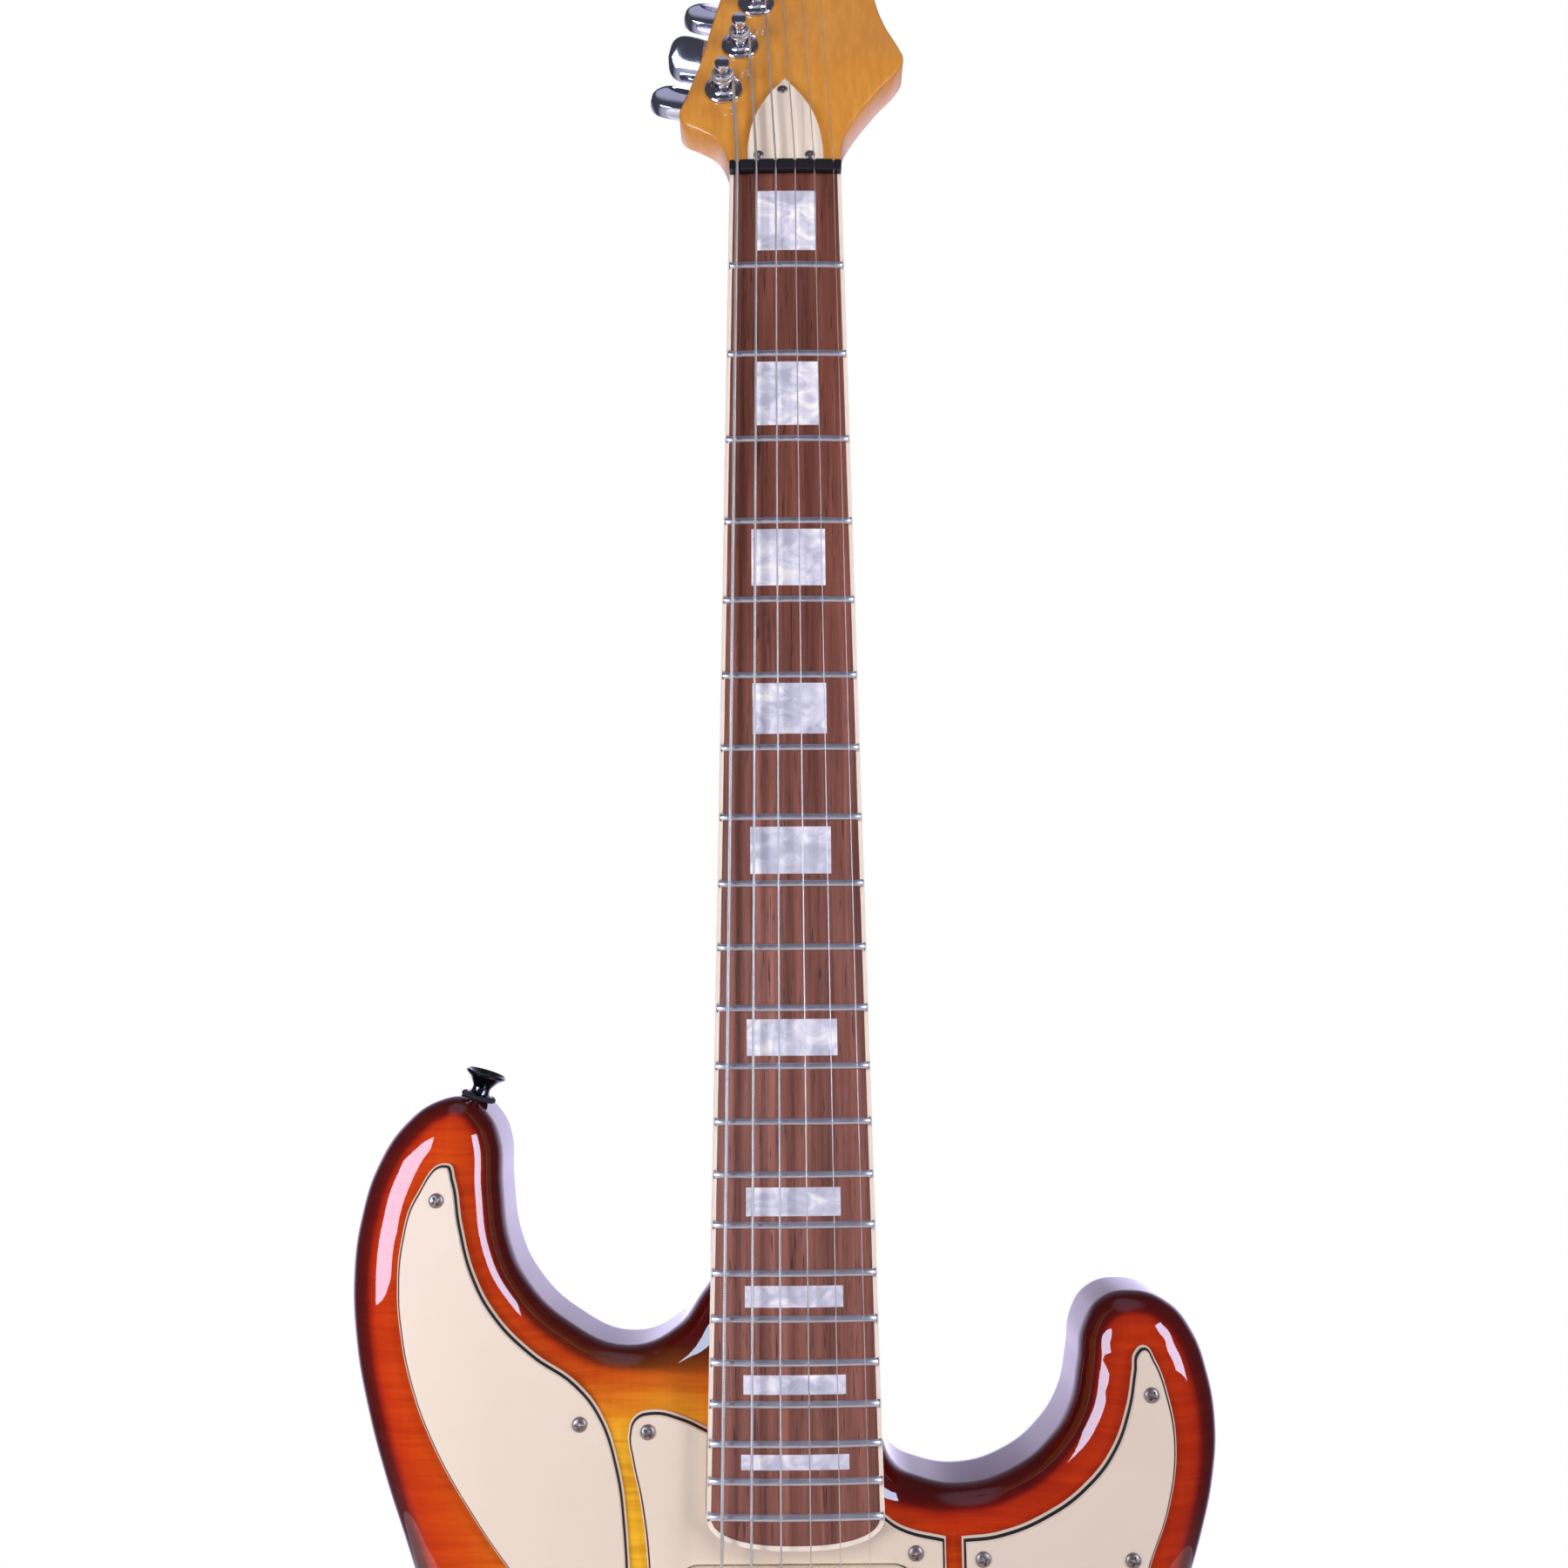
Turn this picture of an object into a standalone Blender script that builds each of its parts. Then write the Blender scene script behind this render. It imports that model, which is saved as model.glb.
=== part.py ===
"""An electric guitar with a bolt-on neck, six-in-line tuners and a vibrato bridge.

Metres, +Z up along the neck. X runs to the treble side and Y to the back, so the strings face -Y.
The origin is the middle of the end strap button's outer face, on the body's middle plane.
"""

import math

import bmesh
import bpy
from mathutils import Matrix, Vector

MM = 0.001

# Clearances
CLEAR = 0.0003              # gap between pieces that touch
OVERCUT = 0.0010            # how far a cutter or a joined block runs past a face
SWING_GAP = 0.0010          # room beside a moving lever

SHARP_ANGLE = math.radians(35.0)    # edges sharper than this stay sharp in shading

# Strings
STRINGS = 6
SCALE = 0.648               # nut to saddles
STRING_PITCH = 0.01025      # between strings at the saddles
NUT_EDGE = 0.0029           # outer string to the end of the nut
GAUGES = (0.00025, 0.00033, 0.00043, 0.00066, 0.00091, 0.00117)
NUT_ACTION = 0.0006         # string above the fret line at the nut
SADDLE_ACTION = 0.0030      # string above the fret line at the saddles

# Fingerboard and frets
FRETS = 22
NUT_WIDTH = 0.0414
LAST_FRET_WIDTH = 0.0575
BOARD_OVERHANG = 0.0101     # board past the last fret
BOARD_BOW = 0.0103          # depth of the rounded end
BOARD_END_POWER = 2.5
BOARD_THICK = 0.0055
BOARD_RISE = 0.0095         # top of the board above the body
CROWN = 0.305               # radius of the board's top
CROWN_SIDES = 120
FRET_WIDE = 0.0026
FRET_HIGH = 0.0011
FRET_SUNK = 0.00015
BINDING_WIDE = 0.0015
NUT_LONG = 0.0042
NUT_LIP = 0.0004            # nut above the strings' middle
NUT_FALL = 0.0002           # how far a string drops across the nut

# Neck
NECK_THICK_NUT = 0.0210     # board and neck together
NECK_THICK_BODY = 0.0232
NECK_BLEND = 0.030          # length where the shaft settles below the nut
HEEL_LONG = 0.074
HEEL_BLEND = 0.018          # length where the heel runs into the shaft
HEEL_ROUND = 0.004
POCKET_DEPTH = 0.016
NECK_PLATE_WIDE = 0.051
NECK_PLATE_LONG = 0.064
NECK_PLATE_THICK = 0.0020
NECK_PLATE_INSET = 0.005
ROD_RADIUS = 0.0026         # at its turning nut
ROD_SHAFT_RADIUS = 0.0021
ROD_NUT_LONG = 0.012
ROD_TRENCH_DEPTH = 0.0075
ROD_PAST_NUT = 0.020

# Headstock and tuners
HEAD_TILT = math.radians(13.0)
HEAD_DROP = 0.0020          # face below the top of the board at the nut
HEAD_THICK = 0.0125
HEAD_BLEND = 0.0375         # length where the neck runs out behind the headstock
COVER_THICK = 0.0020
FIRST_POST = (-0.0234, 0.0432)
POST_STEP = (0.0062, 0.0228)
POST_RADIUS = 0.0029
POST_WAIST = 0.0024
POST_TALL = 0.0126
POST_CAP = 0.0025           # straight part at the top
POST_CHAMFER = 0.0008
BUSHING_RADIUS = 0.0045
FLANGE_RADIUS = 0.0072
FLANGE_TALL = 0.0030
HOUSING_DEEP = 0.0095
HOUSING_ROUND = 0.0010
HOUSING_WALL = 0.0016
HOUSING_INNER = 0.0095      # post axis to the housing's inner end
HOUSING_OUTER = 0.0100      # post axis to the housing's button end
HOUSING_SIDE = 0.0062       # post axis to the plain side
WORM_OFFSET = 0.0070
WORM_DEPTH = 0.0048         # worm axis behind the headstock's back
WORM_RADIUS = 0.0021
GEAR_RADIUS = 0.0045
GEAR_THICK = 0.0034
BUTTON_START = 0.0160       # post axis to the button's root
BUTTON_LONG = 0.0145
BUTTON_WIDE = 0.0174
BUTTON_THICK = 0.0076
BUTTON_ROUND = 0.0015
BUTTON_SHAPE = ((0.0, 0.92), (0.3, 1.0), (0.65, 0.95), (0.9, 0.62), (1.0, 0.25))   # shares of length and half width
BUTTON_TURNS = (15, -50, 15, 60, -20, 35)   # degrees, from the nut outwards
WRAP_START = 0.0042         # lowest turn above the face
WRAP_TURNS = 2
WRAP_GAP = 0.00055
WRAP_POINTS = 12

# Body
BODY_THICK = 0.043
TAIL = 0.150                # saddles to the bottom of the body
EDGE_ROUND = 0.0105
STRAP_RADIUS = 0.0068
STRAP_TALL = 0.0100
STRAP_NECK = 0.0032
STRAP_RIM = 0.0009
WASHER_RADIUS = 0.0060
WASHER_THICK = 0.0015
HORN_BUTTON = (-112, 141.5)     # across, and above the board's end
HORN_LEAN = math.radians(17.0)

# Front plates and pickups
PLATE_THICK = 0.0025
PLATE_BEVEL = 0.0006
PLATE_HEAD = 0.0006         # square corners of two plates above the board's end
NOTCH_GAP = 0.0005
PICKUP_WIDE = 0.078
PICKUP_LONG = 0.034
PICKUP_CORNER = 0.008
PICKUP_ROUND = 0.0012
PICKUP_RISE = 0.0060        # above the plate
PICKUP_DEEP = 0.0150        # below the plate
PICKUP_TOP_GAP = 0.0070     # board's end to the neck pickup
BRIDGE_PICKUP_GAP = 0.0210  # bridge pickup to the saddles
PICKUP_GAP = 0.0005
CENTRE_PLATE_EDGE = 0.0490  # middle line to the straight side
TREBLE_PLATE_EDGE = 0.0542
CENTRE_PLATE_STOP = 0.0050  # past the bridge pickup

# Vibrato bridge
PIVOT_AHEAD = 0.012         # knife edge in front of the saddles
BRIDGE_BEHIND = 0.030
BRIDGE_HALF = 0.043
BRIDGE_FLOAT = 0.0025
BRIDGE_THICK = 0.0030
BRIDGE_LIP = 0.0070
SADDLE_WIDE = 0.0096
SADDLE_FRONT = 0.0025
SADDLE_BACK = 0.0065
SADDLE_HEEL = 0.0010        # low rear end
SADDLE_CREST = 0.0010       # flat under the string
STRING_BEND = 0.0015        # length of a bend at the saddle and at the plate
STRING_HOLE_BEHIND = 0.0095
STRING_HOLE_RADIUS = 0.0016
BLOCK_HALF = 0.033
BLOCK_LONG = 0.012
BLOCK_TO_BACK = 0.0060      # block's end to the body's back
STRING_IN_BLOCK = 0.018
SLOT_HALF = 0.040
SLOT_BEHIND = 0.022
SLOT_AHEAD = 0.003
SPRING_ROOM_LONG = 0.098
SPRING_ROOM_DEEP = 0.017
SPRING_RADIUS = 0.0038
SPRING_SPREAD = 0.014
SPRING_HOOK = 0.0012
SPRING_HOOK_LONG = 0.006
CLAW_HALF = 0.027
CLAW_THICK = 0.0025
CLAW_TALL = 0.0110
CLAW_TO_END = 0.012
CLAW_TO_BACK = 0.002
BACK_COVER_THICK = 0.0022
BACK_COVER_LAP = 0.008
ARM_RADIUS = 0.00275
ARM_ACROSS = 0.038
ARM_BEHIND = 0.018
ARM_BENDS = ((0, 0, 0), (0, 0, 14), (1, 3, 19), (2, 10, 23), (4, 25, 25), (6, 60, 28), (8, 100, 29))
ARM_TIP_RADIUS = 0.0045
ARM_TIP_LONG = 0.018
ARM_TIP_LAP = 0.004         # tip over the end of the arm

# Controls
CAVITY_LEFT = 0.058
CAVITY_WIDE = 0.050
CAVITY_LONG = 0.098
CAVITY_DEEP = 0.032
CAVITY_LOW = 0.104          # above the bottom of the body
VOLUME_PLACE = (0.092, 0.170)   # across, and above the bottom of the body
TONE_PLACE = (0.092, 0.132)
SELECTOR_PLACE = (0.069, 0.172)
POT_RADIUS = 0.0120
POT_TALL = 0.0100
POT_BUSHING = 0.0046
POT_BUSHING_RISE = 0.0020
SHAFT_RADIUS = 0.0030
SHAFT_DEEP = 0.0090
KNOB_RADIUS = 0.0115
KNOB_TOP_RADIUS = 0.0092
KNOB_TALL = 0.0140
KNOB_GAP = 0.0010
SWITCH_WIDE = 0.0120
SWITCH_LONG = 0.0440
SWITCH_DEEP = 0.0220
LEVER_WIDE = 0.0020
LEVER_LONG = 0.0050
LEVER_DROP = 0.0090         # pivot below the plate
LEVER_RISE = 0.0140         # tip above the plate
LEVER_SWING = math.radians(17.0)
LEVER_CAP_LONG = 0.009
LEVER_CAP_SIDE = 0.001      # cap past the lever on each side
JACK_BORE = 0.0032
JACK_RADIUS = 0.0055
JACK_FLANGE = 0.0110
JACK_FLANGE_THICK = 0.0020
JACK_LONG = 0.026
JACK_WALL = 0.002
JACK_PLACE = (162, 108)     # widest place of the lower bout: across, and above the bottom

# Outlines in millimetres: across, and above the board's end or the bottom of the body
BODY_BASS_TOP = (
    (-10, 84), (-24, 83), (-31, 75), (-40, 63), (-57, 56), (-78, 64), (-92, 77), (-99, 91), (-102, 110),
    (-103, 127), (-106, 137), (-114, 141.5), (-124, 139.5), (-135, 131.5), (-144, 117.5), (-149, 100),
    (-150.5, 83), (-149, 60), (-144, 37), (-137, 15), (-129, -6),
)
BODY_BOTTOM_HALF = (
    (-120, 290), (-115, 265), (-113, 240), (-117, 212), (-133, 176), (-152, 141), (-160, 108), (-155, 72),
    (-136, 38), (-100, 14), (-52, 3), (0, 0), (52, 3), (100, 13), (136, 36), (156, 72), JACK_PLACE,
    (156, 142), (138, 174), (121, 204), (114, 234), (117, 262), (125, 292),
)
BODY_TREBLE_TOP = (
    (134, -5), (139.5, 15), (141.5, 32), (140, 48), (136, 61), (129, 70), (118, 73.5), (106.5, 70.5),
    (100, 62), (97.5, 50), (94, 36), (86, 24), (74, 15), (58, 10), (43, 12.5), (34, 18), (29, 30), (22, 52),
    (8, 76),
)
BASS_PLATE = (
    (-118, 121), (-113.5, 115), (-111.5, 100), (-107, 83), (-99.5, 70), (-87, 58.5), (-72.5, 49.5),
    (-64, 39.5), (-58, 23.5), (-55, 4), (-54, -20), (-55.5, -40), (-60, -45), (-67, -39), (-80, -24),
    (-94, -8), (-107, 9.5), (-119, 29.5), (-127, 49), (-131, 67), (-132, 79), (-130.5, 95), (-126, 110),
)
CENTRE_PLATE_LEFT = (
    (-18, 30), (-29, 35), (-37, 38.5), (-47, 40.5), (-53, 38.5), (-55, 33), (-54, 25.5), (-51, 12.5),
    (-48.5, -6), (-47.5, -40),
)
CENTRE_PLATE_RIGHT = ((34.5, 4.2), (28, 8.5), (18, 16))
TREBLE_PLATE_TOP = (
    (66.5, 2), (82.5, 8), (95, 16.5), (104, 27), (109.5, 40), (112, 52), (113, 57.5), (116.5, 59.7),
    (120, 55), (123.5, 45), (125.7, 29), (122.5, 9), (115.5, -9), (106, -40), (102, -75), (106, -110),
    (116, -145), (120, -175), (114, -205), (98, -222), (76, -225),
)
TREBLE_PLATE_FOOT = -218

# Headstock outlines in millimetres: across, and up its face from the nut
HEAD_BASS_EDGE = (
    (-23.6, 14.5), (-26.5, 19), (-32.6, 23.4), (-38.5, 27), (-40.2, 31), (-38, 39), (-33.2, 56.2),
    (-25.5, 90.8), (-16, 125), (-6.5, 160), (-1, 177), (6, 186),
)
HEAD_TREBLE_EDGE = (
    (15, 187.5), (25, 180), (30, 165), (33, 140), (34, 112), (36.3, 90), (39.6, 77), (45, 64), (46.2, 59.5),
    (44.8, 55), (35, 41.5), (25, 25.5), (21.9, 18.4),
)
COVER_HALF = 14.2
COVER_FOOT = 5.6
COVER_SHOULDER = ((13.8, 15), (11.4, 27), (6.8, 37))
COVER_TIP = 46.5

# Places worked out from the sizes above; heights are in front of the body's middle plane
BODY_FRONT = BODY_THICK / 2
BOARD_TOP = BODY_FRONT + BOARD_RISE
BOARD_UNDER = BOARD_TOP - BOARD_THICK
PLATE_UNDER = BODY_FRONT + CLEAR
PLATE_TOP = PLATE_UNDER + PLATE_THICK
BODY_FOOT = STRAP_TALL + WASHER_THICK + CLEAR
BRIDGE_Z = BODY_FOOT + TAIL
NUT_Z = BRIDGE_Z + SCALE
NUT_PITCH = (NUT_WIDTH - 2 * NUT_EDGE) / (STRINGS - 1)
BRIDGE_UNDER = BODY_FRONT + BRIDGE_FLOAT
BRIDGE_TOP = BRIDGE_UNDER + BRIDGE_THICK
PIVOT_Z = BRIDGE_Z + PIVOT_AHEAD


def fret_z(number):
    """Height of a fret, each one a semitone from the last."""
    return NUT_Z - SCALE * (1 - 2 ** (-number / 12))


LAST_FRET_Z = fret_z(FRETS)
BOARD_END = LAST_FRET_Z - BOARD_OVERHANG

# Drawing frames: X and Y of a drawing, and Z the way its thickness grows
FACE = Matrix.Rotation(math.pi / 2, 4, "X")
SIDE = Matrix(((0, 0, 1, 0), (0, -1, 0, 0), (1, 0, 0, 0), (0, 0, 0, 1)))
HEAD_START = Matrix.Translation((0, HEAD_DROP - BOARD_TOP, NUT_Z))
HEAD = HEAD_START @ Matrix.Rotation(math.pi / 2 - HEAD_TILT, 4, "X")
POST_ANGLE = math.atan2(POST_STEP[1], POST_STEP[0])

# Colour, roughness and metallic value of each finish
FINISHES = {
    "sunburst": ((0.35, 0.05, 0.01), 0.15, 0.0),
    "maple": ((0.66, 0.33, 0.06), 0.35, 0.0),
    "rosewood": ((0.14, 0.05, 0.03), 0.5, 0.0),
    "cream": ((0.78, 0.66, 0.52), 0.35, 0.0),
    "black": ((0.015, 0.015, 0.02), 0.4, 0.0),
    "chrome": ((0.62, 0.63, 0.68), 0.12, 1.0),
    "steel": ((0.5, 0.5, 0.52), 0.35, 1.0),
}


def group(name):
    """A new collection in the scene."""
    made = bpy.data.collections.new(name)
    bpy.context.scene.collection.children.link(made)
    return made


def finish(name):
    """The material of one finish, made once."""
    if name in bpy.data.materials:
        return bpy.data.materials[name]
    colour, roughness, metallic = FINISHES[name]
    made = bpy.data.materials.new(name)
    made.use_nodes = True
    shader = made.node_tree.nodes["Principled BSDF"]
    shader.inputs["Base Color"].default_value = (*colour, 1.0)
    shader.inputs["Roughness"].default_value = roughness
    shader.inputs["Metallic"].default_value = metallic
    return made


def place(name, data, matrix):
    """A new object in the guitar's collection."""
    made = bpy.data.objects.new(name, data)
    PARTS.objects.link(made)
    made.matrix_world = matrix
    return made


def tool(piece):
    """Keep a piece as a hidden cutter."""
    PARTS.objects.unlink(piece)
    CUTTERS.objects.link(piece)
    piece.hide_render = True
    piece.display_type = "WIRE"
    return piece


def part(piece, look):
    """Give a finished piece its material, and smooth shading up to its sharp edges."""
    piece.data.materials.clear()
    piece.data.materials.append(finish(look))
    if piece.type == "MESH":
        piece.data.shade_smooth()
        piece.data.set_sharp_from_angle(angle=SHARP_ANGLE)
    return piece


def combine(piece, other, operation):
    """Join a tool to a piece, cut it out, or keep what they share."""
    step = piece.modifiers.new(operation.lower(), "BOOLEAN")
    step.operation = operation
    step.object = tool(other) if other.name in PARTS.objects else other
    return piece


def baked(piece):
    """The finished mesh of a piece, which is then removed."""
    bpy.context.view_layer.update()
    graph = bpy.context.evaluated_depsgraph_get()
    mesh = bpy.data.meshes.new_from_object(piece.evaluated_get(graph))
    bpy.data.objects.remove(piece)
    return mesh


def welded(piece):
    """Turn a curve into a closed mesh in the same place."""
    name = piece.name
    matrix = piece.matrix_world.copy()
    mesh = baked(piece)
    work = bmesh.new()
    work.from_mesh(mesh)
    bmesh.ops.remove_doubles(work, verts=work.verts, dist=1e-6)
    bmesh.ops.recalc_face_normals(work, faces=work.faces)
    work.to_mesh(mesh)
    work.free()
    return place(name, mesh, matrix)


def smooth(points):
    """Outline points in millimetres that a curve runs through."""
    return [(across * MM, along * MM, False) for across, along in points]


def sharp(points):
    """Outline points in metres where the line turns a corner."""
    return [(across, along, True) for across, along in points]


def above(level, points):
    """Outline points moved up to a level."""
    return [(across, along + level, corner) for across, along, corner in points]


def drawn(name, outline, low, high, frame=FACE, rounding=0.0, rounds=0):
    """A flat outline with thickness from low to high, and rounded rims if asked."""
    curve = bpy.data.curves.new(name, "CURVE")
    curve.dimensions = "2D"
    curve.fill_mode = "BOTH"
    curve.resolution_u = 2
    curve.extrude = (high - low) / 2 - rounding
    curve.bevel_depth = rounding
    curve.bevel_resolution = rounds
    curve.offset = -rounding
    if all(corner for _, _, corner in outline):
        spline = curve.splines.new("POLY")
        spline.points.add(len(outline) - 1)
        for knot, (across, along, _) in zip(spline.points, outline):
            knot.co = (across, along, 0, 1)
    else:
        spline = curve.splines.new("BEZIER")
        spline.bezier_points.add(len(outline) - 1)
        for knot, (across, along, corner) in zip(spline.bezier_points, outline):
            knot.co = (across, along, 0)
            knot.handle_left_type = knot.handle_right_type = "VECTOR" if corner else "AUTO"
    spline.use_cyclic_u = True
    return welded(place(name, curve, frame @ Matrix.Translation((0, 0, (low + high) / 2))))


def turned(name, profile, matrix, steps=12):
    """A profile of radius and height, listed from the top down its outer side, turned about Z."""
    count = len(profile)
    edges = [(row, row + 1) for row in range(count - 1)]
    mesh = bpy.data.meshes.new(name)
    mesh.from_pydata([(radius, 0, height) for radius, height in profile], edges, [])
    piece = place(name, mesh, matrix)
    screw = piece.modifiers.new("turn", "SCREW")
    screw.steps = screw.render_steps = steps
    screw.use_merge_vertices = True
    screw.merge_threshold = 1e-6
    return piece


def rod(name, radius, low, high, matrix, steps=12):
    """A plain round bar along Z."""
    return turned(name, [(0, high), (radius, high), (radius, low), (0, low)], matrix, steps)


def tube(name, points, radius):
    """A round wire through a list of points."""
    curve = bpy.data.curves.new(name, "CURVE")
    curve.dimensions = "3D"
    curve.bevel_depth = radius
    curve.bevel_resolution = 1
    curve.use_fill_caps = True
    spline = curve.splines.new("POLY")
    spline.points.add(len(points) - 1)
    for knot, spot in zip(spline.points, points):
        knot.co = (*spot, 1)
    return place(name, curve, Matrix.Identity(4))


def boxes(name, sizes, rounding=0.0):
    """Blocks given by their low and high corners, across, along and to the front, in one mesh."""
    work = bmesh.new()
    for low, high in sizes:
        first, last = point(*low), point(*high)
        size = Vector([abs(b - a) for a, b in zip(first, last)])
        shape = Matrix.Translation((first + last) / 2) @ Matrix.Diagonal((*size, 1))
        bmesh.ops.create_cube(work, size=1, matrix=shape)
    mesh = bpy.data.meshes.new(name)
    work.to_mesh(mesh)
    work.free()
    piece = place(name, mesh, Matrix.Identity(4))
    if rounding:
        bevel = piece.modifiers.new("round", "BEVEL")
        bevel.width = rounding
        bevel.segments = 2
    return piece


def point(across, along, front):
    """A world point from its place across, along the neck, and in front of the middle plane."""
    return Vector((across, -front, along))


def axis_at(across, along, front):
    """A frame at a point whose Z runs out of the guitar's front."""
    return Matrix.Translation(point(across, along, front)) @ FACE


def crown_drop(across):
    """How far the crowned board falls away from its middle line."""
    return CROWN - math.sqrt(CROWN**2 - across**2)


def crown(name, radius):
    """A long round bar that gives the board its crowned top."""
    middle = Matrix.Translation(point(0, (NUT_Z + BOARD_END) / 2, BOARD_TOP - CROWN))
    reach = NUT_Z - BOARD_END
    return rod(name, radius, -reach, reach, middle, CROWN_SIDES)


def board_half(along):
    """Half the board's width at a height."""
    share = (NUT_Z - along) / (NUT_Z - LAST_FRET_Z)
    return (NUT_WIDTH + (LAST_FRET_WIDTH - NUT_WIDTH) * share) / 2


def board_side(inset, top):
    """One side of the board from the top down to the middle of its rounded end."""
    shoulder = BOARD_END + BOARD_BOW
    half = board_half(shoulder) - inset
    bow = BOARD_BOW - inset
    steps = 8
    side = [(board_half(top) - inset, top)]
    for step in range(steps + 1):
        angle = math.pi / 2 * step / steps
        across = half * math.cos(angle) ** (2 / BOARD_END_POWER)
        along = shoulder - bow * math.sin(angle) ** (2 / BOARD_END_POWER)
        side.append((across, along))
    return side


def board_outline(inset, top):
    """The tapered board with its rounded end, drawn in by an inset."""
    side = board_side(inset, top)
    mirrored = [(-across, along) for across, along in reversed(side[:-1])]
    return sharp(side + mirrored)


def string_place(number):
    """Where a string lies across at the saddle and at the nut; string 1 is the thinnest."""
    lane = (STRINGS - 1) / 2 - (number - 1)
    return lane * STRING_PITCH, lane * NUT_PITCH


def string_height(across, action, gauge):
    """Height of a string's middle over the crowned fret line."""
    return BOARD_TOP + FRET_HIGH + action + gauge / 2 - crown_drop(across)


def tuner_frame(number):
    """Frame of one tuner: Z along its post from the face, X out along its button shaft."""
    step = STRINGS - number
    across = FIRST_POST[0] + step * POST_STEP[0]
    up = FIRST_POST[1] + step * POST_STEP[1]
    turn = Matrix.Rotation(POST_ANGLE + math.pi / 2, 4, "Z")
    return HEAD @ Matrix.Translation((across, up, 0)) @ turn


def make_body():
    """The body with its neck pocket, heel, pickup routes, control room and spring room."""
    top = above(BOARD_END, smooth(BODY_BASS_TOP))
    low = above(BODY_FOOT, smooth(BODY_BOTTOM_HALF))
    rest = above(BOARD_END, smooth(BODY_TREBLE_TOP))
    body = drawn("body", top + low + rest, -BODY_FRONT, BODY_FRONT, rounding=EDGE_ROUND, rounds=1)
    heel_half = board_half(BOARD_END) - CLEAR - OVERCUT
    floor = BODY_FRONT - POCKET_DEPTH
    heel = boxes("heel", [
        ((-heel_half, BOARD_END, CLEAR - BODY_FRONT), (heel_half, BOARD_END + HEEL_LONG, floor + OVERCUT)),
    ], rounding=HEEL_ROUND)
    combine(body, heel, "UNION")
    pocket = drawn("pocket", board_outline(-CLEAR, NUT_Z), floor, BOARD_TOP)
    combine(body, pocket, "DIFFERENCE")
    pickup_floor = PLATE_TOP - PICKUP_DEEP - OVERCUT
    for place_z in pickup_places():
        outline = pickup_outline(place_z, 2 * PICKUP_GAP)
        combine(body, drawn("pickup_room", outline, pickup_floor, PLATE_TOP), "DIFFERENCE")
    control_z = BODY_FOOT + CAVITY_LOW
    control_right = CAVITY_LEFT + CAVITY_WIDE
    slot_z = BRIDGE_Z - SLOT_BEHIND
    spring_floor = SPRING_ROOM_DEEP - BODY_FRONT
    control_floor = BODY_FRONT - CAVITY_DEEP
    rooms = [
        ((CAVITY_LEFT, control_z, control_floor), (control_right, control_z + CAVITY_LONG, PLATE_TOP)),
        ((-SLOT_HALF, slot_z, -BODY_THICK), (SLOT_HALF, BRIDGE_Z + SLOT_AHEAD, BODY_THICK)),
        ((-SLOT_HALF, slot_z, -BODY_THICK), (SLOT_HALF, slot_z + SPRING_ROOM_LONG, spring_floor)),
    ]
    for size in rooms:
        combine(body, boxes("room", [size]), "DIFFERENCE")
    jack_in = CAVITY_LEFT + CAVITY_WIDE / 2
    jack_out = (JACK_PLACE[0] * MM) + JACK_LONG
    combine(body, rod("jack_hole", JACK_RADIUS + CLEAR, jack_in, jack_out, jack_frame()), "DIFFERENCE")
    part(body, "sunburst")


def jack_frame():
    """Frame of the jack: Z runs out of the body's treble side."""
    start = Matrix.Translation(point(0, BODY_FOOT + JACK_PLACE[1] * MM, 0))
    return start @ Matrix.Rotation(math.pi / 2, 4, "Y")


def neck_section(along, half, top, depth):
    """One D-shaped slice of the neck, from one top corner round the back to the other."""
    steps = 10
    ring = []
    for step in range(steps + 1):
        angle = math.pi * step / steps
        side = math.cos(angle)
        across = half * math.copysign(abs(side) ** 0.75, side)
        ring.append(point(across, along, top - depth * math.sin(angle) ** 0.85))
    return ring


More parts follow.
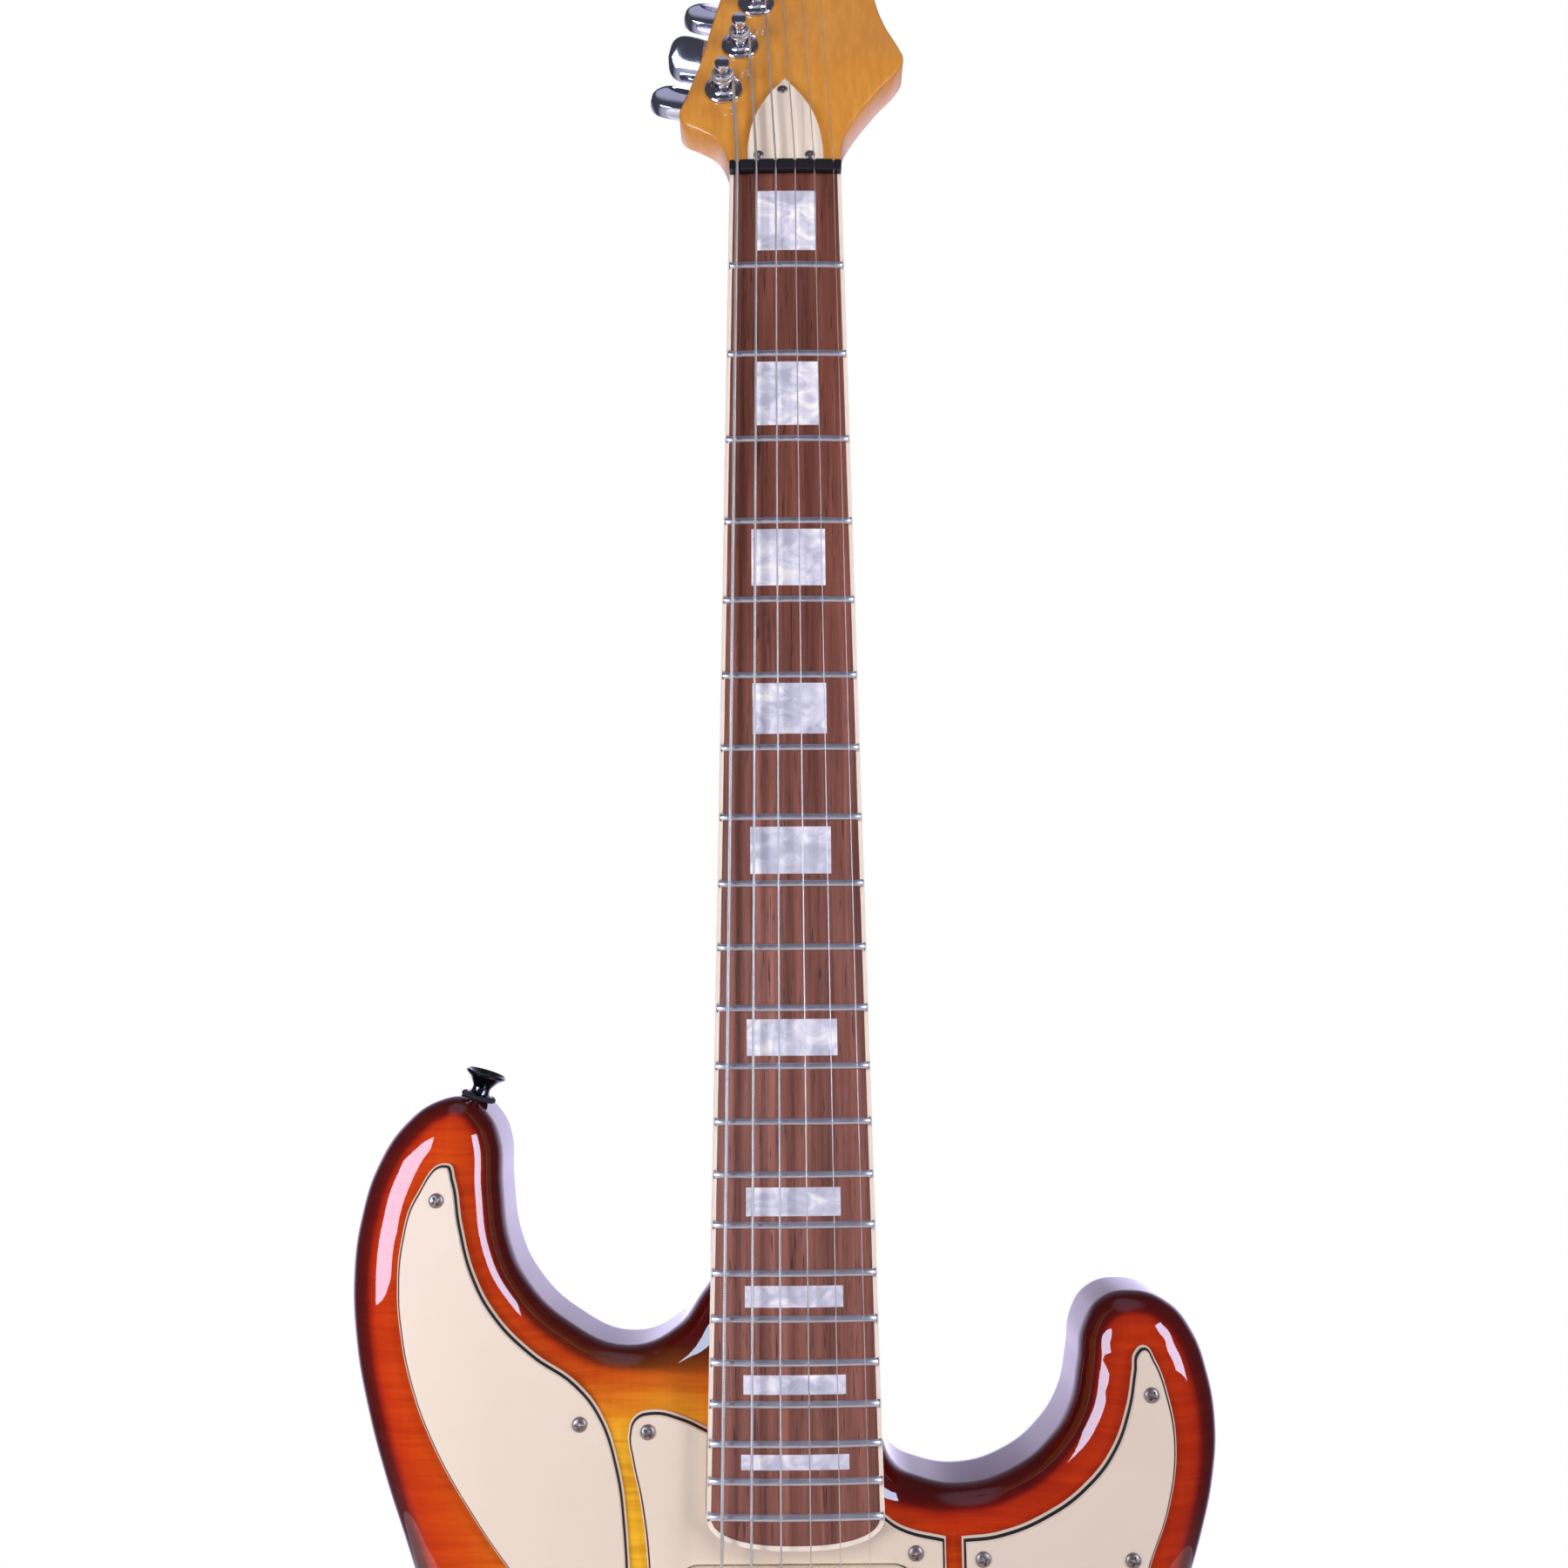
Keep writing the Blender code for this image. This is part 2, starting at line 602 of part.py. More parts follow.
def make_neck():
    """The neck: D-shaped shaft, heel, tilted headstock, tuner holes and rod trench."""
    top = BOARD_UNDER - CLEAR
    heel_top = BOARD_END + HEEL_LONG
    nut_depth = NECK_THICK_NUT - BOARD_THICK
    body_depth = NECK_THICK_BODY - BOARD_THICK
    settle = NUT_Z - NECK_BLEND
    run_out = NUT_Z + HEAD_BLEND
    run_out_half = NUT_WIDTH / 2 - HEAD_BLEND / 8
    run_out_top = BOARD_TOP - HEAD_DROP - HEAD_BLEND * math.tan(HEAD_TILT) - 2 * OVERCUT
    slices = [
        (heel_top - HEEL_BLEND / 2, board_half(heel_top) - OVERCUT, top, body_depth),
        (heel_top + HEEL_BLEND, board_half(heel_top), top, body_depth),
        (settle, board_half(settle), top, nut_depth),
        (NUT_Z, board_half(NUT_Z), top, nut_depth),
        (NUT_Z + NUT_LONG, board_half(NUT_Z), top, nut_depth - OVERCUT),
        (run_out, run_out_half, run_out_top, 2 * HEAD_THICK / 3),
    ]
    work = bmesh.new()
    rings = [[work.verts.new(spot) for spot in neck_section(*size)] for size in slices]
    for ring, after in zip(rings, rings[1:]):
        for spot in range(len(ring)):
            ahead = (spot + 1) % len(ring)
            work.faces.new((ring[spot], ring[ahead], after[ahead], after[spot]))
    work.faces.new(rings[0])
    work.faces.new(rings[-1])
    bmesh.ops.recalc_face_normals(work, faces=work.faces)
    mesh = bpy.data.meshes.new("neck")
    work.to_mesh(mesh)
    work.free()
    neck = place("neck", mesh, Matrix.Identity(4))
    heel = drawn("neck_heel", board_outline(0, heel_top), BODY_FRONT - POCKET_DEPTH + CLEAR, top)
    combine(neck, heel, "UNION")
    foot = (NUT_LONG + CLEAR) / math.cos(HEAD_TILT) + (BOARD_THICK - HEAD_DROP) * math.tan(HEAD_TILT)
    edge = sharp([(-NUT_WIDTH / 2, foot)]) + smooth(HEAD_BASS_EDGE + HEAD_TREBLE_EDGE)
    edge += sharp([(NUT_WIDTH / 2, foot)])
    combine(neck, drawn("headstock", edge, -HEAD_THICK, 0, HEAD), "UNION")
    half = ROD_RADIUS + CLEAR
    floor = BOARD_UNDER - ROD_TRENCH_DEPTH
    trench = ((-half, BOARD_END + HEEL_LONG / 2, floor), (half, NUT_Z + ROD_PAST_NUT + OVERCUT, BOARD_TOP))
    combine(neck, boxes("rod_trench", [trench]), "DIFFERENCE")
    for number in range(1, STRINGS + 1):
        hole = rod("tuner_hole", BUSHING_RADIUS + CLEAR, -2 * HEAD_THICK, HEAD_THICK, tuner_frame(number))
        combine(neck, hole, "DIFFERENCE")
    part(neck, "maple")


def make_fingerboard():
    """The crowned board with its frets, and the binding round it."""
    top = NUT_Z - CLEAR
    high = BOARD_TOP + 2 * FRET_HIGH
    board = drawn("fingerboard", board_outline(BINDING_WIDE + CLEAR, top), BOARD_UNDER, high)
    combine(board, crown("board_crown", CROWN), "INTERSECT")
    bars = []
    for number in range(1, FRETS + 1):
        along = fret_z(number)
        half = board_half(along) - CLEAR
        reach = FRET_WIDE / 2
        bars.append(((-half, along - reach, BOARD_UNDER), (half, along + reach, high)))
    frets = boxes("frets", bars)
    combine(frets, crown("fret_crown", CROWN + FRET_HIGH), "INTERSECT")
    combine(frets, crown("fret_seat", CROWN - FRET_SUNK), "DIFFERENCE")
    combine(board, frets, "UNION")
    part(board, "rosewood")
    outer = board_side(0, top)
    inner = board_side(BINDING_WIDE, top)
    strip = outer + [(-across, along) for across, along in reversed(outer[:-1])]
    strip += [(-across, along) for across, along in inner] + list(reversed(inner[:-1]))
    binding = drawn("fingerboard_binding", sharp(strip), BOARD_UNDER, high)
    combine(binding, crown("binding_crown", CROWN - FRET_SUNK - CLEAR), "INTERSECT")
    part(binding, "cream")


def make_nut():
    """The nut with a slot for each string."""
    lip = string_height(0, NUT_ACTION, GAUGES[-1]) + NUT_LIP
    half = NUT_WIDTH / 2
    nut = boxes("nut", [((-half, NUT_Z, BOARD_UNDER), (half, NUT_Z + NUT_LONG, lip))])
    combine(nut, crown("nut_crown", CROWN + lip - BOARD_TOP), "INTERSECT")
    slots = []
    for number, gauge in enumerate(GAUGES, start=1):
        across = string_place(number)[1]
        side = gauge / 2 + 2 * CLEAR
        floor = string_height(across, NUT_ACTION, gauge) - gauge / 2 - NUT_FALL - CLEAR
        low = (across - side, NUT_Z - NUT_LONG, floor)
        slots.append((low, (across + side, NUT_Z + 2 * NUT_LONG, 2 * lip)))
    combine(nut, boxes("nut_slots", slots), "DIFFERENCE")
    part(nut, "black")


def make_truss_rod():
    """The rod in its trench, with the turning nut at the headstock, and the cover over it."""
    low = BOARD_END + HEEL_LONG / 2 + CLEAR
    middle = BOARD_UNDER - ROD_TRENCH_DEPTH + ROD_RADIUS + CLEAR
    end = NUT_Z + ROD_PAST_NUT - low
    nut_low = end - ROD_NUT_LONG
    profile = [
        (0, end), (ROD_RADIUS, end), (ROD_RADIUS, nut_low),
        (ROD_SHAFT_RADIUS, nut_low), (ROD_SHAFT_RADIUS, 0), (0, 0),
    ]
    part(turned("truss_rod", profile, Matrix.Translation(point(0, low, middle)), 8), "steel")
    right = sharp([(COVER_HALF * MM, COVER_FOOT * MM)]) + smooth(COVER_SHOULDER)
    left = [(-across, along, corner) for across, along, corner in reversed(right)]
    outline = right + sharp([(0, COVER_TIP * MM)]) + left
    part(drawn("truss_rod_cover", outline, CLEAR, CLEAR + COVER_THICK, HEAD), "cream")


def make_neck_plate():
    """The plate behind the heel that the neck screws pull against."""
    half = NECK_PLATE_WIDE / 2
    top = BOARD_END + HEEL_LONG - NECK_PLATE_INSET
    back = -BODY_FRONT - CLEAR
    size = ((-half, top - NECK_PLATE_LONG, back - NECK_PLATE_THICK), (half, top, back))
    part(boxes("neck_plate", [size], rounding=NECK_PLATE_THICK / 4), "chrome")


def pickup_places():
    """Height of the middle of each pickup, from the neck to the bridge."""
    first = BOARD_END - PICKUP_TOP_GAP - PICKUP_LONG / 2
    last = BRIDGE_Z + BRIDGE_PICKUP_GAP + PICKUP_LONG / 2
    return first, (first + last) / 2, last


def pickup_outline(middle, spread):
    """A rectangle with rounded corners, grown by a spread."""
    half, reach = PICKUP_WIDE / 2 + spread, PICKUP_LONG / 2 + spread
    corner = PICKUP_CORNER
    steps = 3
    outline = []
    for quarter, (side, end) in enumerate(((1, 1), (-1, 1), (-1, -1), (1, -1))):
        for step in range(steps + 1):
            angle = math.pi / 2 * (quarter + step / steps)
            across = side * (half - corner) + corner * math.cos(angle)
            along = middle + end * (reach - corner) + corner * math.sin(angle)
            outline.append((across, along))
    return sharp(outline)


def make_pickups():
    """Three covered single-coil pickups that stand through the centre plate."""
    for name, middle in zip(("neck_pickup", "middle_pickup", "bridge_pickup"), pickup_places()):
        low, high = PLATE_TOP - PICKUP_DEEP, PLATE_TOP + PICKUP_RISE
        part(drawn(name, pickup_outline(middle, 0), low, high, rounding=PICKUP_ROUND), "cream")


def make_plates():
    """The three front plates with their openings."""
    outline = above(BOARD_END, smooth(BASS_PLATE))
    part(drawn("pickguard_bass", outline, PLATE_UNDER, PLATE_TOP, rounding=PLATE_BEVEL), "cream")
    cut_low, cut_high = PLATE_UNDER - OVERCUT, PLATE_TOP + OVERCUT
    foot = pickup_places()[-1] - PICKUP_LONG / 2 - CENTRE_PLATE_STOP
    head = BOARD_END + PLATE_HEAD
    outline = above(BOARD_END, smooth(CENTRE_PLATE_LEFT))
    outline += sharp([(-CENTRE_PLATE_EDGE, foot), (CENTRE_PLATE_EDGE, foot), (CENTRE_PLATE_EDGE, head)])
    outline += above(BOARD_END, smooth(CENTRE_PLATE_RIGHT))
    centre = drawn("pickguard_centre", outline, PLATE_UNDER, PLATE_TOP)
    combine(centre, drawn("notch", board_outline(-NOTCH_GAP, NUT_Z), cut_low, cut_high), "DIFFERENCE")
    for middle in pickup_places():
        opening = drawn("pickup_opening", pickup_outline(middle, PICKUP_GAP), cut_low, cut_high)
        combine(centre, opening, "DIFFERENCE")
    part(centre, "cream")
    outline = sharp([(TREBLE_PLATE_EDGE, head)]) + above(BOARD_END, smooth(TREBLE_PLATE_TOP))
    outline += sharp([(TREBLE_PLATE_EDGE, BOARD_END + TREBLE_PLATE_FOOT * MM)])
    treble = drawn("pickguard_treble", outline, PLATE_UNDER, PLATE_TOP)
    for across, along in (VOLUME_PLACE, TONE_PLACE):
        frame = axis_at(across, BODY_FOOT + along, PLATE_UNDER)
        hole = rod("pot_hole", POT_BUSHING + CLEAR, -PLATE_THICK, 2 * PLATE_THICK, frame)
        combine(treble, hole, "DIFFERENCE")
    combine(treble, boxes("lever_slot", [lever_slot(cut_low, cut_high)]), "DIFFERENCE")
    part(treble, "cream")


def lever_slot(low, high):
    """The slot that the selector's lever swings in, from one height to another."""
    across, along = SELECTOR_PLACE[0], BODY_FOOT + SELECTOR_PLACE[1]
    half = LEVER_WIDE / 2 + SWING_GAP
    reach = (PLATE_THICK + LEVER_DROP) * math.tan(LEVER_SWING) + LEVER_LONG / 2 + 2 * SWING_GAP
    return (across - half, along - reach, low), (across + half, along + reach, high)


def make_tuners():
    """Six tuners: housing with its bushing, post with its gear, and button with its worm shaft."""
    back = -HEAD_THICK
    upright = Matrix.Identity(4)
    along_x = Matrix.Rotation(math.pi / 2, 4, "Y")
    worm = Matrix.Translation((0, -WORM_OFFSET, back - WORM_DEPTH))
    gear_top = back - WORM_DEPTH + GEAR_THICK / 2
    gear_low = gear_top - GEAR_THICK
    left, right = -HOUSING_INNER, HOUSING_OUTER
    low_side = -WORM_OFFSET - WORM_RADIUS - HOUSING_WALL
    outline = sharp([(left, low_side), (right, low_side), (right, HOUSING_SIDE), (left, HOUSING_SIDE)])
    case = drawn("case", outline, back - HOUSING_DEEP, back - CLEAR, upright, rounding=HOUSING_ROUND)
    combine(case, turned("collar", [
        (0, FLANGE_TALL), (BUSHING_RADIUS, FLANGE_TALL), (FLANGE_RADIUS, FLANGE_TALL / 3),
        (FLANGE_RADIUS, CLEAR), (BUSHING_RADIUS, CLEAR), (BUSHING_RADIUS, back - OVERCUT),
        (0, back - OVERCUT),
    ], upright), "UNION")
    bore, room = POST_RADIUS + CLEAR, GEAR_RADIUS + CLEAR
    combine(case, turned("gear_room", [
        (0, 2 * FLANGE_TALL), (bore, 2 * FLANGE_TALL), (bore, gear_top + CLEAR), (room, gear_top + CLEAR),
        (room, gear_low - CLEAR), (0, gear_low - CLEAR),
    ], upright), "DIFFERENCE")
    case_frame = case.matrix_world.copy()
    worm_end = HOUSING_WALL - HOUSING_INNER
    worm_room = rod("worm_room", WORM_RADIUS + CLEAR, worm_end, 2 * HOUSING_OUTER, worm @ along_x, 8)
    housing_mesh = baked(combine(case, worm_room, "DIFFERENCE"))

    cap_low = POST_TALL - POST_CAP
    waist_low = FLANGE_TALL + POST_CHAMFER
    post_mesh = baked(turned("post", [
        (0, POST_TALL), (POST_RADIUS - POST_CHAMFER, POST_TALL), (POST_RADIUS, POST_TALL - POST_CHAMFER),
        (POST_RADIUS, cap_low), (POST_WAIST, cap_low - POST_CHAMFER), (POST_WAIST, waist_low + POST_CHAMFER),
        (POST_RADIUS, waist_low), (POST_RADIUS, gear_top), (GEAR_RADIUS, gear_top), (GEAR_RADIUS, gear_low),
        (0, gear_low),
    ], upright))

    root = (BUTTON_START, BUTTON_WIDE / 2)
    edge = [(root[0] + along * BUTTON_LONG, side * root[1], along == 0) for along, side in BUTTON_SHAPE]
    edge += [(across, -along, corner) for across, along, corner in reversed(edge)]
    button = drawn("paddle", edge, -BUTTON_THICK / 2, BUTTON_THICK / 2, upright, rounding=BUTTON_ROUND)
    shaft = rod("shaft", WORM_RADIUS, worm_end + CLEAR, BUTTON_START + BUTTON_LONG / 2, along_x, 8)
    button_mesh = baked(combine(button, shaft, "UNION"))

    for number in range(1, STRINGS + 1):
        frame = tuner_frame(number)
        turn = Matrix.Rotation(math.radians(BUTTON_TURNS[STRINGS - number]), 4, "X")
        part(place(f"tuner_housing_{number}", housing_mesh, frame @ case_frame), "chrome")
        part(place(f"tuner_post_{number}", post_mesh, frame), "chrome")
        part(place(f"tuner_button_{number}", button_mesh, frame @ worm @ turn), "chrome")


def string_route(number):
    """Points of one string from the block, over the saddle and the nut, to its turns on the post."""
    gauge = GAUGES[number - 1]
    at_bridge, at_nut = string_place(number)
    high = string_height(at_bridge, SADDLE_ACTION, gauge)
    hole = BRIDGE_Z - STRING_HOLE_BEHIND
    nut_high = string_height(at_nut, NUT_ACTION, gauge)
    route = [
        point(at_bridge, hole, BRIDGE_UNDER - STRING_IN_BLOCK),
        point(at_bridge, hole, BRIDGE_TOP - STRING_BEND),
        point(at_bridge, hole + STRING_BEND / 2, BRIDGE_TOP + STRING_BEND),
        point(at_bridge, BRIDGE_Z - STRING_BEND, high - STRING_BEND / 4),
        point(at_bridge, BRIDGE_Z, high),
        point(at_nut, NUT_Z, nut_high),
        point(at_nut, NUT_Z + NUT_LONG, nut_high - NUT_FALL),
    ]
    step = STRINGS - number
    post_across = FIRST_POST[0] + step * POST_STEP[0]
    post_up = FIRST_POST[1] + step * POST_STEP[1]
    radius = POST_RADIUS + gauge / 2 + CLEAR
    lean = math.atan2(at_nut - post_across - radius, post_up - NUT_LONG)
    pitch = gauge + WRAP_GAP
    for knot in range(WRAP_TURNS * WRAP_POINTS + 1):
        angle = lean + 2 * math.pi * knot / WRAP_POINTS
        rise = WRAP_START + gauge / 2 + pitch * knot / WRAP_POINTS
        spot = (post_across + radius * math.cos(angle), post_up + radius * math.sin(angle), rise)
        route.append(HEAD @ Vector(spot))
    return route


def turn_gap(route, gauge):
    """Least gap between turns that lie over each other on a post."""
    turns = route[-(WRAP_TURNS * WRAP_POINTS + 1):]
    return min((over - under).length for under, over in zip(turns, turns[WRAP_POINTS:])) - gauge


def make_strings():
    """Six strings, each one unbroken wire."""
    gaps = []
    for number, gauge in enumerate(GAUGES, start=1):
        route = string_route(number)
        gaps.append(turn_gap(route, gauge))
        part(tube(f"string_{number}", route, gauge / 2), "steel")
    print(f"least gap between turns of a string: {min(gaps) * 1000:.2f} mm")


def make_bridge():
    """The vibrato: plate with its knife edge, saddles, block, arm, springs and claw."""
    edge_height = BRIDGE_UNDER + BRIDGE_THICK / 2
    pivot = place("vibrato_pivot", None, Matrix.Translation(point(0, PIVOT_Z, edge_height)))
    back, lip = BRIDGE_Z - BRIDGE_BEHIND, BRIDGE_TOP + BRIDGE_LIP
    wall, blade = back + BRIDGE_THICK, PIVOT_Z - BRIDGE_THICK
    outline = sharp([
        (PIVOT_Z, edge_height), (blade, BRIDGE_TOP), (wall, BRIDGE_TOP), (wall, lip), (back, lip),
        (back, BRIDGE_UNDER), (blade, BRIDGE_UNDER),
    ])
    plate = drawn("bridge_plate", outline, -BRIDGE_HALF, BRIDGE_HALF, SIDE)
    hole_z = BRIDGE_Z - STRING_HOLE_BEHIND
    block_low = BLOCK_TO_BACK - BODY_FRONT
    block_face = hole_z + BLOCK_LONG / 2
    block = boxes("inertia_block", [
        ((-BLOCK_HALF, block_face - BLOCK_LONG, block_low), (BLOCK_HALF, block_face, BRIDGE_UNDER - CLEAR)),
    ])
    hole_low = -STRING_IN_BLOCK - STRING_HOLE_RADIUS
    for number in range(1, STRINGS + 1):
        frame = axis_at(string_place(number)[0], hole_z, BRIDGE_UNDER)
        hole = rod("string_hole", STRING_HOLE_RADIUS, hole_low, 2 * BRIDGE_THICK, frame, 8)
        combine(plate, hole, "DIFFERENCE")
        combine(block, hole, "DIFFERENCE")
    arm_frame = axis_at(ARM_ACROSS, BRIDGE_Z - ARM_BEHIND, BRIDGE_UNDER)
    arm_hole = rod("arm_hole", ARM_RADIUS + CLEAR, -OVERCUT, 2 * BRIDGE_THICK, arm_frame)
    combine(plate, arm_hole, "DIFFERENCE")
    moving = [part(plate, "chrome"), part(block, "steel")]
    front, rear, low = BRIDGE_Z + SADDLE_FRONT, BRIDGE_Z - SADDLE_BACK, BRIDGE_TOP + CLEAR
    for number, gauge in enumerate(GAUGES, start=1):
        across = string_place(number)[0]
        top = string_height(across, SADDLE_ACTION, gauge) - gauge / 2 - CLEAR
        outline = sharp([
            (front, low), (rear, low), (rear, low + SADDLE_HEEL),
            (BRIDGE_Z - STRING_BEND, top - STRING_BEND / 2), (BRIDGE_Z - SADDLE_CREST / 2, top),
            (BRIDGE_Z + SADDLE_CREST, top), (front, top - SADDLE_CREST),
        ])
        side = SADDLE_WIDE / 2
        saddle = drawn(f"saddle_{number}", outline, across - side, across + side, SIDE)
        moving.append(part(saddle, "chrome"))
    for piece in moving:
        piece.parent = pivot
        piece.matrix_parent_inverse = pivot.matrix_world.inverted()
    make_arm(Matrix.Translation(point(ARM_ACROSS, BRIDGE_Z - ARM_BEHIND, BRIDGE_UNDER + CLEAR)))
    make_springs(block_face, block_low)


def make_arm(base):
    """The bent arm, which hangs down from its hole in the plate, with a tip."""
    route = [point(across * MM, -down * MM, rise * MM) for across, down, rise in ARM_BENDS]
    arm = tube("vibrato_arm", route, ARM_RADIUS)
    arm.matrix_world = base
    arm = welded(arm)
    end, before = route[-1], route[-2]
    lie = (end - before).to_track_quat("Z", "Y").to_matrix().to_4x4()
    shoulder = ARM_TIP_RADIUS - ARM_RADIUS
    tip = turned("arm_tip", [
        (0, ARM_TIP_LONG), (ARM_RADIUS, ARM_TIP_LONG), (ARM_TIP_RADIUS, ARM_TIP_LONG - shoulder),
        (ARM_RADIUS + CLEAR, -ARM_TIP_LAP), (0, -ARM_TIP_LAP),
    ], base @ Matrix.Translation(end) @ lie)
    part(combine(arm, tip, "UNION"), "chrome")


def make_springs(block_face, block_low):
    """Two springs from the block to the claw, in the room behind, and the cover that closes it."""
    room_end = BRIDGE_Z - SLOT_BEHIND + SPRING_ROOM_LONG
    claw_z = room_end - CLAW_TO_END
    claw_low = CLAW_TO_BACK - BODY_FRONT
    claw = ((-CLAW_HALF, claw_z, claw_low), (CLAW_HALF, claw_z + CLAW_THICK, claw_low + CLAW_TALL))
    part(boxes("spring_claw", [claw]), "steel")
    middle = block_low + SPRING_RADIUS + CLEAR
    reach = claw_z - block_face - 2 * CLEAR
    coil_low, coil_top = SPRING_HOOK_LONG, reach - SPRING_HOOK_LONG
    for number, side in enumerate((-1, 1), start=1):
        frame = Matrix.Translation(point(side * SPRING_SPREAD, block_face + CLEAR, middle))
        spring = turned(f"vibrato_spring_{number}", [
            (0, reach), (SPRING_HOOK, reach), (SPRING_HOOK, coil_top), (SPRING_RADIUS, coil_top),
            (SPRING_RADIUS, coil_low), (SPRING_HOOK, coil_low), (SPRING_HOOK, 0), (0, 0),
        ], frame)
        part(spring, "steel")
    half = SLOT_HALF + BACK_COVER_LAP
    back = -BODY_FRONT - CLEAR
    low = BRIDGE_Z - SLOT_BEHIND - BACK_COVER_LAP
    cover = ((-half, low, back - BACK_COVER_THICK), (half, room_end + BACK_COVER_LAP, back))
    part(boxes("back_cover", [cover], rounding=BACK_COVER_THICK / 4), "cream")


def make_controls():
    """Volume and tone knobs on their pots, the selector with its lever, and the output jack."""
    under, rise = -PLATE_THICK - CLEAR, POT_BUSHING_RISE
    shaft_low, base = rise - SHAFT_DEEP, rise + KNOB_GAP
    bore, floor, knob_top = SHAFT_RADIUS + CLEAR, shaft_low - CLEAR, base + KNOB_TALL
    for name, (across, along) in (("volume", VOLUME_PLACE), ("tone", TONE_PLACE)):
        frame = axis_at(across, BODY_FOOT + along, PLATE_TOP)
        pot = turned(f"{name}_pot", [
            (0, floor), (bore, floor), (bore, rise), (POT_BUSHING, rise), (POT_BUSHING, under),
            (POT_RADIUS, under), (POT_RADIUS, under - POT_TALL), (0, under - POT_TALL),
        ], frame)
        part(pot, "steel")
        knob = turned(f"{name}_knob", [
            (0, knob_top), (KNOB_TOP_RADIUS - KNOB_GAP, knob_top), (KNOB_TOP_RADIUS, knob_top - KNOB_GAP),
            (KNOB_RADIUS, base + KNOB_GAP), (KNOB_RADIUS, base), (SHAFT_RADIUS, base),
            (SHAFT_RADIUS, shaft_low), (0, shaft_low),
        ], frame, 16)
        part(knob, "cream")
    across, along = SELECTOR_PLACE[0], BODY_FOOT + SELECTOR_PLACE[1]
    half, reach = SWITCH_WIDE / 2, SWITCH_LONG / 2
    top, pivot = PLATE_UNDER - CLEAR, PLATE_UNDER - LEVER_DROP
    switch = boxes("selector_switch", [
        ((across - half, along - reach, top - SWITCH_DEEP), (across + half, along + reach, top)),
    ])
    combine(switch, boxes("lever_room", [lever_slot(pivot - LEVER_LONG, PLATE_TOP)]), "DIFFERENCE")
    part(switch, "steel")
    side, deep = LEVER_WIDE / 2, LEVER_LONG / 2
    tip = PLATE_TOP + LEVER_RISE - pivot
    lever = boxes("selector_lever", [((-side, -deep, -deep), (side, deep, tip - LEVER_CAP_LONG / 2))])
    side, deep = side + LEVER_CAP_SIDE, deep + LEVER_CAP_SIDE
    cap_size = ((-side, -deep, tip - LEVER_CAP_LONG), (side, deep, tip))
    cap = boxes("lever_cap", [cap_size], rounding=LEVER_CAP_SIDE)
    combine(lever, cap, "UNION")
    for piece in (lever, cap):
        piece.location = point(across, along, pivot)
    part(lever, "cream")
    wide = JACK_PLACE[0] * MM + CLEAR
    face, end = wide + JACK_FLANGE_THICK, wide - JACK_LONG
    jack = turned("output_jack", [
        (0, end + JACK_WALL), (JACK_BORE, end + JACK_WALL), (JACK_BORE, face), (JACK_FLANGE, face),
        (JACK_FLANGE, wide), (JACK_RADIUS, wide), (JACK_RADIUS, end), (0, end),
    ], jack_frame())
    part(jack, "chrome")


def make_strap_buttons():
    """The strap buttons on the bass horn and at the end of the body, each with its washer."""
    top = WASHER_THICK + STRAP_TALL
    rim, flare = STRAP_RIM, WASHER_THICK + STRAP_TALL / 3
    profile = [
        (0, top), (STRAP_RADIUS - rim, top), (STRAP_RADIUS, top - rim), (STRAP_RADIUS, top - 2 * rim),
        (STRAP_NECK, flare), (STRAP_NECK, WASHER_THICK + rim), (STRAP_NECK + rim, WASHER_THICK),
        (WASHER_RADIUS, WASHER_THICK), (WASHER_RADIUS, 0), (0, 0),
    ]
    down = Matrix.Translation((0, 0, top)) @ Matrix.Rotation(math.pi, 4, "X")
    part(turned("strap_button_end", profile, down), "chrome")
    across, along = HORN_BUTTON
    seat = Matrix.Translation(point(across * MM, BOARD_END + along * MM, 0))
    lean = Matrix.Rotation(HORN_LEAN, 4, "Y") @ Matrix.Translation((0, 0, 2 * CLEAR))
    part(turned("strap_button_upper", profile, seat @ lean), "chrome")


def main():
    """Make every piece."""
    make_body()
    make_neck()
    make_fingerboard()
    make_nut()
    make_truss_rod()
    make_neck_plate()
    make_pickups()
    make_plates()
    make_tuners()
    make_strings()
    make_bridge()
    make_controls()
    make_strap_buttons()


for leftover in list(bpy.data.objects):
    bpy.data.objects.remove(leftover)
PARTS = group("electric_guitar")
CUTTERS = group("cutters")
main()
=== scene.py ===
"""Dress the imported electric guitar: lacquer, woods, plastics, metal fittings and a white studio.

Metres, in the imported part's frame: +Z up along the neck, X to the treble side, strings facing -Y.
Tables of points are in millimetres, and the tuner buttons' turns and the lamps' rolls in degrees.
"""

import logging
import math
from collections.abc import Callable, Iterator, Sequence
from contextlib import contextmanager
from dataclasses import dataclass
from enum import Enum
from typing import Any

import bpy
import numpy as np
from mathutils import Matrix, Vector
from mathutils.kdtree import KDTree


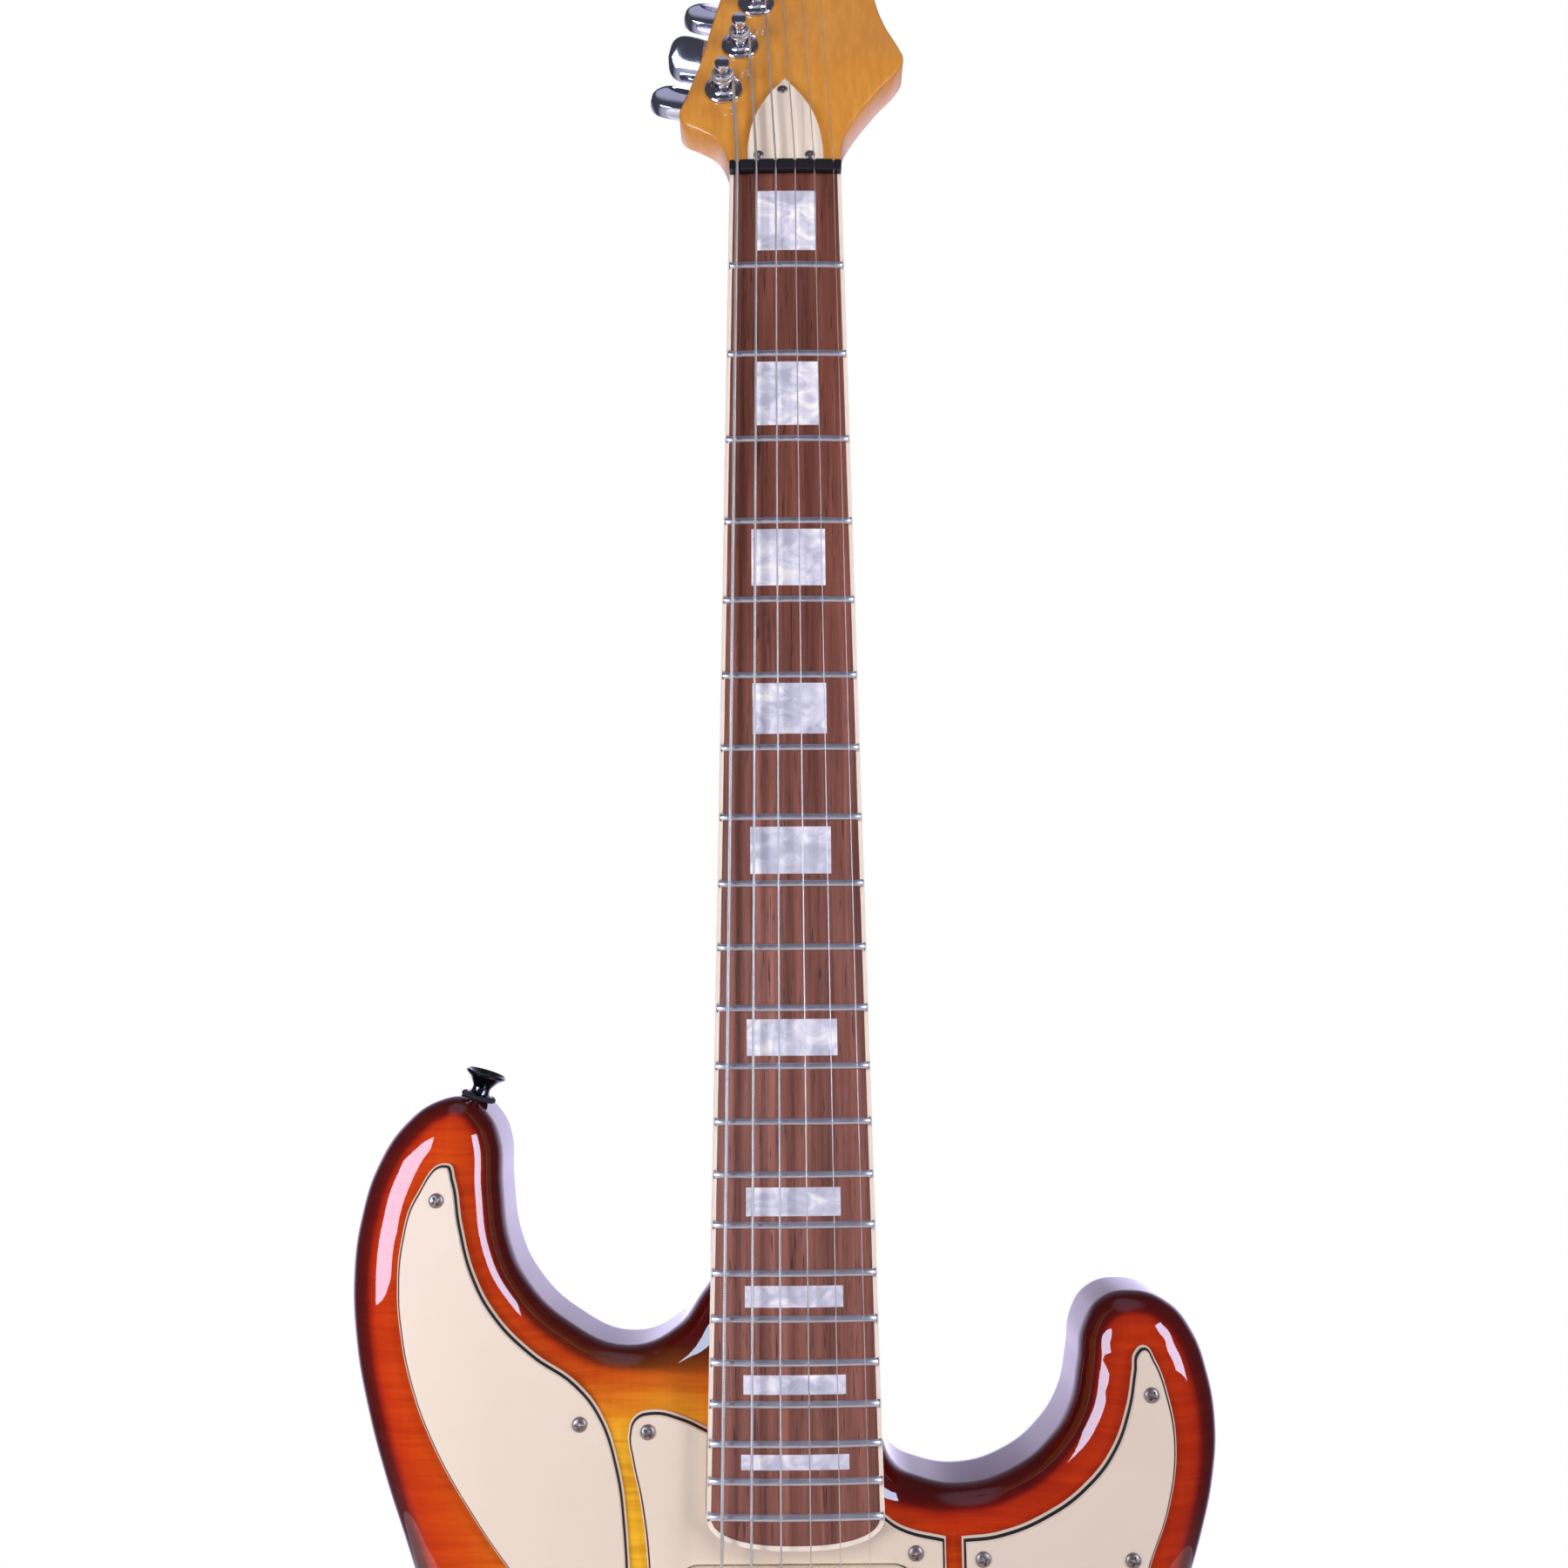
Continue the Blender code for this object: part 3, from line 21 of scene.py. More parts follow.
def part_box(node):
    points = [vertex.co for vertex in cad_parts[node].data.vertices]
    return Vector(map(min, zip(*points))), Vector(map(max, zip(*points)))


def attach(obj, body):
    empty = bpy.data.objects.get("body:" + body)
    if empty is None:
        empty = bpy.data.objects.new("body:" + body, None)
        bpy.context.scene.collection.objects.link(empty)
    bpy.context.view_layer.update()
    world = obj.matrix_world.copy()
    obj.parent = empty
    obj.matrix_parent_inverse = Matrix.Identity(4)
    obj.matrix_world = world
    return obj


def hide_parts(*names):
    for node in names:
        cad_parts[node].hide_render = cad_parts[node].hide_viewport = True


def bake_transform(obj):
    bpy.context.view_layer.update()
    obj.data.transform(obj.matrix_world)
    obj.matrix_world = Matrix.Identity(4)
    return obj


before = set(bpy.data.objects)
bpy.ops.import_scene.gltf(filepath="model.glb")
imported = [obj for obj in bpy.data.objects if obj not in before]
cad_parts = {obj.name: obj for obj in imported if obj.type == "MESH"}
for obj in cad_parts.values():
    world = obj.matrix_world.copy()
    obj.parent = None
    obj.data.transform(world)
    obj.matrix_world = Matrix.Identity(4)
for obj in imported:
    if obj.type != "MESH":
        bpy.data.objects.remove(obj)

LOG = logging.getLogger("guitar")
MM = 0.001
TINY = 1e-6

Pair = tuple[float, float]
Knot = tuple[float, float, bool]
Corner = tuple[float, float, float]
Colour = tuple[float, float, float, float]
Piece = bpy.types.Object


class Trim(Enum):
    """How one shape works on another."""

    AWAY = "DIFFERENCE"
    JOINED = "UNION"
    SHARED = "INTERSECT"


class Slot(Enum):
    """The record's material slots."""

    SUNBURST = "sunburst"
    MAPLE = "maple"
    ROSEWOOD = "rosewood"
    CREAM = "cream_plastic"
    BLACK = "black_plastic"
    CHROME = "chrome"
    STEEL = "steel"


class Rider(Enum):
    """The bodies that pieces ride on, apart from the numbered posts and buttons."""

    GUITAR = "guitar"
    VIBRATO = "vibrato"
    ARM = "arm"
    VOLUME = "volume"
    TONE = "tone"
    SELECTOR = "selector"


def point(across: float, along: float, front: float) -> Vector:
    """A world point from its place across, along the neck, and in front of the middle plane."""
    return Vector((across, -front, along))


def smooth(points: Sequence[Pair]) -> list[Knot]:
    """Outline points in millimetres that a curve runs through, in metres."""
    return [(across * MM, along * MM, False) for across, along in points]


def sharp(points: Sequence[Pair]) -> list[Knot]:
    """Outline points in metres where the line turns a corner."""
    return [(across, along, True) for across, along in points]


def above(level: float, knots: Sequence[Knot]) -> list[Knot]:
    """Outline points moved up to a level."""
    return [(across, along + level, corner) for across, along, corner in knots]


def scaled(shape: Sequence[Pair], wide: float, tall: float) -> list[Pair]:
    """Profile points in metres, from shares of a width and a height."""
    return [(across * wide, along * tall) for across, along in shape]


FACE = Matrix.Rotation(math.pi / 2, 4, "X")
SIDE = Matrix(((0, 0, 1, 0), (0, -1, 0, 0), (1, 0, 0, 0), (0, 0, 0, 1)))
UPRIGHT = Matrix.Identity(4)
ALONG_X = Matrix.Rotation(math.pi / 2, 4, "Y")


def axis_at(across: float, along: float, front: float) -> Matrix:
    """A frame at a point whose Z runs out of the guitar's front."""
    return Matrix.Translation(point(across, along, front)) @ FACE


@dataclass(frozen=True)
class Layout:
    """Sizes and places that several assemblies share."""

    clear: float = 0.0003
    overcut: float = 0.0010
    strings: int = 6
    scale: float = 0.648
    string_pitch: float = 0.01025
    string_bend: float = 0.0015
    nut_edge: float = 0.0029
    gauges: tuple[float, ...] = (0.00025, 0.00033, 0.00043, 0.00066, 0.00091, 0.00117)
    nut_action: float = 0.0006
    saddle_action: float = 0.0030
    frets: int = 22
    nut_width: float = 0.0414
    last_fret_width: float = 0.0575
    board_overhang: float = 0.0101
    board_bow: float = 0.0103
    board_end_power: float = 2.5
    board_thick: float = 0.0055
    board_rise: float = 0.0095
    crown_radius: float = 0.305
    crown_steps: int = 900
    fret_high: float = 0.0011
    nut_long: float = 0.0042
    nut_fall: float = 0.0002
    body_thick: float = 0.043
    body_foot: float = 0.0118
    tail: float = 0.150
    plate_thick: float = 0.0025
    heel_long: float = 0.074
    pocket_depth: float = 0.016
    head_tilt: float = math.radians(13.0)
    head_drop: float = 0.0020
    head_thick: float = 0.0125
    post_radius: float = 0.0029
    first_post: Pair = (-0.0234, 0.0432)
    post_step: Pair = (0.0062, 0.0228)
    pickup_wide: float = 0.078
    pickup_long: float = 0.034
    pickup_corner: float = 0.008
    pickup_deep: float = 0.0150
    pickup_gap: float = 0.0005
    pickup_top_gap: float = 0.0070
    bridge_pickup_gap: float = 0.0210
    bridge_float: float = 0.0025
    bridge_thick: float = 0.0030
    hole_behind: float = 0.0095
    volume_place: Pair = (0.092, 0.170)
    tone_place: Pair = (0.092, 0.132)
    selector_place: Pair = (0.069, 0.172)
    jack_place: Pair = (0.162, 0.108)

    # Planes ahead of the body's middle plane, and heights of the saddles and of the nut's lower face.
    body_front: float = body_thick / 2
    board_top: float = body_front + board_rise
    board_under: float = board_top - board_thick
    plate_under: float = body_front + clear
    plate_top: float = plate_under + plate_thick
    bridge_under: float = body_front + bridge_float
    bridge_top: float = bridge_under + bridge_thick
    bridge_z: float = body_foot + tail
    nut_z: float = bridge_z + scale

    @property
    def last_fret_z(self) -> float:
        """Height of the last fret."""
        return self.fret_z(self.frets)

    @property
    def board_end(self) -> float:
        """Lowest point of the fingerboard."""
        return self.last_fret_z - self.board_overhang

    @property
    def head(self) -> Matrix:
        """Frame of the headstock's face: X across, Y up the face, Z out of it."""
        start = Matrix.Translation((0, self.head_drop - self.board_top, self.nut_z))
        return start @ Matrix.Rotation(math.pi / 2 - self.head_tilt, 4, "X")

    @property
    def pickup_places(self) -> tuple[float, float, float]:
        """Heights of the pickups' middles.

        Returns:
            The neck, middle and bridge pickup's height.
        """
        first = self.board_end - self.pickup_top_gap - self.pickup_long / 2
        last = self.bridge_z + self.bridge_pickup_gap + self.pickup_long / 2
        return first, (first + last) / 2, last

    def fret_z(self, number: int) -> float:
        """Height of a fret, each one a semitone from the last."""
        return self.nut_z - self.scale * (1 - 2 ** (-number / 12))

    def crown_drop(self, across: float) -> float:
        """How far the crowned board falls away from its middle line."""
        return self.crown_radius - math.sqrt(self.crown_radius**2 - across**2)

    def board_half(self, along: float) -> float:
        """Half the board's width at a height."""
        share = (self.nut_z - along) / (self.nut_z - self.last_fret_z)
        return (self.nut_width + (self.last_fret_width - self.nut_width) * share) / 2

    def board_side(self, inset: float, top: float, steps: int = 16) -> list[Pair]:
        """One side of the board.

        Args:
            inset: how far the line is drawn in from the board's edge.
            top: height where the side starts.
            steps: points along the rounded end.

        Returns:
            Points from the top down to the middle of the rounded end.
        """
        shoulder = self.board_end + self.board_bow
        half, bow = self.board_half(shoulder) - inset, self.board_bow - inset
        side = [(self.board_half(top) - inset, top)]
        for step in range(steps + 1):
            angle = math.pi / 2 * step / steps
            across = half * max(math.cos(angle), 0.0) ** (2 / self.board_end_power)
            side.append((across, shoulder - bow * math.sin(angle) ** (2 / self.board_end_power)))
        return side

    def board_outline(self, inset: float, top: float) -> list[Knot]:
        """The tapered board with its rounded end, drawn in by an inset."""
        side = self.board_side(inset, top)
        return sharp(side + [(-across, along) for across, along in reversed(side[:-1])])

    def string_place(self, number: int) -> Pair:
        """Where a string lies across.

        Args:
            number: the string's number, from 1 for the thinnest.

        Returns:
            Its place at the saddle and at the nut.
        """
        lane = (self.strings - 1) / 2 - (number - 1)
        nut_pitch = (self.nut_width - 2 * self.nut_edge) / (self.strings - 1)
        return lane * self.string_pitch, lane * nut_pitch

    def string_height(self, across: float, action: float, gauge: float) -> float:
        """Height of a string's middle over the crowned fret line."""
        return self.board_top + self.fret_high + action + gauge / 2 - self.crown_drop(across)

    def post_place(self, number: int) -> Pair:
        """Where a string's post stands on the headstock's face."""
        step = self.strings - number
        return self.first_post[0] + step * self.post_step[0], self.first_post[1] + step * self.post_step[1]

    def tuner(self, number: int) -> Matrix:
        """Frame of one tuner: Z along its post from the face, X out along its button shaft."""
        turn = math.atan2(self.post_step[1], self.post_step[0]) + math.pi / 2
        return self.head @ Matrix.Translation((*self.post_place(number), 0)) @ Matrix.Rotation(turn, 4, "Z")

    def pickup_outline(self, middle: float, spread: float, steps: int = 8) -> list[Knot]:
        """A pickup's rectangle with rounded corners.

        Args:
            middle: height of the pickup's middle.
            spread: how far the outline grows.
            steps: points round each corner.

        Returns:
            The outline's corner points.
        """
        half, reach = self.pickup_wide / 2 + spread, self.pickup_long / 2 + spread
        corner, outline = self.pickup_corner, []
        for quarter, (side, end) in enumerate(((1, 1), (-1, 1), (-1, -1), (1, -1))):
            for step in range(steps + 1):
                angle = math.pi / 2 * (quarter + step / steps)
                across = side * (half - corner) + corner * math.cos(angle)
                outline.append((across, middle + end * (reach - corner) + corner * math.sin(angle)))
        return sharp(outline)


PLAN = Layout()


class Bench:
    """Modelling moves, made with Blender's operators as by hand."""

    @staticmethod
    def pick(*pieces: Piece) -> None:
        """Select only these pieces.

        Args:
            pieces: what to select; the first becomes active.
        """
        bpy.ops.object.select_all(action="DESELECT")
        for piece in pieces:
            piece.select_set(True)
        bpy.context.view_layer.objects.active = pieces[0]

    @staticmethod
    def discard(*pieces: Piece) -> None:
        """Remove pieces that are used up."""
        for piece in pieces:
            bpy.data.objects.remove(piece)

    @staticmethod
    def start(add: Callable[..., Any], name: str, **options: Any) -> Piece:
        """A new primitive, with nothing else selected.

        Args:
            add: the operator that adds it.
            name: the piece's name.
            options: the operator's options.

        Returns:
            The primitive, still to be shaped.
        """
        bpy.ops.object.select_all(action="DESELECT")
        add(**options)
        piece = bpy.context.object
        piece.name = name
        return piece

    @staticmethod
    @contextmanager
    def editing(piece: Piece) -> Iterator[None]:
        """Edit mode, with all of a piece selected.

        Args:
            piece: the piece to edit.
        """
        Bench.pick(piece)
        bpy.context.tool_settings.mesh_select_mode = (True, False, False)
        bpy.ops.object.mode_set(mode="EDIT")
        bpy.ops.mesh.select_all(action="SELECT")
        yield
        bpy.ops.object.mode_set(mode="OBJECT")

    @staticmethod
    @contextmanager
    def faces(piece: Piece, test: Callable[[bpy.types.MeshPolygon], bool]) -> Iterator[None]:
        """Edit mode, with some of a piece's faces selected.

        Args:
            piece: the piece to edit.
            test: tells which faces are selected.
        """
        Bench.pick(piece)
        mesh = piece.data
        for item in (*mesh.vertices, *mesh.edges):
            item.select = False
        for face in mesh.polygons:
            face.select = test(face)
        bpy.context.tool_settings.mesh_select_mode = (False, False, True)
        bpy.ops.object.mode_set(mode="EDIT")
        yield
        bpy.ops.object.mode_set(mode="OBJECT")

    @staticmethod
    def settle(piece: Piece) -> Piece:
        """Put a piece's place into its mesh, weld it and turn its faces outwards.

        Args:
            piece: a piece that was just shaped or moved.

        Returns:
            The same piece.
        """
        Bench.pick(piece)
        bpy.ops.object.transform_apply(location=True, rotation=True, scale=True)
        with Bench.editing(piece):
            bpy.ops.mesh.remove_doubles(threshold=TINY)
            bpy.ops.mesh.normals_make_consistent(inside=False)
        return piece

    @staticmethod
    def outline(
        name: str, knots: Sequence[Knot], low: float, high: float, place: Matrix,
        rounding: float = 0.0, segments: int = 4, finesse: int = 8,
    ) -> Piece:
        """A flat outline with thickness.

        Args:
            name: the piece's name.
            knots: outline points with a flag for corners.
            low: where the thickness starts.
            high: where the thickness ends.
            place: frame that the outline is drawn in.
            rounding: radius of the rounded rims.
            segments: steps round a rim.
            finesse: steps between two points of a curve.

        Returns:
            The mesh, with its place in its vertices.
        """
        piece = Bench.start(bpy.ops.curve.primitive_bezier_circle_add, name)
        curve = piece.data
        curve.dimensions, curve.fill_mode = "2D", "BOTH"
        curve.resolution_u = finesse
        curve.extrude = (high - low) / 2 - rounding
        curve.bevel_depth, curve.bevel_resolution, curve.offset = rounding, segments - 1, -rounding
        curve.splines.clear()
        if all(corner for _, _, corner in knots):
            spline = curve.splines.new("POLY")
            spline.points.add(len(knots) - 1)
            for spot, (across, along, _) in zip(spline.points, knots):
                spot.co = (across, along, 0, 1)
        else:
            spline = curve.splines.new("BEZIER")
            spline.bezier_points.add(len(knots) - 1)
            for spot, (across, along, corner) in zip(spline.bezier_points, knots):
                spot.co = (across, along, 0)
                spot.handle_left_type = spot.handle_right_type = "VECTOR" if corner else "AUTO"
        spline.use_cyclic_u = True
        bpy.ops.object.convert(target="MESH")
        piece.matrix_world = place @ Matrix.Translation((0, 0, (low + high) / 2))
        return Bench.settle(piece)

    @staticmethod
    def lathe(name: str, profile: Sequence[Pair], place: Matrix, steps: int = 32) -> Piece:
        """A profile turned about Z.

        Args:
            name: the piece's name.
            profile: radius and height of each point; a ring unless it starts and ends on the axis.
            place: frame whose Z is the axis.
            steps: sides of the turned shape.

        Returns:
            The closed mesh, with its place in its vertices.
        """
        count = len(profile)
        piece = Bench.start(bpy.ops.mesh.primitive_circle_add, name, vertices=count, fill_type="NOTHING")
        for spot, (radius, height) in zip(piece.data.vertices, profile):
            spot.co = (radius, 0, height)
        solid = profile[0][0] == 0 and profile[-1][0] == 0
        ends = {0, count - 1}
        for edge in piece.data.edges:
            edge.select = solid and set(edge.vertices) == ends
        for spot in piece.data.vertices:
            spot.select = solid and spot.index in ends
        bpy.context.tool_settings.mesh_select_mode = (False, True, False)
        bpy.ops.object.mode_set(mode="EDIT")
        if solid:
            bpy.ops.mesh.delete(type="EDGE")
        bpy.ops.mesh.select_all(action="SELECT")
        bpy.ops.mesh.spin(steps=steps, angle=2 * math.pi, center=(0, 0, 0), axis=(0, 0, 1))
        bpy.ops.object.mode_set(mode="OBJECT")
        piece.matrix_world = place
        return Bench.settle(piece)

    @staticmethod
    def rod(name: str, radius: float, ends: Pair, place: Matrix, steps: int = 24) -> Piece:
        """A plain round bar along a frame's Z, from one height to another."""
        low, high = ends
        return Bench.lathe(name, [(0, high), (radius, high), (radius, low), (0, low)], place, steps)

    @staticmethod
    def crown(radius: float) -> Piece:
        """A long round bar about the axis of the fingerboard's crown."""
        reach = PLAN.nut_z - PLAN.board_end
        middle = point(0, (PLAN.nut_z + PLAN.board_end) / 2, PLAN.board_top - PLAN.crown_radius)
        return Bench.rod("crown", radius, (-reach, reach), Matrix.Translation(middle), PLAN.crown_steps)

    @staticmethod
    def wire(name: str, points: Sequence[Vector], radius: float, sides: int = 2) -> Piece:
        """A round wire through a list of points.

        Args:
            name: the piece's name.
            points: the wire's middle line.
            radius: half its thickness.
            sides: how finely it is rounded.

        Returns:
            The wire with closed ends.
        """
        piece = Bench.start(bpy.ops.curve.primitive_nurbs_path_add, name)
        curve = piece.data
        curve.dimensions = "3D"
        curve.splines.clear()
        spline = curve.splines.new("POLY")
        spline.points.add(len(points) - 1)
        for spot, at in zip(spline.points, points):
            spot.co = (*at, 1)
        curve.bevel_depth, curve.bevel_resolution, curve.use_fill_caps = radius, sides, True
        bpy.ops.object.convert(target="MESH")
        return Bench.settle(piece)

    @staticmethod
    def coil(middle: Pair, radius: float, ends: Pair, turns: int, sides: int = 12) -> list[Vector]:
        """The line of a coil spring that lies along the neck.

        Args:
            middle: where its axis lies across and to the front.
            radius: how far the line runs from the axis.
            ends: heights where it starts and ends.
            turns: how often it goes round.
            sides: points in one turn.

        Returns:
            Points from the lower end to the upper one.
        """
        (across, front), (low, high) = middle, ends
        route = []
        for knot in range(turns * sides + 1):
            angle = 2 * math.pi * knot / sides
            along = low + (high - low) * knot / (turns * sides)
            route.append(point(across + radius * math.cos(angle), along, front + radius * math.sin(angle)))
        return route

    @staticmethod
    def block(name: str, low: Corner, high: Corner, bevel: float = 0.0, segments: int = 3) -> Piece:
        """A block between two corners.

        Args:
            name: the piece's name.
            low: its lower corner, across, along and to the front.
            high: its upper corner.
            bevel: width of the bevel on its edges.
            segments: steps round a bevel.

        Returns:
            The block.
        """
        first, last = point(*low), point(*high)
        size = [abs(b - a) for a, b in zip(first, last)]
        middle = (first + last) / 2
        piece = Bench.start(bpy.ops.mesh.primitive_cube_add, name, size=1, location=middle, scale=size)
        Bench.settle(piece)
        if bevel:
            with Bench.editing(piece):
                bpy.ops.mesh.bevel(offset=bevel, segments=segments, affect="EDGES")
        return piece

    @staticmethod
    def loft(name: str, rings: Sequence[Sequence[Vector]]) -> Piece:
        """A closed skin over rings, with flat ends.

        Args:
            name: the piece's name.
            rings: rings of equal count, from one end to the other.

        Returns:
            The closed mesh.
        """
        add, around, rows = bpy.ops.mesh.primitive_grid_add, len(rings[0]), len(rings)
        piece = Bench.start(add, name, x_subdivisions=around, y_subdivisions=rows - 1)
        for index, spot in enumerate(piece.data.vertices):
            row, column = divmod(index, around + 1)
            spot.co = rings[row][column % around]
        Bench.settle(piece)
        with Bench.editing(piece):
            bpy.ops.mesh.fill_holes(sides=0)
            bpy.ops.mesh.select_all(action="SELECT")
            bpy.ops.mesh.normals_make_consistent(inside=False)
        return piece

    @staticmethod
    def modify(piece: Piece, kind: str, **settings: Any) -> Piece:
        """Apply a modifier.

        Args:
            piece: the piece to change.
            kind: the modifier's type.
            settings: the modifier's settings.

        Returns:
            The same piece.
        """
        step = piece.modifiers.new("step", kind)
        for name, value in settings.items():
            setattr(step, name, value)
        Bench.pick(piece)
        bpy.ops.object.modifier_apply(modifier=step.name)
        return piece

    @staticmethod
    def trim(piece: Piece, other: Piece, how: Trim = Trim.AWAY) -> Piece:
        """Cut a shape away from a piece, join it on, or keep what both share.

        Args:
            piece: the piece to change.
            other: the shape, which is used up.
            how: which of the three.

        Returns:
            The same piece.
        """
        Bench.modify(piece, "BOOLEAN", operation=how.value, object=other, solver="EXACT")
        Bench.discard(other)
        return piece

    @staticmethod
    def copy(piece: Piece, name: str, place: Matrix) -> Piece:
        """A copy with its own mesh.

        Args:
            piece: the model.
            name: the copy's name.
            place: frame to set it in.

        Returns:
            The copy, with its place in its mesh.
        """
        Bench.pick(piece)
        bpy.ops.object.duplicate(linked=False)
        twin = bpy.context.object
        twin.name = name
        twin.matrix_world = place
        bpy.ops.object.transform_apply(location=True, rotation=True, scale=True)
        return twin

    @staticmethod
    def join(name: str, *pieces: Piece) -> Piece:
        """Several pieces as one.

        Args:
            name: the joined piece's name.
            pieces: what is joined.

        Returns:
            The first piece, with the others in it.
        """
        Bench.pick(*pieces)
        bpy.ops.object.join()
        pieces[0].name = name
        return pieces[0]

    @staticmethod
    def soften(piece: Piece, degrees: float) -> Piece:
        """Smooth shading.

        Args:
            piece: the piece to shade.
            degrees: sharper edges than this stay sharp.

        Returns:
            The same piece.
        """
        Bench.pick(piece)
        bpy.ops.object.shade_smooth_by_angle(angle=math.radians(degrees))
        return piece


class Signal:
    """A shader socket that takes part in arithmetic."""

    def __init__(self, graph: "Graph", socket: bpy.types.NodeSocket) -> None:
        """Wrap an output socket of a graph."""
        self.graph, self.socket = graph, socket

    def maths(self, operation: str, *values: "Signal | float") -> "Signal":
        """A Math node on some values."""
        return self.graph.node("ShaderNodeMath", {"operation": operation}, dict(enumerate(values)))

    def __add__(self, other: "Signal | float") -> "Signal":
        """This plus another."""
        return self.maths("ADD", self, other)

    def __radd__(self, other: float) -> "Signal":
        """A number plus this."""
        return self.maths("ADD", other, self)

    def __sub__(self, other: "Signal | float") -> "Signal":
        """This minus another."""
        return self.maths("SUBTRACT", self, other)

    def __rsub__(self, other: float) -> "Signal":
        """A number minus this."""
        return self.maths("SUBTRACT", other, self)

    def __mul__(self, other: "Signal | float") -> "Signal":
        """This times another."""
        return self.maths("MULTIPLY", self, other)

    def __rmul__(self, other: float) -> "Signal":
        """A number times this."""
        return self.maths("MULTIPLY", other, self)

    def __truediv__(self, other: "Signal | float") -> "Signal":
        """This over another."""
        return self.maths("DIVIDE", self, other)

    def sine(self) -> "Signal":
        """The sine of this."""
        return self.maths("SINE", self)


class Graph:
    """A node tree that is written as expressions."""

    def __init__(self, tree: bpy.types.NodeTree, shader: str = "Principled BSDF") -> None:
        """Take a tree and its main shader's name."""
        self.tree, self.shader = tree, tree.nodes[shader]

    def node(
        self, kind: str, settings: dict[str, Any] | None = None,
        sockets: dict[str | int, Any] | None = None, output: str | int = 0,
    ) -> Signal:
        """A new node.

        Args:
            kind: the node's type.
            settings: its own settings; "stops" fills a colour ramp.
            sockets: values or links of its inputs.
            output: which output to hand back.

        Returns:
            The output as a signal.
        """
        made = self.tree.nodes.new(kind)
        for name, value in (settings or {}).items():
            if name == "stops":
                stops = made.color_ramp.elements
                while len(stops) < len(value):
                    stops.new(1.0)
                for stop, (place, colour) in zip(stops, value):
                    stop.position, stop.color = place, colour
            else:
                setattr(made, name, value)
        for name, value in (sockets or {}).items():
            self.feed(made.inputs[name], value)
        return Signal(self, made.outputs[output])

    def feed(self, socket: bpy.types.NodeSocket, value: Any) -> None:
        """Link a signal to a socket, or set the socket's value.

        Args:
            socket: the input to feed.
            value: a signal, a number or a colour.
        """
        if isinstance(value, Signal):
            self.tree.links.new(value.socket, socket)
        else:
            socket.default_value = value

    def surface(self, **sockets: Any) -> None:
        """Feed the main shader; underscores in names stand for spaces."""
        for name, value in sockets.items():
            self.feed(self.shader.inputs[name.replace("_", " ")], value)

    def place(self, scale: Corner = (1, 1, 1), shift: Corner = (0, 0, 0)) -> Signal:
        """Object coordinates, stretched and shifted."""
        source = self.node("ShaderNodeTexCoord", output="Object")
        return self.node("ShaderNodeMapping", sockets={"Vector": source, "Scale": scale, "Location": shift})

    def axis(self, name: str) -> Signal:
        """One of the object coordinates X, Y and Z."""
        source = self.node("ShaderNodeTexCoord", output="Object")
        return self.node("ShaderNodeSeparateXYZ", sockets={0: source}, output=name)

    def noise(
        self, scale: Corner, detail: float = 2.0, warp: float = 0.0, shift: Corner = (0, 0, 0),
    ) -> Signal:
        """Soft noise with cells of one unit after stretching."""
        values = {"Vector": self.place(scale, shift), "Scale": 1.0, "Detail": detail, "Distortion": warp}
        return self.node("ShaderNodeTexNoise", sockets=values)

    def attribute(self, name: str) -> Signal:
        """A number stored on the mesh's points."""
        return self.node("ShaderNodeAttribute", {"attribute_name": name}, output="Fac")

    def band(self, value: Signal, low: float, high: float) -> Signal:
        """A smooth step from 0 at low to 1 at high."""
        settings = {"interpolation_type": "SMOOTHSTEP"}
        return self.node("ShaderNodeMapRange", settings, {0: value, 1: low, 2: high})

    def ramp(self, value: Signal, *stops: tuple[float, Colour]) -> Signal:
        """A colour ramp."""
        return self.node("ShaderNodeValToRGB", {"stops": stops}, {"Fac": value}, "Color")

    def mix(self, share: Signal | float, first: Any, second: Any, how: str = "MIX") -> Signal:
        """Two colours mixed."""
        settings = {"data_type": "RGBA", "blend_type": how}
        return self.node("ShaderNodeMix", settings, {0: share, 6: first, 7: second}, 2)

    def bump(self, height: Signal, strength: float, distance: float) -> Signal:
        """A normal bent by a height."""
        values = {"Strength": strength, "Distance": distance, "Height": height}
        return self.node("ShaderNodeBump", sockets=values)


def tone(red: float, green: float, blue: float) -> Colour:
    """An opaque linear colour."""
    return red, green, blue, 1.0


def shaded(colour: Colour, share: float) -> Colour:
    """A colour with a share of its light."""
    return tone(*[share * part for part in colour[:3]])


@dataclass(frozen=True)
class Finish:
    """A surface finish that becomes one material."""

    name: str

    def paint(self, graph: Graph) -> None:
        """Write the finish into a material's nodes."""
        raise NotImplementedError

    def material(self) -> bpy.types.Material:
        """The finish as a material.

        Returns:
            The material, which is made once.
        """
        made = bpy.data.materials.get(self.name)
        if made is None:
            made = bpy.data.materials.new(self.name)
            made.use_nodes = True
            self.paint(Graph(made.node_tree))
        return made


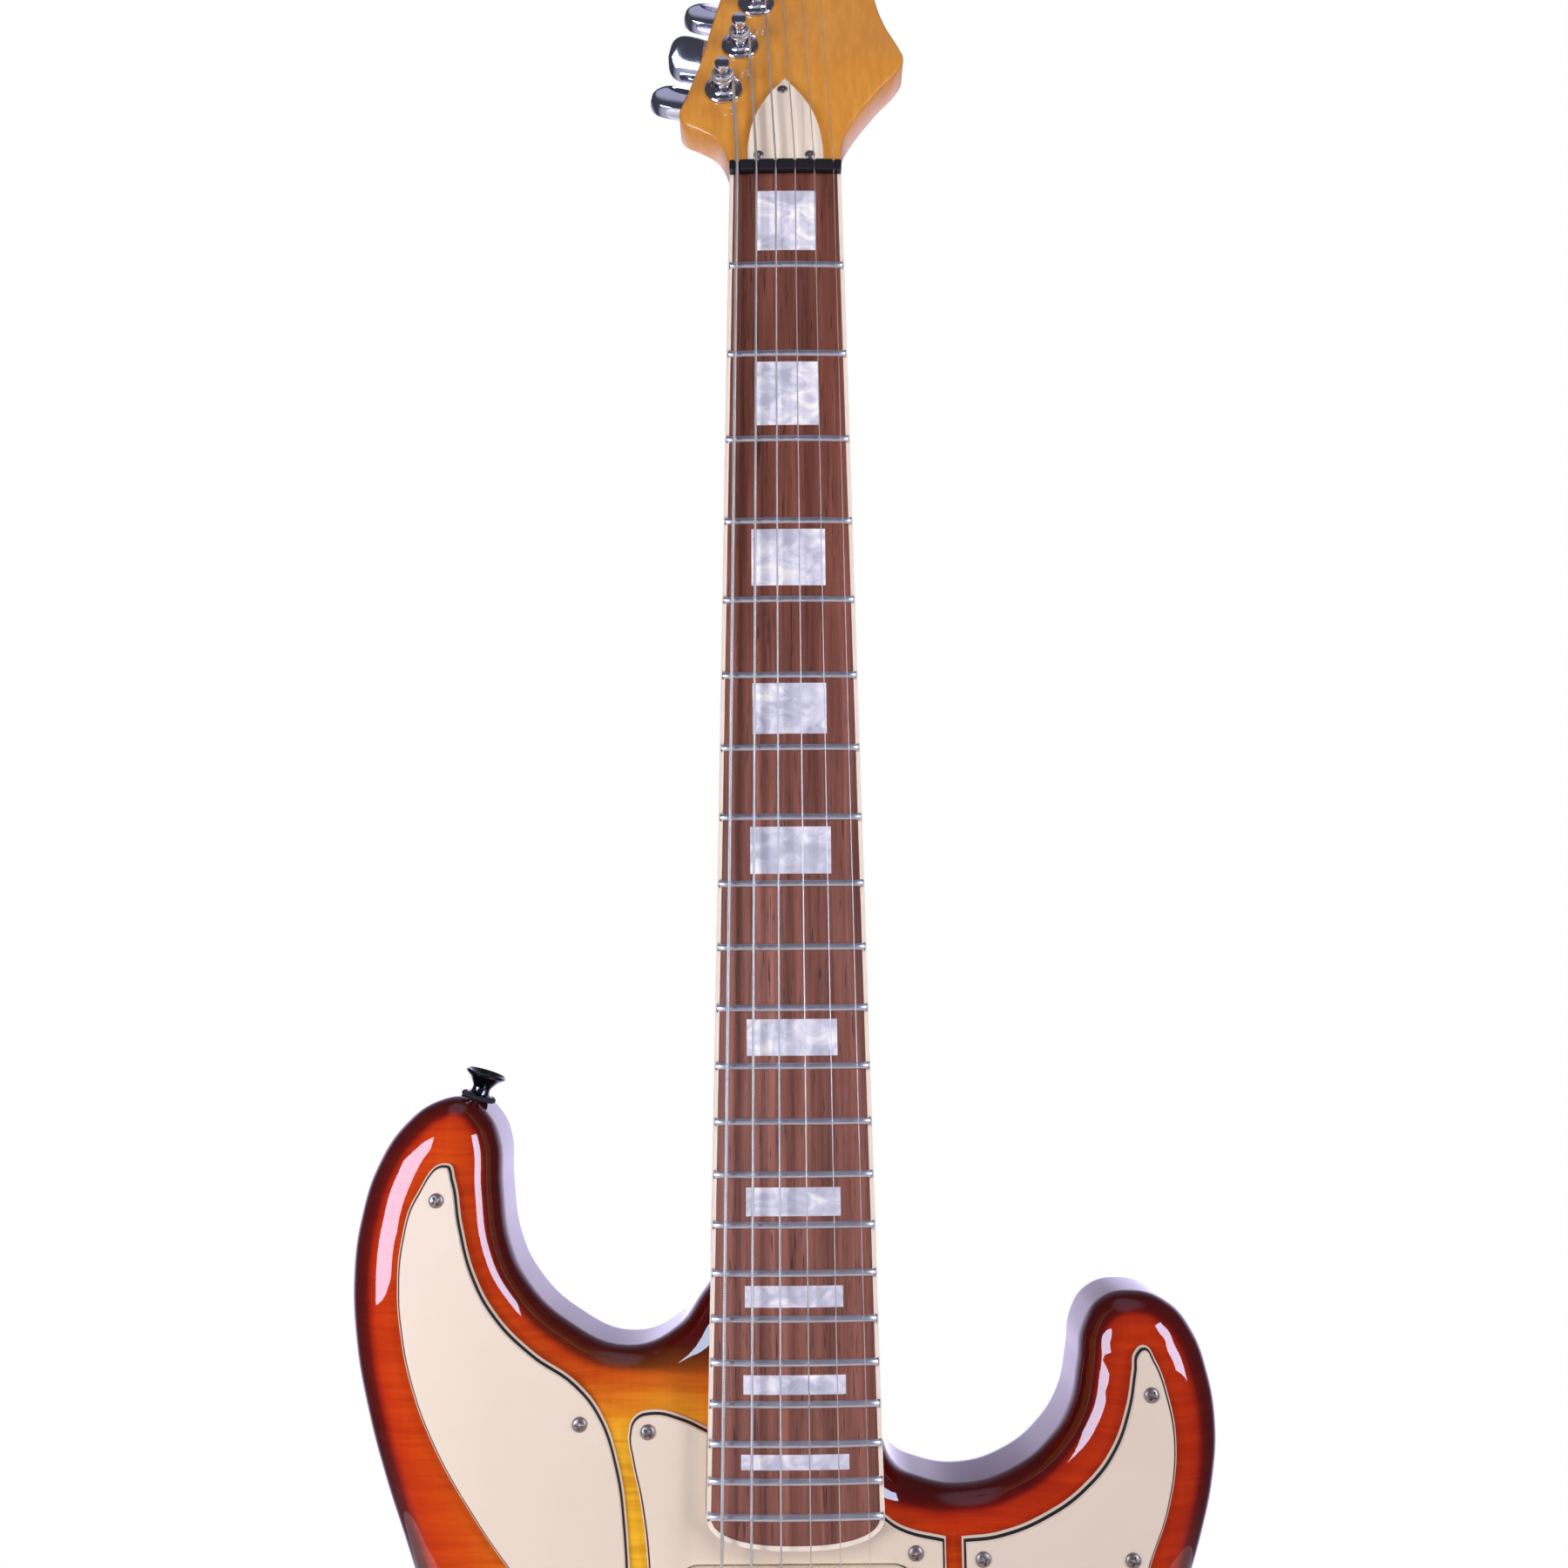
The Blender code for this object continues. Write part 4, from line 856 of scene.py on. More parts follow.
@dataclass(frozen=True)
class BurstLacquer(Finish):
    """Gloss lacquer that shades from a dark rim through red-orange to amber over figured maple."""

    name: str = "burst_lacquer"
    reach: float = 3.0

    def paint(self, graph: Graph) -> None:
        """Colour by the marks stored on the mesh, with bands of figure across the grain.

        Args:
            graph: the material's nodes.
        """
        cloud = graph.noise((30, 30, 30), 2.0)
        spray = graph.attribute("rim_spray") / self.reach + (cloud - 0.5) * 0.04
        rim = graph.ramp(
            spray, (0.0, tone(0.055, 0.004, 0.003)), (0.20, tone(0.085, 0.0045, 0.003)),
            (0.27, tone(0.13, 0.006, 0.003)), (0.33, tone(0.34, 0.019, 0.004)),
            (0.39, tone(0.48, 0.034, 0.004)), (0.55, tone(0.52, 0.043, 0.004)),
            (1.0, tone(0.57, 0.060, 0.004)),
        )
        glow = graph.attribute("amber_glow")
        burst = graph.mix(glow, rim, tone(0.90, 0.49, 0.030))
        flame = graph.band(graph.noise((26, 6, 330), 2.0, 0.5), 0.32, 0.68)
        ripple = graph.band(graph.noise((60, 6, 900), 2.0, 0.3, (3, 0, 7)), 0.3, 0.7)
        grain = graph.noise((700, 40, 20), 3.0)
        figure = flame * 0.5 + ripple * 0.2 + grain * 0.3
        shade = graph.ramp(figure, (0.15, tone(0.86, 0.74, 0.70)), (0.85, tone(1.08, 1.16, 1.15)))
        graph.surface(
            Base_Color=graph.mix(1.0, burst, shade, "MULTIPLY"), Roughness=0.5, Specular_IOR_Level=0.0,
            Coat_Weight=1.0, Coat_Roughness=0.02, Coat_IOR=1.6,
        )


@dataclass(frozen=True)
class SatinMaple(Finish):
    """Amber maple with straight grain."""

    name: str = "amber_maple"

    def paint(self, graph: Graph) -> None:
        """Fine lines along the neck under broad clouds.

        Args:
            graph: the material's nodes.
        """
        lines = graph.noise((420, 420, 8), 4.0, 0.2)
        clouds = graph.noise((45, 45, 6), 2.0, 0.3, (2, 5, 1))
        flecks = graph.band(graph.noise((900, 900, 90), 2.0), 0.66, 0.76)
        figure = lines * 0.55 + clouds * 0.45
        wood = graph.ramp(
            figure, (0.30, tone(0.62, 0.25, 0.029)), (0.52, tone(0.71, 0.31, 0.042)),
            (0.72, tone(0.78, 0.375, 0.060)),
        )
        graph.surface(
            Base_Color=graph.mix(flecks * 0.12, wood, tone(0.40, 0.15, 0.02)), Roughness=0.34 + lines * 0.12,
            Coat_Weight=0.8, Coat_Roughness=0.09, Normal=graph.bump(lines, 0.04, 0.0004),
        )


@dataclass(frozen=True)
class Rosewood(Finish):
    """Open-pored rosewood."""

    name: str = "oiled_rosewood"

    def paint(self, graph: Graph) -> None:
        """Dark pores and lanes along the grain, lighter towards the body where a sheen is painted into the
        colour.

        Args:
            graph: the material's nodes.
        """
        lanes = graph.noise((210, 30, 5), 3.0, 0.6)
        fibres = graph.noise((1500, 300, 30), 3.0)
        pores = graph.band(graph.noise((1900, 500, 75), 2.0, 0.0, (1, 2, 3)), 0.60, 0.70)
        figure = lanes * 0.65 + fibres * 0.35
        warm = graph.ramp(
            figure, (0.28, tone(0.052, 0.016, 0.010)), (0.45, tone(0.128, 0.037, 0.022)),
            (0.58, tone(0.190, 0.057, 0.036)), (0.75, tone(0.28, 0.094, 0.061)),
        )
        # Painted sheen: a lighter copy of the wood that stands in for the light the board catches towards the
        # body.
        sheened = graph.ramp(
            figure, (0.28, tone(0.078, 0.030, 0.023)), (0.45, tone(0.190, 0.071, 0.053)),
            (0.58, tone(0.272, 0.108, 0.085)), (0.75, tone(0.39, 0.170, 0.135)),
        )
        # The painted sheen by height: lighter towards the body, darker and warmer towards the nut.
        wood = graph.mix(graph.band(graph.axis("Z"), 0.48, 0.72), sheened, warm)
        graph.surface(
            Base_Color=graph.mix(pores * 0.8, wood, tone(0.022, 0.008, 0.006)),
            Roughness=0.30 + fibres * 0.14, Specular_IOR_Level=0.60,
            Normal=graph.bump(1.0 - pores, 0.25, 0.0002),
        )


@dataclass(frozen=True)
class LayeredCream(Finish):
    """Cream sheet with a black ply that shows in its bevelled edge."""

    name: str = "layered_cream"
    cream: Colour = tone(0.730, 0.643, 0.567)
    black_low: float = 0.0228
    black_high: float = 0.02375
    edge: float = 0.00006

    def paint(self, graph: Graph) -> None:
        """Plies by depth, and a faint mottle.

        Args:
            graph: the material's nodes.
        """
        depth, edge = 0.0 - graph.axis("Y"), self.edge
        above_low = graph.band(depth, self.black_low - edge, self.black_low + edge)
        ply = above_low * (1.0 - graph.band(depth, self.black_high - edge, self.black_high + edge))
        mottle = graph.noise((60, 60, 60), 3.0)
        cream = graph.ramp(mottle, (0.3, shaded(self.cream, 0.97)), (0.7, self.cream))
        graph.surface(
            Base_Color=graph.mix(ply, cream, tone(0.012, 0.012, 0.016)),
            Roughness=0.42 + mottle * 0.08, Specular_IOR_Level=0.35,
            Normal=graph.bump(graph.noise((2500, 2500, 2500), 1.0), 0.03, 0.0001),
        )


@dataclass(frozen=True)
class Plastic(Finish):
    """Moulded plastic of one colour."""

    name: str = "moulded_cream"
    colour: Colour = tone(0.84, 0.75, 0.62)
    gloss: float = 0.32

    def paint(self, graph: Graph) -> None:
        """A soft mottle and a fine moulded skin.

        Args:
            graph: the material's nodes.
        """
        mottle = graph.noise((90, 90, 90), 3.0)
        colour = graph.ramp(mottle, (0.3, shaded(self.colour, 0.94)), (0.7, self.colour))
        graph.surface(
            Base_Color=colour, Roughness=self.gloss + mottle * 0.1, Specular_IOR_Level=0.45,
            Normal=graph.bump(graph.noise((2200, 2200, 2200), 2.0), 0.05, 0.0001),
        )


@dataclass(frozen=True)
class CoverSheen(Finish):
    """Cream cover plate with lines along it, their lighter colour a painted sheen."""

    name: str = "sheen_streaked_cream"

    def paint(self, graph: Graph) -> None:
        """Lighter lines along the headstock, a painted sheen; the same lines vary the roughness.

        Args:
            graph: the material's nodes.
        """
        lines = graph.noise((330, 60, 3), 3.0, 0.1)
        graph.surface(
            Base_Color=graph.ramp(lines, (0.36, tone(0.80, 0.70, 0.60)), (0.60, tone(0.95, 0.88, 0.78))),
            Roughness=0.28 + lines * 0.2, Coat_Weight=0.3, Coat_Roughness=0.1,
        )


@dataclass(frozen=True)
class Pearl(Finish):
    """Pearl sheet of bright, broken fans."""

    name: str = "pearl_sheet"

    def paint(self, graph: Graph) -> None:
        """Warped flakes that catch the light each in its own way.

        Args:
            graph: the material's nodes.
        """
        fans = graph.noise((95, 95, 140), 4.0, 2.2)
        flakes = graph.node(
            "ShaderNodeTexVoronoi", {"feature": "SMOOTH_F1"},
            {"Vector": graph.place(), "Scale": 120.0, "Smoothness": 0.4, "Randomness": 1.0}, "Color",
        )
        tilt = graph.node("ShaderNodeSeparateXYZ", sockets={0: flakes}, output="X")
        gleam = fans * 0.72 + tilt * 0.28
        graph.surface(
            Base_Color=graph.ramp(
                gleam, (0.34, tone(0.50, 0.52, 0.68)), (0.46, tone(0.61, 0.635, 0.80)),
                (0.56, tone(0.71, 0.735, 0.90)), (0.70, tone(0.96, 0.97, 1.0)),
            ),
            Roughness=0.18 + gleam * 0.2, Coat_Weight=0.5, Coat_Roughness=0.08,
        )


@dataclass(frozen=True)
class Plated(Finish):
    """Plated or polished metal."""

    name: str = "mirror_chrome"
    colour: Colour = tone(0.80, 0.80, 0.86)
    gloss: float = 0.06
    wear: float = 0.06

    def paint(self, graph: Graph) -> None:
        """Faint hazy patches on the polish.

        Args:
            graph: the material's nodes.
        """
        haze = graph.noise((160, 160, 160), 4.0)
        graph.surface(
            Base_Color=graph.ramp(haze, (0.35, shaded(self.colour, 0.9)), (0.65, self.colour)),
            Metallic=1.0, Roughness=self.gloss + haze * self.wear,
        )


@dataclass(frozen=True)
class Wire(Finish):
    """String steel, plain or wound."""

    name: str = "plain_string"
    colour: Colour = tone(0.66, 0.62, 0.60)
    pitch: float = 0.0

    def paint(self, graph: Graph) -> None:
        """Bright wire, with ridges along it where it is wound.

        Args:
            graph: the material's nodes.
        """
        haze = graph.noise((300, 300, 60), 2.0)
        graph.surface(
            Base_Color=graph.ramp(haze, (0.3, shaded(self.colour, 0.8)), (0.7, self.colour)),
            Metallic=0.55, Roughness=0.26 + haze * 0.1,
        )
        if self.pitch:
            ridges = (graph.axis("Z") * (2 * math.pi / self.pitch)).sine()
            graph.surface(Normal=graph.bump(ridges, 0.3, self.pitch / 6))


@dataclass(frozen=True)
class Felt(Finish):
    """Black pressed felt."""

    name: str = "black_felt"

    def paint(self, graph: Graph) -> None:
        """Loose dark fibres.

        Args:
            graph: the material's nodes.
        """
        fibres = graph.noise((1800, 1800, 1800), 3.0, 0.5)
        graph.surface(
            Base_Color=graph.ramp(fibres, (0.3, tone(0.008, 0.008, 0.010)), (0.7, tone(0.030, 0.027, 0.034))),
            Roughness=0.85, Normal=graph.bump(fibres, 0.4, 0.0002),
        )


@dataclass(frozen=True)
class StudioFloor(Finish):
    """White sweep that the guitar stands on."""

    name: str = "studio_floor"

    def paint(self, graph: Graph) -> None:
        """Pale near the guitar, and white further out, where it glows: a painted glow that fades it into the
        white surround.

        Args:
            graph: the material's nodes.
        """
        far = graph.band(graph.axis("Y"), 0.10, 0.50)
        graph.surface(
            Base_Color=tone(0.86, 0.86, 0.87), Roughness=0.6, Emission_Strength=0.9,
            Emission_Color=graph.ramp(far, (0.0, tone(0.02, 0.02, 0.02)), (1.0, tone(1, 1, 1))),
        )


BURST = BurstLacquer()
MAPLE = SatinMaple()
ROSEWOOD = Rosewood()
LAYERED = LayeredCream()
CREAM = Plastic()
BINDING = Plastic("binding_cream", tone(0.86, 0.79, 0.72), 0.3)
BLACK = Plastic("gloss_black", tone(0.014, 0.013, 0.018), 0.22)
COVER = CoverSheen()
PEARL = Pearl()
CHROME = Plated()
SMOKED = Plated("smoked_chrome", tone(0.13, 0.125, 0.14), 0.10, 0.08)
NICKEL = Plated("fret_nickel", tone(0.82, 0.76, 0.78), 0.38, 0.05)
STEEL = Plated("brushed_steel", tone(0.52, 0.52, 0.55), 0.30, 0.20)
SCREWS = Plated("screw_nickel", tone(0.38, 0.29, 0.26), 0.38, 0.14)
PLAIN = Wire()
WOUND = Wire("wound_string", tone(0.60, 0.57, 0.56), 0.0008)
FELT = Felt()
FLOOR = StudioFloor()


@dataclass
class Assembly:
    """A group of pieces that are built and dressed together."""

    def fit(
        self, piece: Piece, finish: Finish, slot: Slot, body: Rider | str = Rider.GUITAR,
        stands_for: Sequence[str] = (),
    ) -> Piece:
        """Give a piece its finish and let it ride on a body.

        Args:
            piece: the finished mesh.
            finish: its surface.
            slot: the record's material slot.
            body: the body that carries it.
            stands_for: CAD nodes that it replaces.

        Returns:
            The same piece.
        """
        self.coat(piece, finish, slot, stands_for)
        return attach(piece, body.value if isinstance(body, Rider) else body)

    def coat(self, piece: Piece, finish: Finish, slot: Slot, stands_for: Sequence[str] = ()) -> Piece:
        """Give a piece its finish and hide the nodes it replaces.

        Args:
            piece: the finished mesh.
            finish: its surface.
            slot: the record's material slot; not used.
            stands_for: CAD nodes that it replaces.

        Returns:
            The same piece.
        """
        piece.data.materials.clear()
        piece.data.materials.append(finish.material())
        if stands_for:
            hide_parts(*stands_for)
        LOG.info("%s: %s, %d faces", piece.name, finish.name, len(piece.data.polygons))
        return piece

    def keep(self, node: str, finish: Finish) -> None:
        """Give a CAD node that stays a better finish.

        Args:
            node: the node's name.
            finish: its surface.
        """
        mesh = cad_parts[node].data
        mesh.materials.clear()
        mesh.materials.append(finish.material())
        LOG.info("%s: %s, as packed", node, finish.name)


@dataclass
class PanScrew(Assembly):
    """A small pan-head screw with a cross recess."""

    radius: float = 0.0025
    rise: float = 0.0011
    sink: float = 0.0004
    dome: tuple[Pair, ...] = ((0, 1), (0.42, 0.97), (0.72, 0.80), (0.92, 0.48), (1, 0.18))
    recess_half: Pair = (0.62, 0.15)
    recess_floor: float = -0.1
    recess_turn: float = 0.6
    next_turn: float = 0.9

    def model(self) -> Piece:
        """Turn the screw's head and cut its recess.

        Returns:
            The head with its seat at the origin, facing +Z.
        """
        size, top = self.radius, self.rise
        profile = scaled(self.dome, size, top) + [(size, -self.sink), (0, -self.sink)]
        head = Bench.lathe("screw_head", profile, UPRIGHT, 20)
        reach, half = [share * size for share in self.recess_half]
        for turn in (self.recess_turn, self.recess_turn + math.pi / 2):
            bar = Bench.block("recess", (-reach, self.recess_floor * top, -half), (reach, 2 * top, half))
            bar.matrix_world = Matrix.Rotation(turn, 4, "Z")
            Bench.trim(head, Bench.settle(bar))
        return Bench.soften(head, 40)

    def scatter(self, name: str, places: Sequence[Matrix]) -> Piece:
        """Set copies of the screw as one piece.

        Args:
            name: the piece's name.
            places: a frame for each screw.

        Returns:
            The screws, each turned its own way.
        """
        head = self.model()
        copies = []
        for number, place in enumerate(places):
            turned = place @ Matrix.Rotation(self.next_turn * number, 4, "Z")
            copies.append(Bench.copy(head, f"{name}_{number}", turned))
        Bench.discard(head)
        return self.fit(Bench.join(name, *copies), SCREWS, Slot.STEEL)

    def scatter_behind(self, name: str, half: float, heights: Sequence[float], back: float) -> Piece:
        """Set two columns of the screw on a plate behind the body.

        Args:
            name: the piece's name.
            half: how far each column is from the middle.
            heights: where the screws of a column lie.
            back: the plate's outer face.

        Returns:
            The screws, facing backwards.
        """
        turn = Matrix.Rotation(math.pi, 4, "X")
        spots = [(side * half, along) for side in (-1, 1) for along in heights]
        return self.scatter(name, [axis_at(across, along, back) @ turn for across, along in spots])


class RimLine:
    """The body's outline, as a line to measure from."""

    def __init__(self, knots: Sequence[Knot]) -> None:
        """Draw the outline finely, and note which way it faces.

        Args:
            knots: the outline's points.
        """
        edge = Bench.outline("rim_line", knots, 0, 0, FACE, finesse=24)
        self.line = np.array([(spot.co.x, spot.co.z) for spot in edge.data.vertices])
        Bench.discard(edge)
        self.along = np.roll(self.line, -1, axis=0) - np.roll(self.line, 1, axis=0)
        self.step = np.linalg.norm(self.along, axis=1) / 2
        self.along /= 2 * self.step[:, None]
        after = np.roll(self.line, -1, axis=0)
        area = (self.line[:, 0] * after[:, 1] - self.line[:, 1] * after[:, 0]).sum()
        self.out = np.sign(area) * np.stack((self.along[:, 1], -self.along[:, 0]), axis=1)

    def measure(self, piece: Piece) -> tuple[np.ndarray, np.ndarray]:
        """Measure a mesh from the line.

        Args:
            piece: the mesh.

        Returns:
            Each point's distance from the line, and the way the line faces there.
        """
        tree = KDTree(len(self.line))
        for number, (across, along) in enumerate(self.line):
            tree.insert((across, along, 0), number)
        tree.balance()
        near = np.array([tree.find((spot.co.x, spot.co.z, 0))[1] for spot in piece.data.vertices])
        gap = np.array([(spot.co.x, spot.co.z) for spot in piece.data.vertices]) - self.line[near]
        slide = (gap * self.along[near]).sum(axis=1) / self.step[near]
        ahead = (near + np.where(slide > 0, 1, -1)) % len(self.line)
        share = np.clip(np.abs(slide), 0, 1)[:, None]
        outward = self.out[near] * (1 - share) + self.out[ahead] * share
        outward /= np.linalg.norm(outward, axis=1)[:, None]
        return np.abs((gap * outward).sum(axis=1)), outward


@dataclass
class GuitarBody(Assembly):
    """The two-horned body."""

    edge_round: float = 0.0105
    edge_wide: float = 0.0180
    edge_deep: float = 0.0150
    grid: float = 0.003
    dark_wide: Pair = (0.0056, 0.0040)
    heel_shade: Pair = (-0.026, 0.013)
    heel_dark: Pair = (1.1, 0.008)
    treble_calm: Pair = (0.035, 0.075)
    calm_share: float = 0.85
    calm_from: float = 1.05
    amber_place: Pair = (-0.045, 0.25)
    amber_spread: Pair = (0.050, 0.06)
    amber_reach: Pair = (0.025, 0.040)
    amber_power: float = 1.5
    flat_facing: float = 0.999
    skin_facing: float = 0.8
    heel_round: float = 0.004
    control_low: float = 0.104
    control_left: float = 0.058
    control_size: Corner = (0.050, 0.098, 0.032)
    slot_half: float = 0.040
    slot_behind: float = 0.022
    slot_ahead: float = 0.003
    spring_room: Pair = (0.098, 0.017)
    jack_hole: float = 0.0058
    bass_top: tuple[Pair, ...] = (
        (-10, 84), (-24, 83), (-31.1, 75), (-40.3, 63.2), (-57, 56.9), (-77.4, 64.9), (-91.2, 77.8),
        (-98, 91.3), (-101, 110), (-102.4, 126.5), (-106.5, 134.4), (-114, 140.3), (-124.2, 139.7),
        (-135.6, 132), (-144.9, 117.8), (-150.1, 100.2), (-151.9, 83), (-150.3, 60), (-145.3, 37),
        (-138.4, 15), (-130.5, -6),
    )
    bottom_half: tuple[Pair, ...] = (
        (-121.5, 290), (-115.5, 265), (-113, 240), (-117, 212), (-133, 176), (-152, 141), (-160, 108),
        (-155, 72), (-136, 38), (-100, 14), (-52, 3), (0, 0), (52, 3), (100, 13), (136, 36), (156, 72),
        (162, 108), (156, 142), (138, 174), (121, 204), (114, 234), (118, 262), (127.3, 292),
    )
    treble_top: tuple[Pair, ...] = (
        (136.3, -5), (141.6, 15), (143.2, 32), (141.2, 48), (136.6, 61.2), (129.4, 69.8), (116.8, 73.9),
        (105.2, 71), (98.9, 62.3), (96.8, 50.2), (93.4, 36.4), (85.4, 24.8), (73.6, 16.2), (58, 11.7),
        (43, 13.6), (34, 18.2), (29, 30), (22, 52), (8, 76),
    )

    def knots(self) -> list[Knot]:
        """The body's outline.

        Returns:
            Its points, from the heel round the bass side to the treble side.
        """
        upper = above(PLAN.board_end, smooth(self.bass_top))
        lower = above(PLAN.body_foot, smooth(self.bottom_half))
        return upper + lower + above(PLAN.board_end, smooth(self.treble_top))

    def build(self) -> None:
        """Model the shell with its rooms, round its front, mark the burst and lacquer it."""
        front = PLAN.body_front
        shell = Bench.outline("body_shell", self.knots(), -front, front, FACE, self.edge_round, 7, 6)
        self.carve(shell)
        self.square_up(shell)
        reach, outward = RimLine(self.knots()).measure(shell)
        self.mark_burst(shell, reach, outward)
        Bench.modify(Bench.soften(shell, 40), "WEIGHTED_NORMAL", keep_sharp=True)
        self.round_front(shell, reach, outward)
        self.fit(shell, BURST, Slot.SUNBURST, stands_for=["body"])

    def carve(self, shell: Piece) -> None:
        """Join the heel on and cut the pocket, the rooms and the jack's hole.

        Args:
            shell: the body's mesh.
        """
        front, end = PLAN.body_front, PLAN.board_end
        half = PLAN.board_half(end) - PLAN.clear - PLAN.overcut
        floor = front - PLAN.pocket_depth
        low = (-half, end, PLAN.clear - front)
        high = (half, end + PLAN.heel_long, floor + PLAN.overcut)
        Bench.trim(shell, Bench.block("heel", low, high, self.heel_round, 4), Trim.JOINED)
        pocket = PLAN.board_outline(-PLAN.clear, PLAN.nut_z)
        Bench.trim(shell, Bench.outline("pocket", pocket, floor, PLAN.board_top, FACE))
        pickup_floor = PLAN.plate_top - PLAN.pickup_deep - PLAN.overcut
        for middle in PLAN.pickup_places:
            room = PLAN.pickup_outline(middle, 2 * PLAN.pickup_gap, 4)
            Bench.trim(shell, Bench.outline("pickup_room", room, pickup_floor, PLAN.plate_top, FACE))
        wide, long, deep = self.control_size
        left, control_z = self.control_left, PLAN.body_foot + self.control_low
        slot_z = PLAN.bridge_z - self.slot_behind
        slot, thick = self.slot_half, PLAN.body_thick
        room_long, room_deep = self.spring_room
        rooms = (
            ((left, control_z, front - deep), (left + wide, control_z + long, PLAN.plate_top)),
            ((-slot, slot_z, -thick), (slot, PLAN.bridge_z + self.slot_ahead, thick)),
            ((-slot, slot_z, -thick), (slot, slot_z + room_long, room_deep - front)),
        )
        for low, high in rooms:
            Bench.trim(shell, Bench.block("room", low, high))
        jack_out, jack_up = PLAN.jack_place
        start = Matrix.Translation(point(0, PLAN.body_foot + jack_up, 0)) @ ALONG_X
        ends = (left + wide / 2, jack_out + deep)
        Bench.trim(shell, Bench.rod("jack_hole", self.jack_hole, ends, start))

    def square_up(self, shell: Piece) -> None:
        """Cut the flat front and back into small squares, so that shape and burst can follow the rim.

        Args:
            shell: the body's mesh.
        """
        low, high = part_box("body")
        for facing, step in ((-1, self.grid), (1, 3 * self.grid)):
            with Bench.faces(shell, lambda face: facing * face.normal.y > self.flat_facing):
                bpy.ops.mesh.hide(unselected=True)
                for axis, normal in ((0, (1, 0, 0)), (2, (0, 0, 1))):
                    for level in np.arange(low[axis] + step / 2, high[axis], step):
                        spot = [0.0, 0.0, 0.0]
                        spot[axis] = float(level)
                        bpy.ops.mesh.select_all(action="SELECT")
                        bpy.ops.mesh.bisect(plane_co=spot, plane_no=normal)
                bpy.ops.mesh.reveal(select=False)

    def mark_burst(self, shell: Piece, reach: np.ndarray, outward: np.ndarray) -> None:
        """Store how far the dark rim and the amber middle reach at each point of the mesh.

        Args:
            shell: the body's mesh.
            reach: each point's distance from the rim.
            outward: the direction that the nearest rim faces.
        """
        spots = np.array([(spot.co.x, spot.co.z) for spot in shell.data.vertices])
        outer = np.clip(outward[:, 0] * np.sign(spots[:, 0]), 0, 1)
        side = np.exp(-(((spots[:, 0] - self.amber_place[0]) / self.amber_spread[0]) ** 2))
        low = np.clip((self.amber_place[1] - spots[:, 1]) / self.amber_spread[1] + 0.5, 0, 1)
        share = np.maximum(side, low * low * (3 - 2 * low))
        heel = np.exp(-(((spots[:, 0] - self.heel_shade[0]) / self.heel_shade[1]) ** 2))
        heel *= np.clip((spots[:, 1] - PLAN.board_end) / (3 * self.heel_shade[1]), 0, 1) ** 2
        inside = np.clip(reach - self.heel_dark[1] * heel, 0, None)
        fade = self.amber_reach[0] + self.amber_reach[1] * (1 - side)
        glow = np.clip(inside / fade, 0, 1) ** self.amber_power * share
        spray = reach / (self.dark_wide[0] + self.dark_wide[1] * outer) / (1 + self.heel_dark[0] * heel)
        start, stop = self.treble_calm
        calm = np.clip((spots[:, 0] - start) / (stop - start), 0, 1)
        spray -= self.calm_share * calm * np.clip(spray - self.calm_from, 0, None)
        for name, values in (("rim_spray", spray), ("amber_glow", glow)):
            marks = shell.data.attributes.new(name, "FLOAT", "POINT")
            marks.data.foreach_set("value", values.astype(np.float32))

    def round_front(self, shell: Piece, reach: np.ndarray, outward: np.ndarray) -> None:
        """Turn the round rim of the front into a wide oval one, with smooth normals.

        Args:
            shell: the body's mesh.
            reach: each point's distance from the rim.
            outward: the direction that the nearest rim faces.
        """
        mesh, front, edge = shell.data, PLAN.body_front, self.edge_round
        depth = np.array([front + spot.co.y for spot in mesh.vertices])
        skin = depth < edge + PLAN.clear / 3
        rise = np.clip(1 - depth / edge, 0, 1)
        ring = edge * (1 - np.sqrt(1 - rise**2))
        inset = np.where(depth < TINY, np.maximum(reach, edge), ring)
        near = np.clip(1 - inset / self.edge_wide, 0, 1)
        level = np.sqrt(1 - near**2)
        for spot, moved, drop in zip(mesh.vertices, skin, self.edge_deep * (1 - level)):
            if moved:
                spot.co.y = drop - front
        lean = outward * near[:, None] / self.edge_wide
        facing = np.stack((lean[:, 0], -level / self.edge_deep, lean[:, 1]), axis=1)
        facing /= np.linalg.norm(facing, axis=1)[:, None]
        mesh.update()
        corners = np.array([corner.vector for corner in mesh.corner_normals])
        flats = np.array([mesh.polygons[face.index].normal for face in mesh.polygons for _ in face.vertices])
        spots = np.array([corner.vertex_index for corner in mesh.loops])
        fits = skin[spots] & ((flats * facing[spots]).sum(axis=1) > self.skin_facing)
        corners[fits] = facing[spots][fits]
        mesh.normals_split_custom_set(corners)


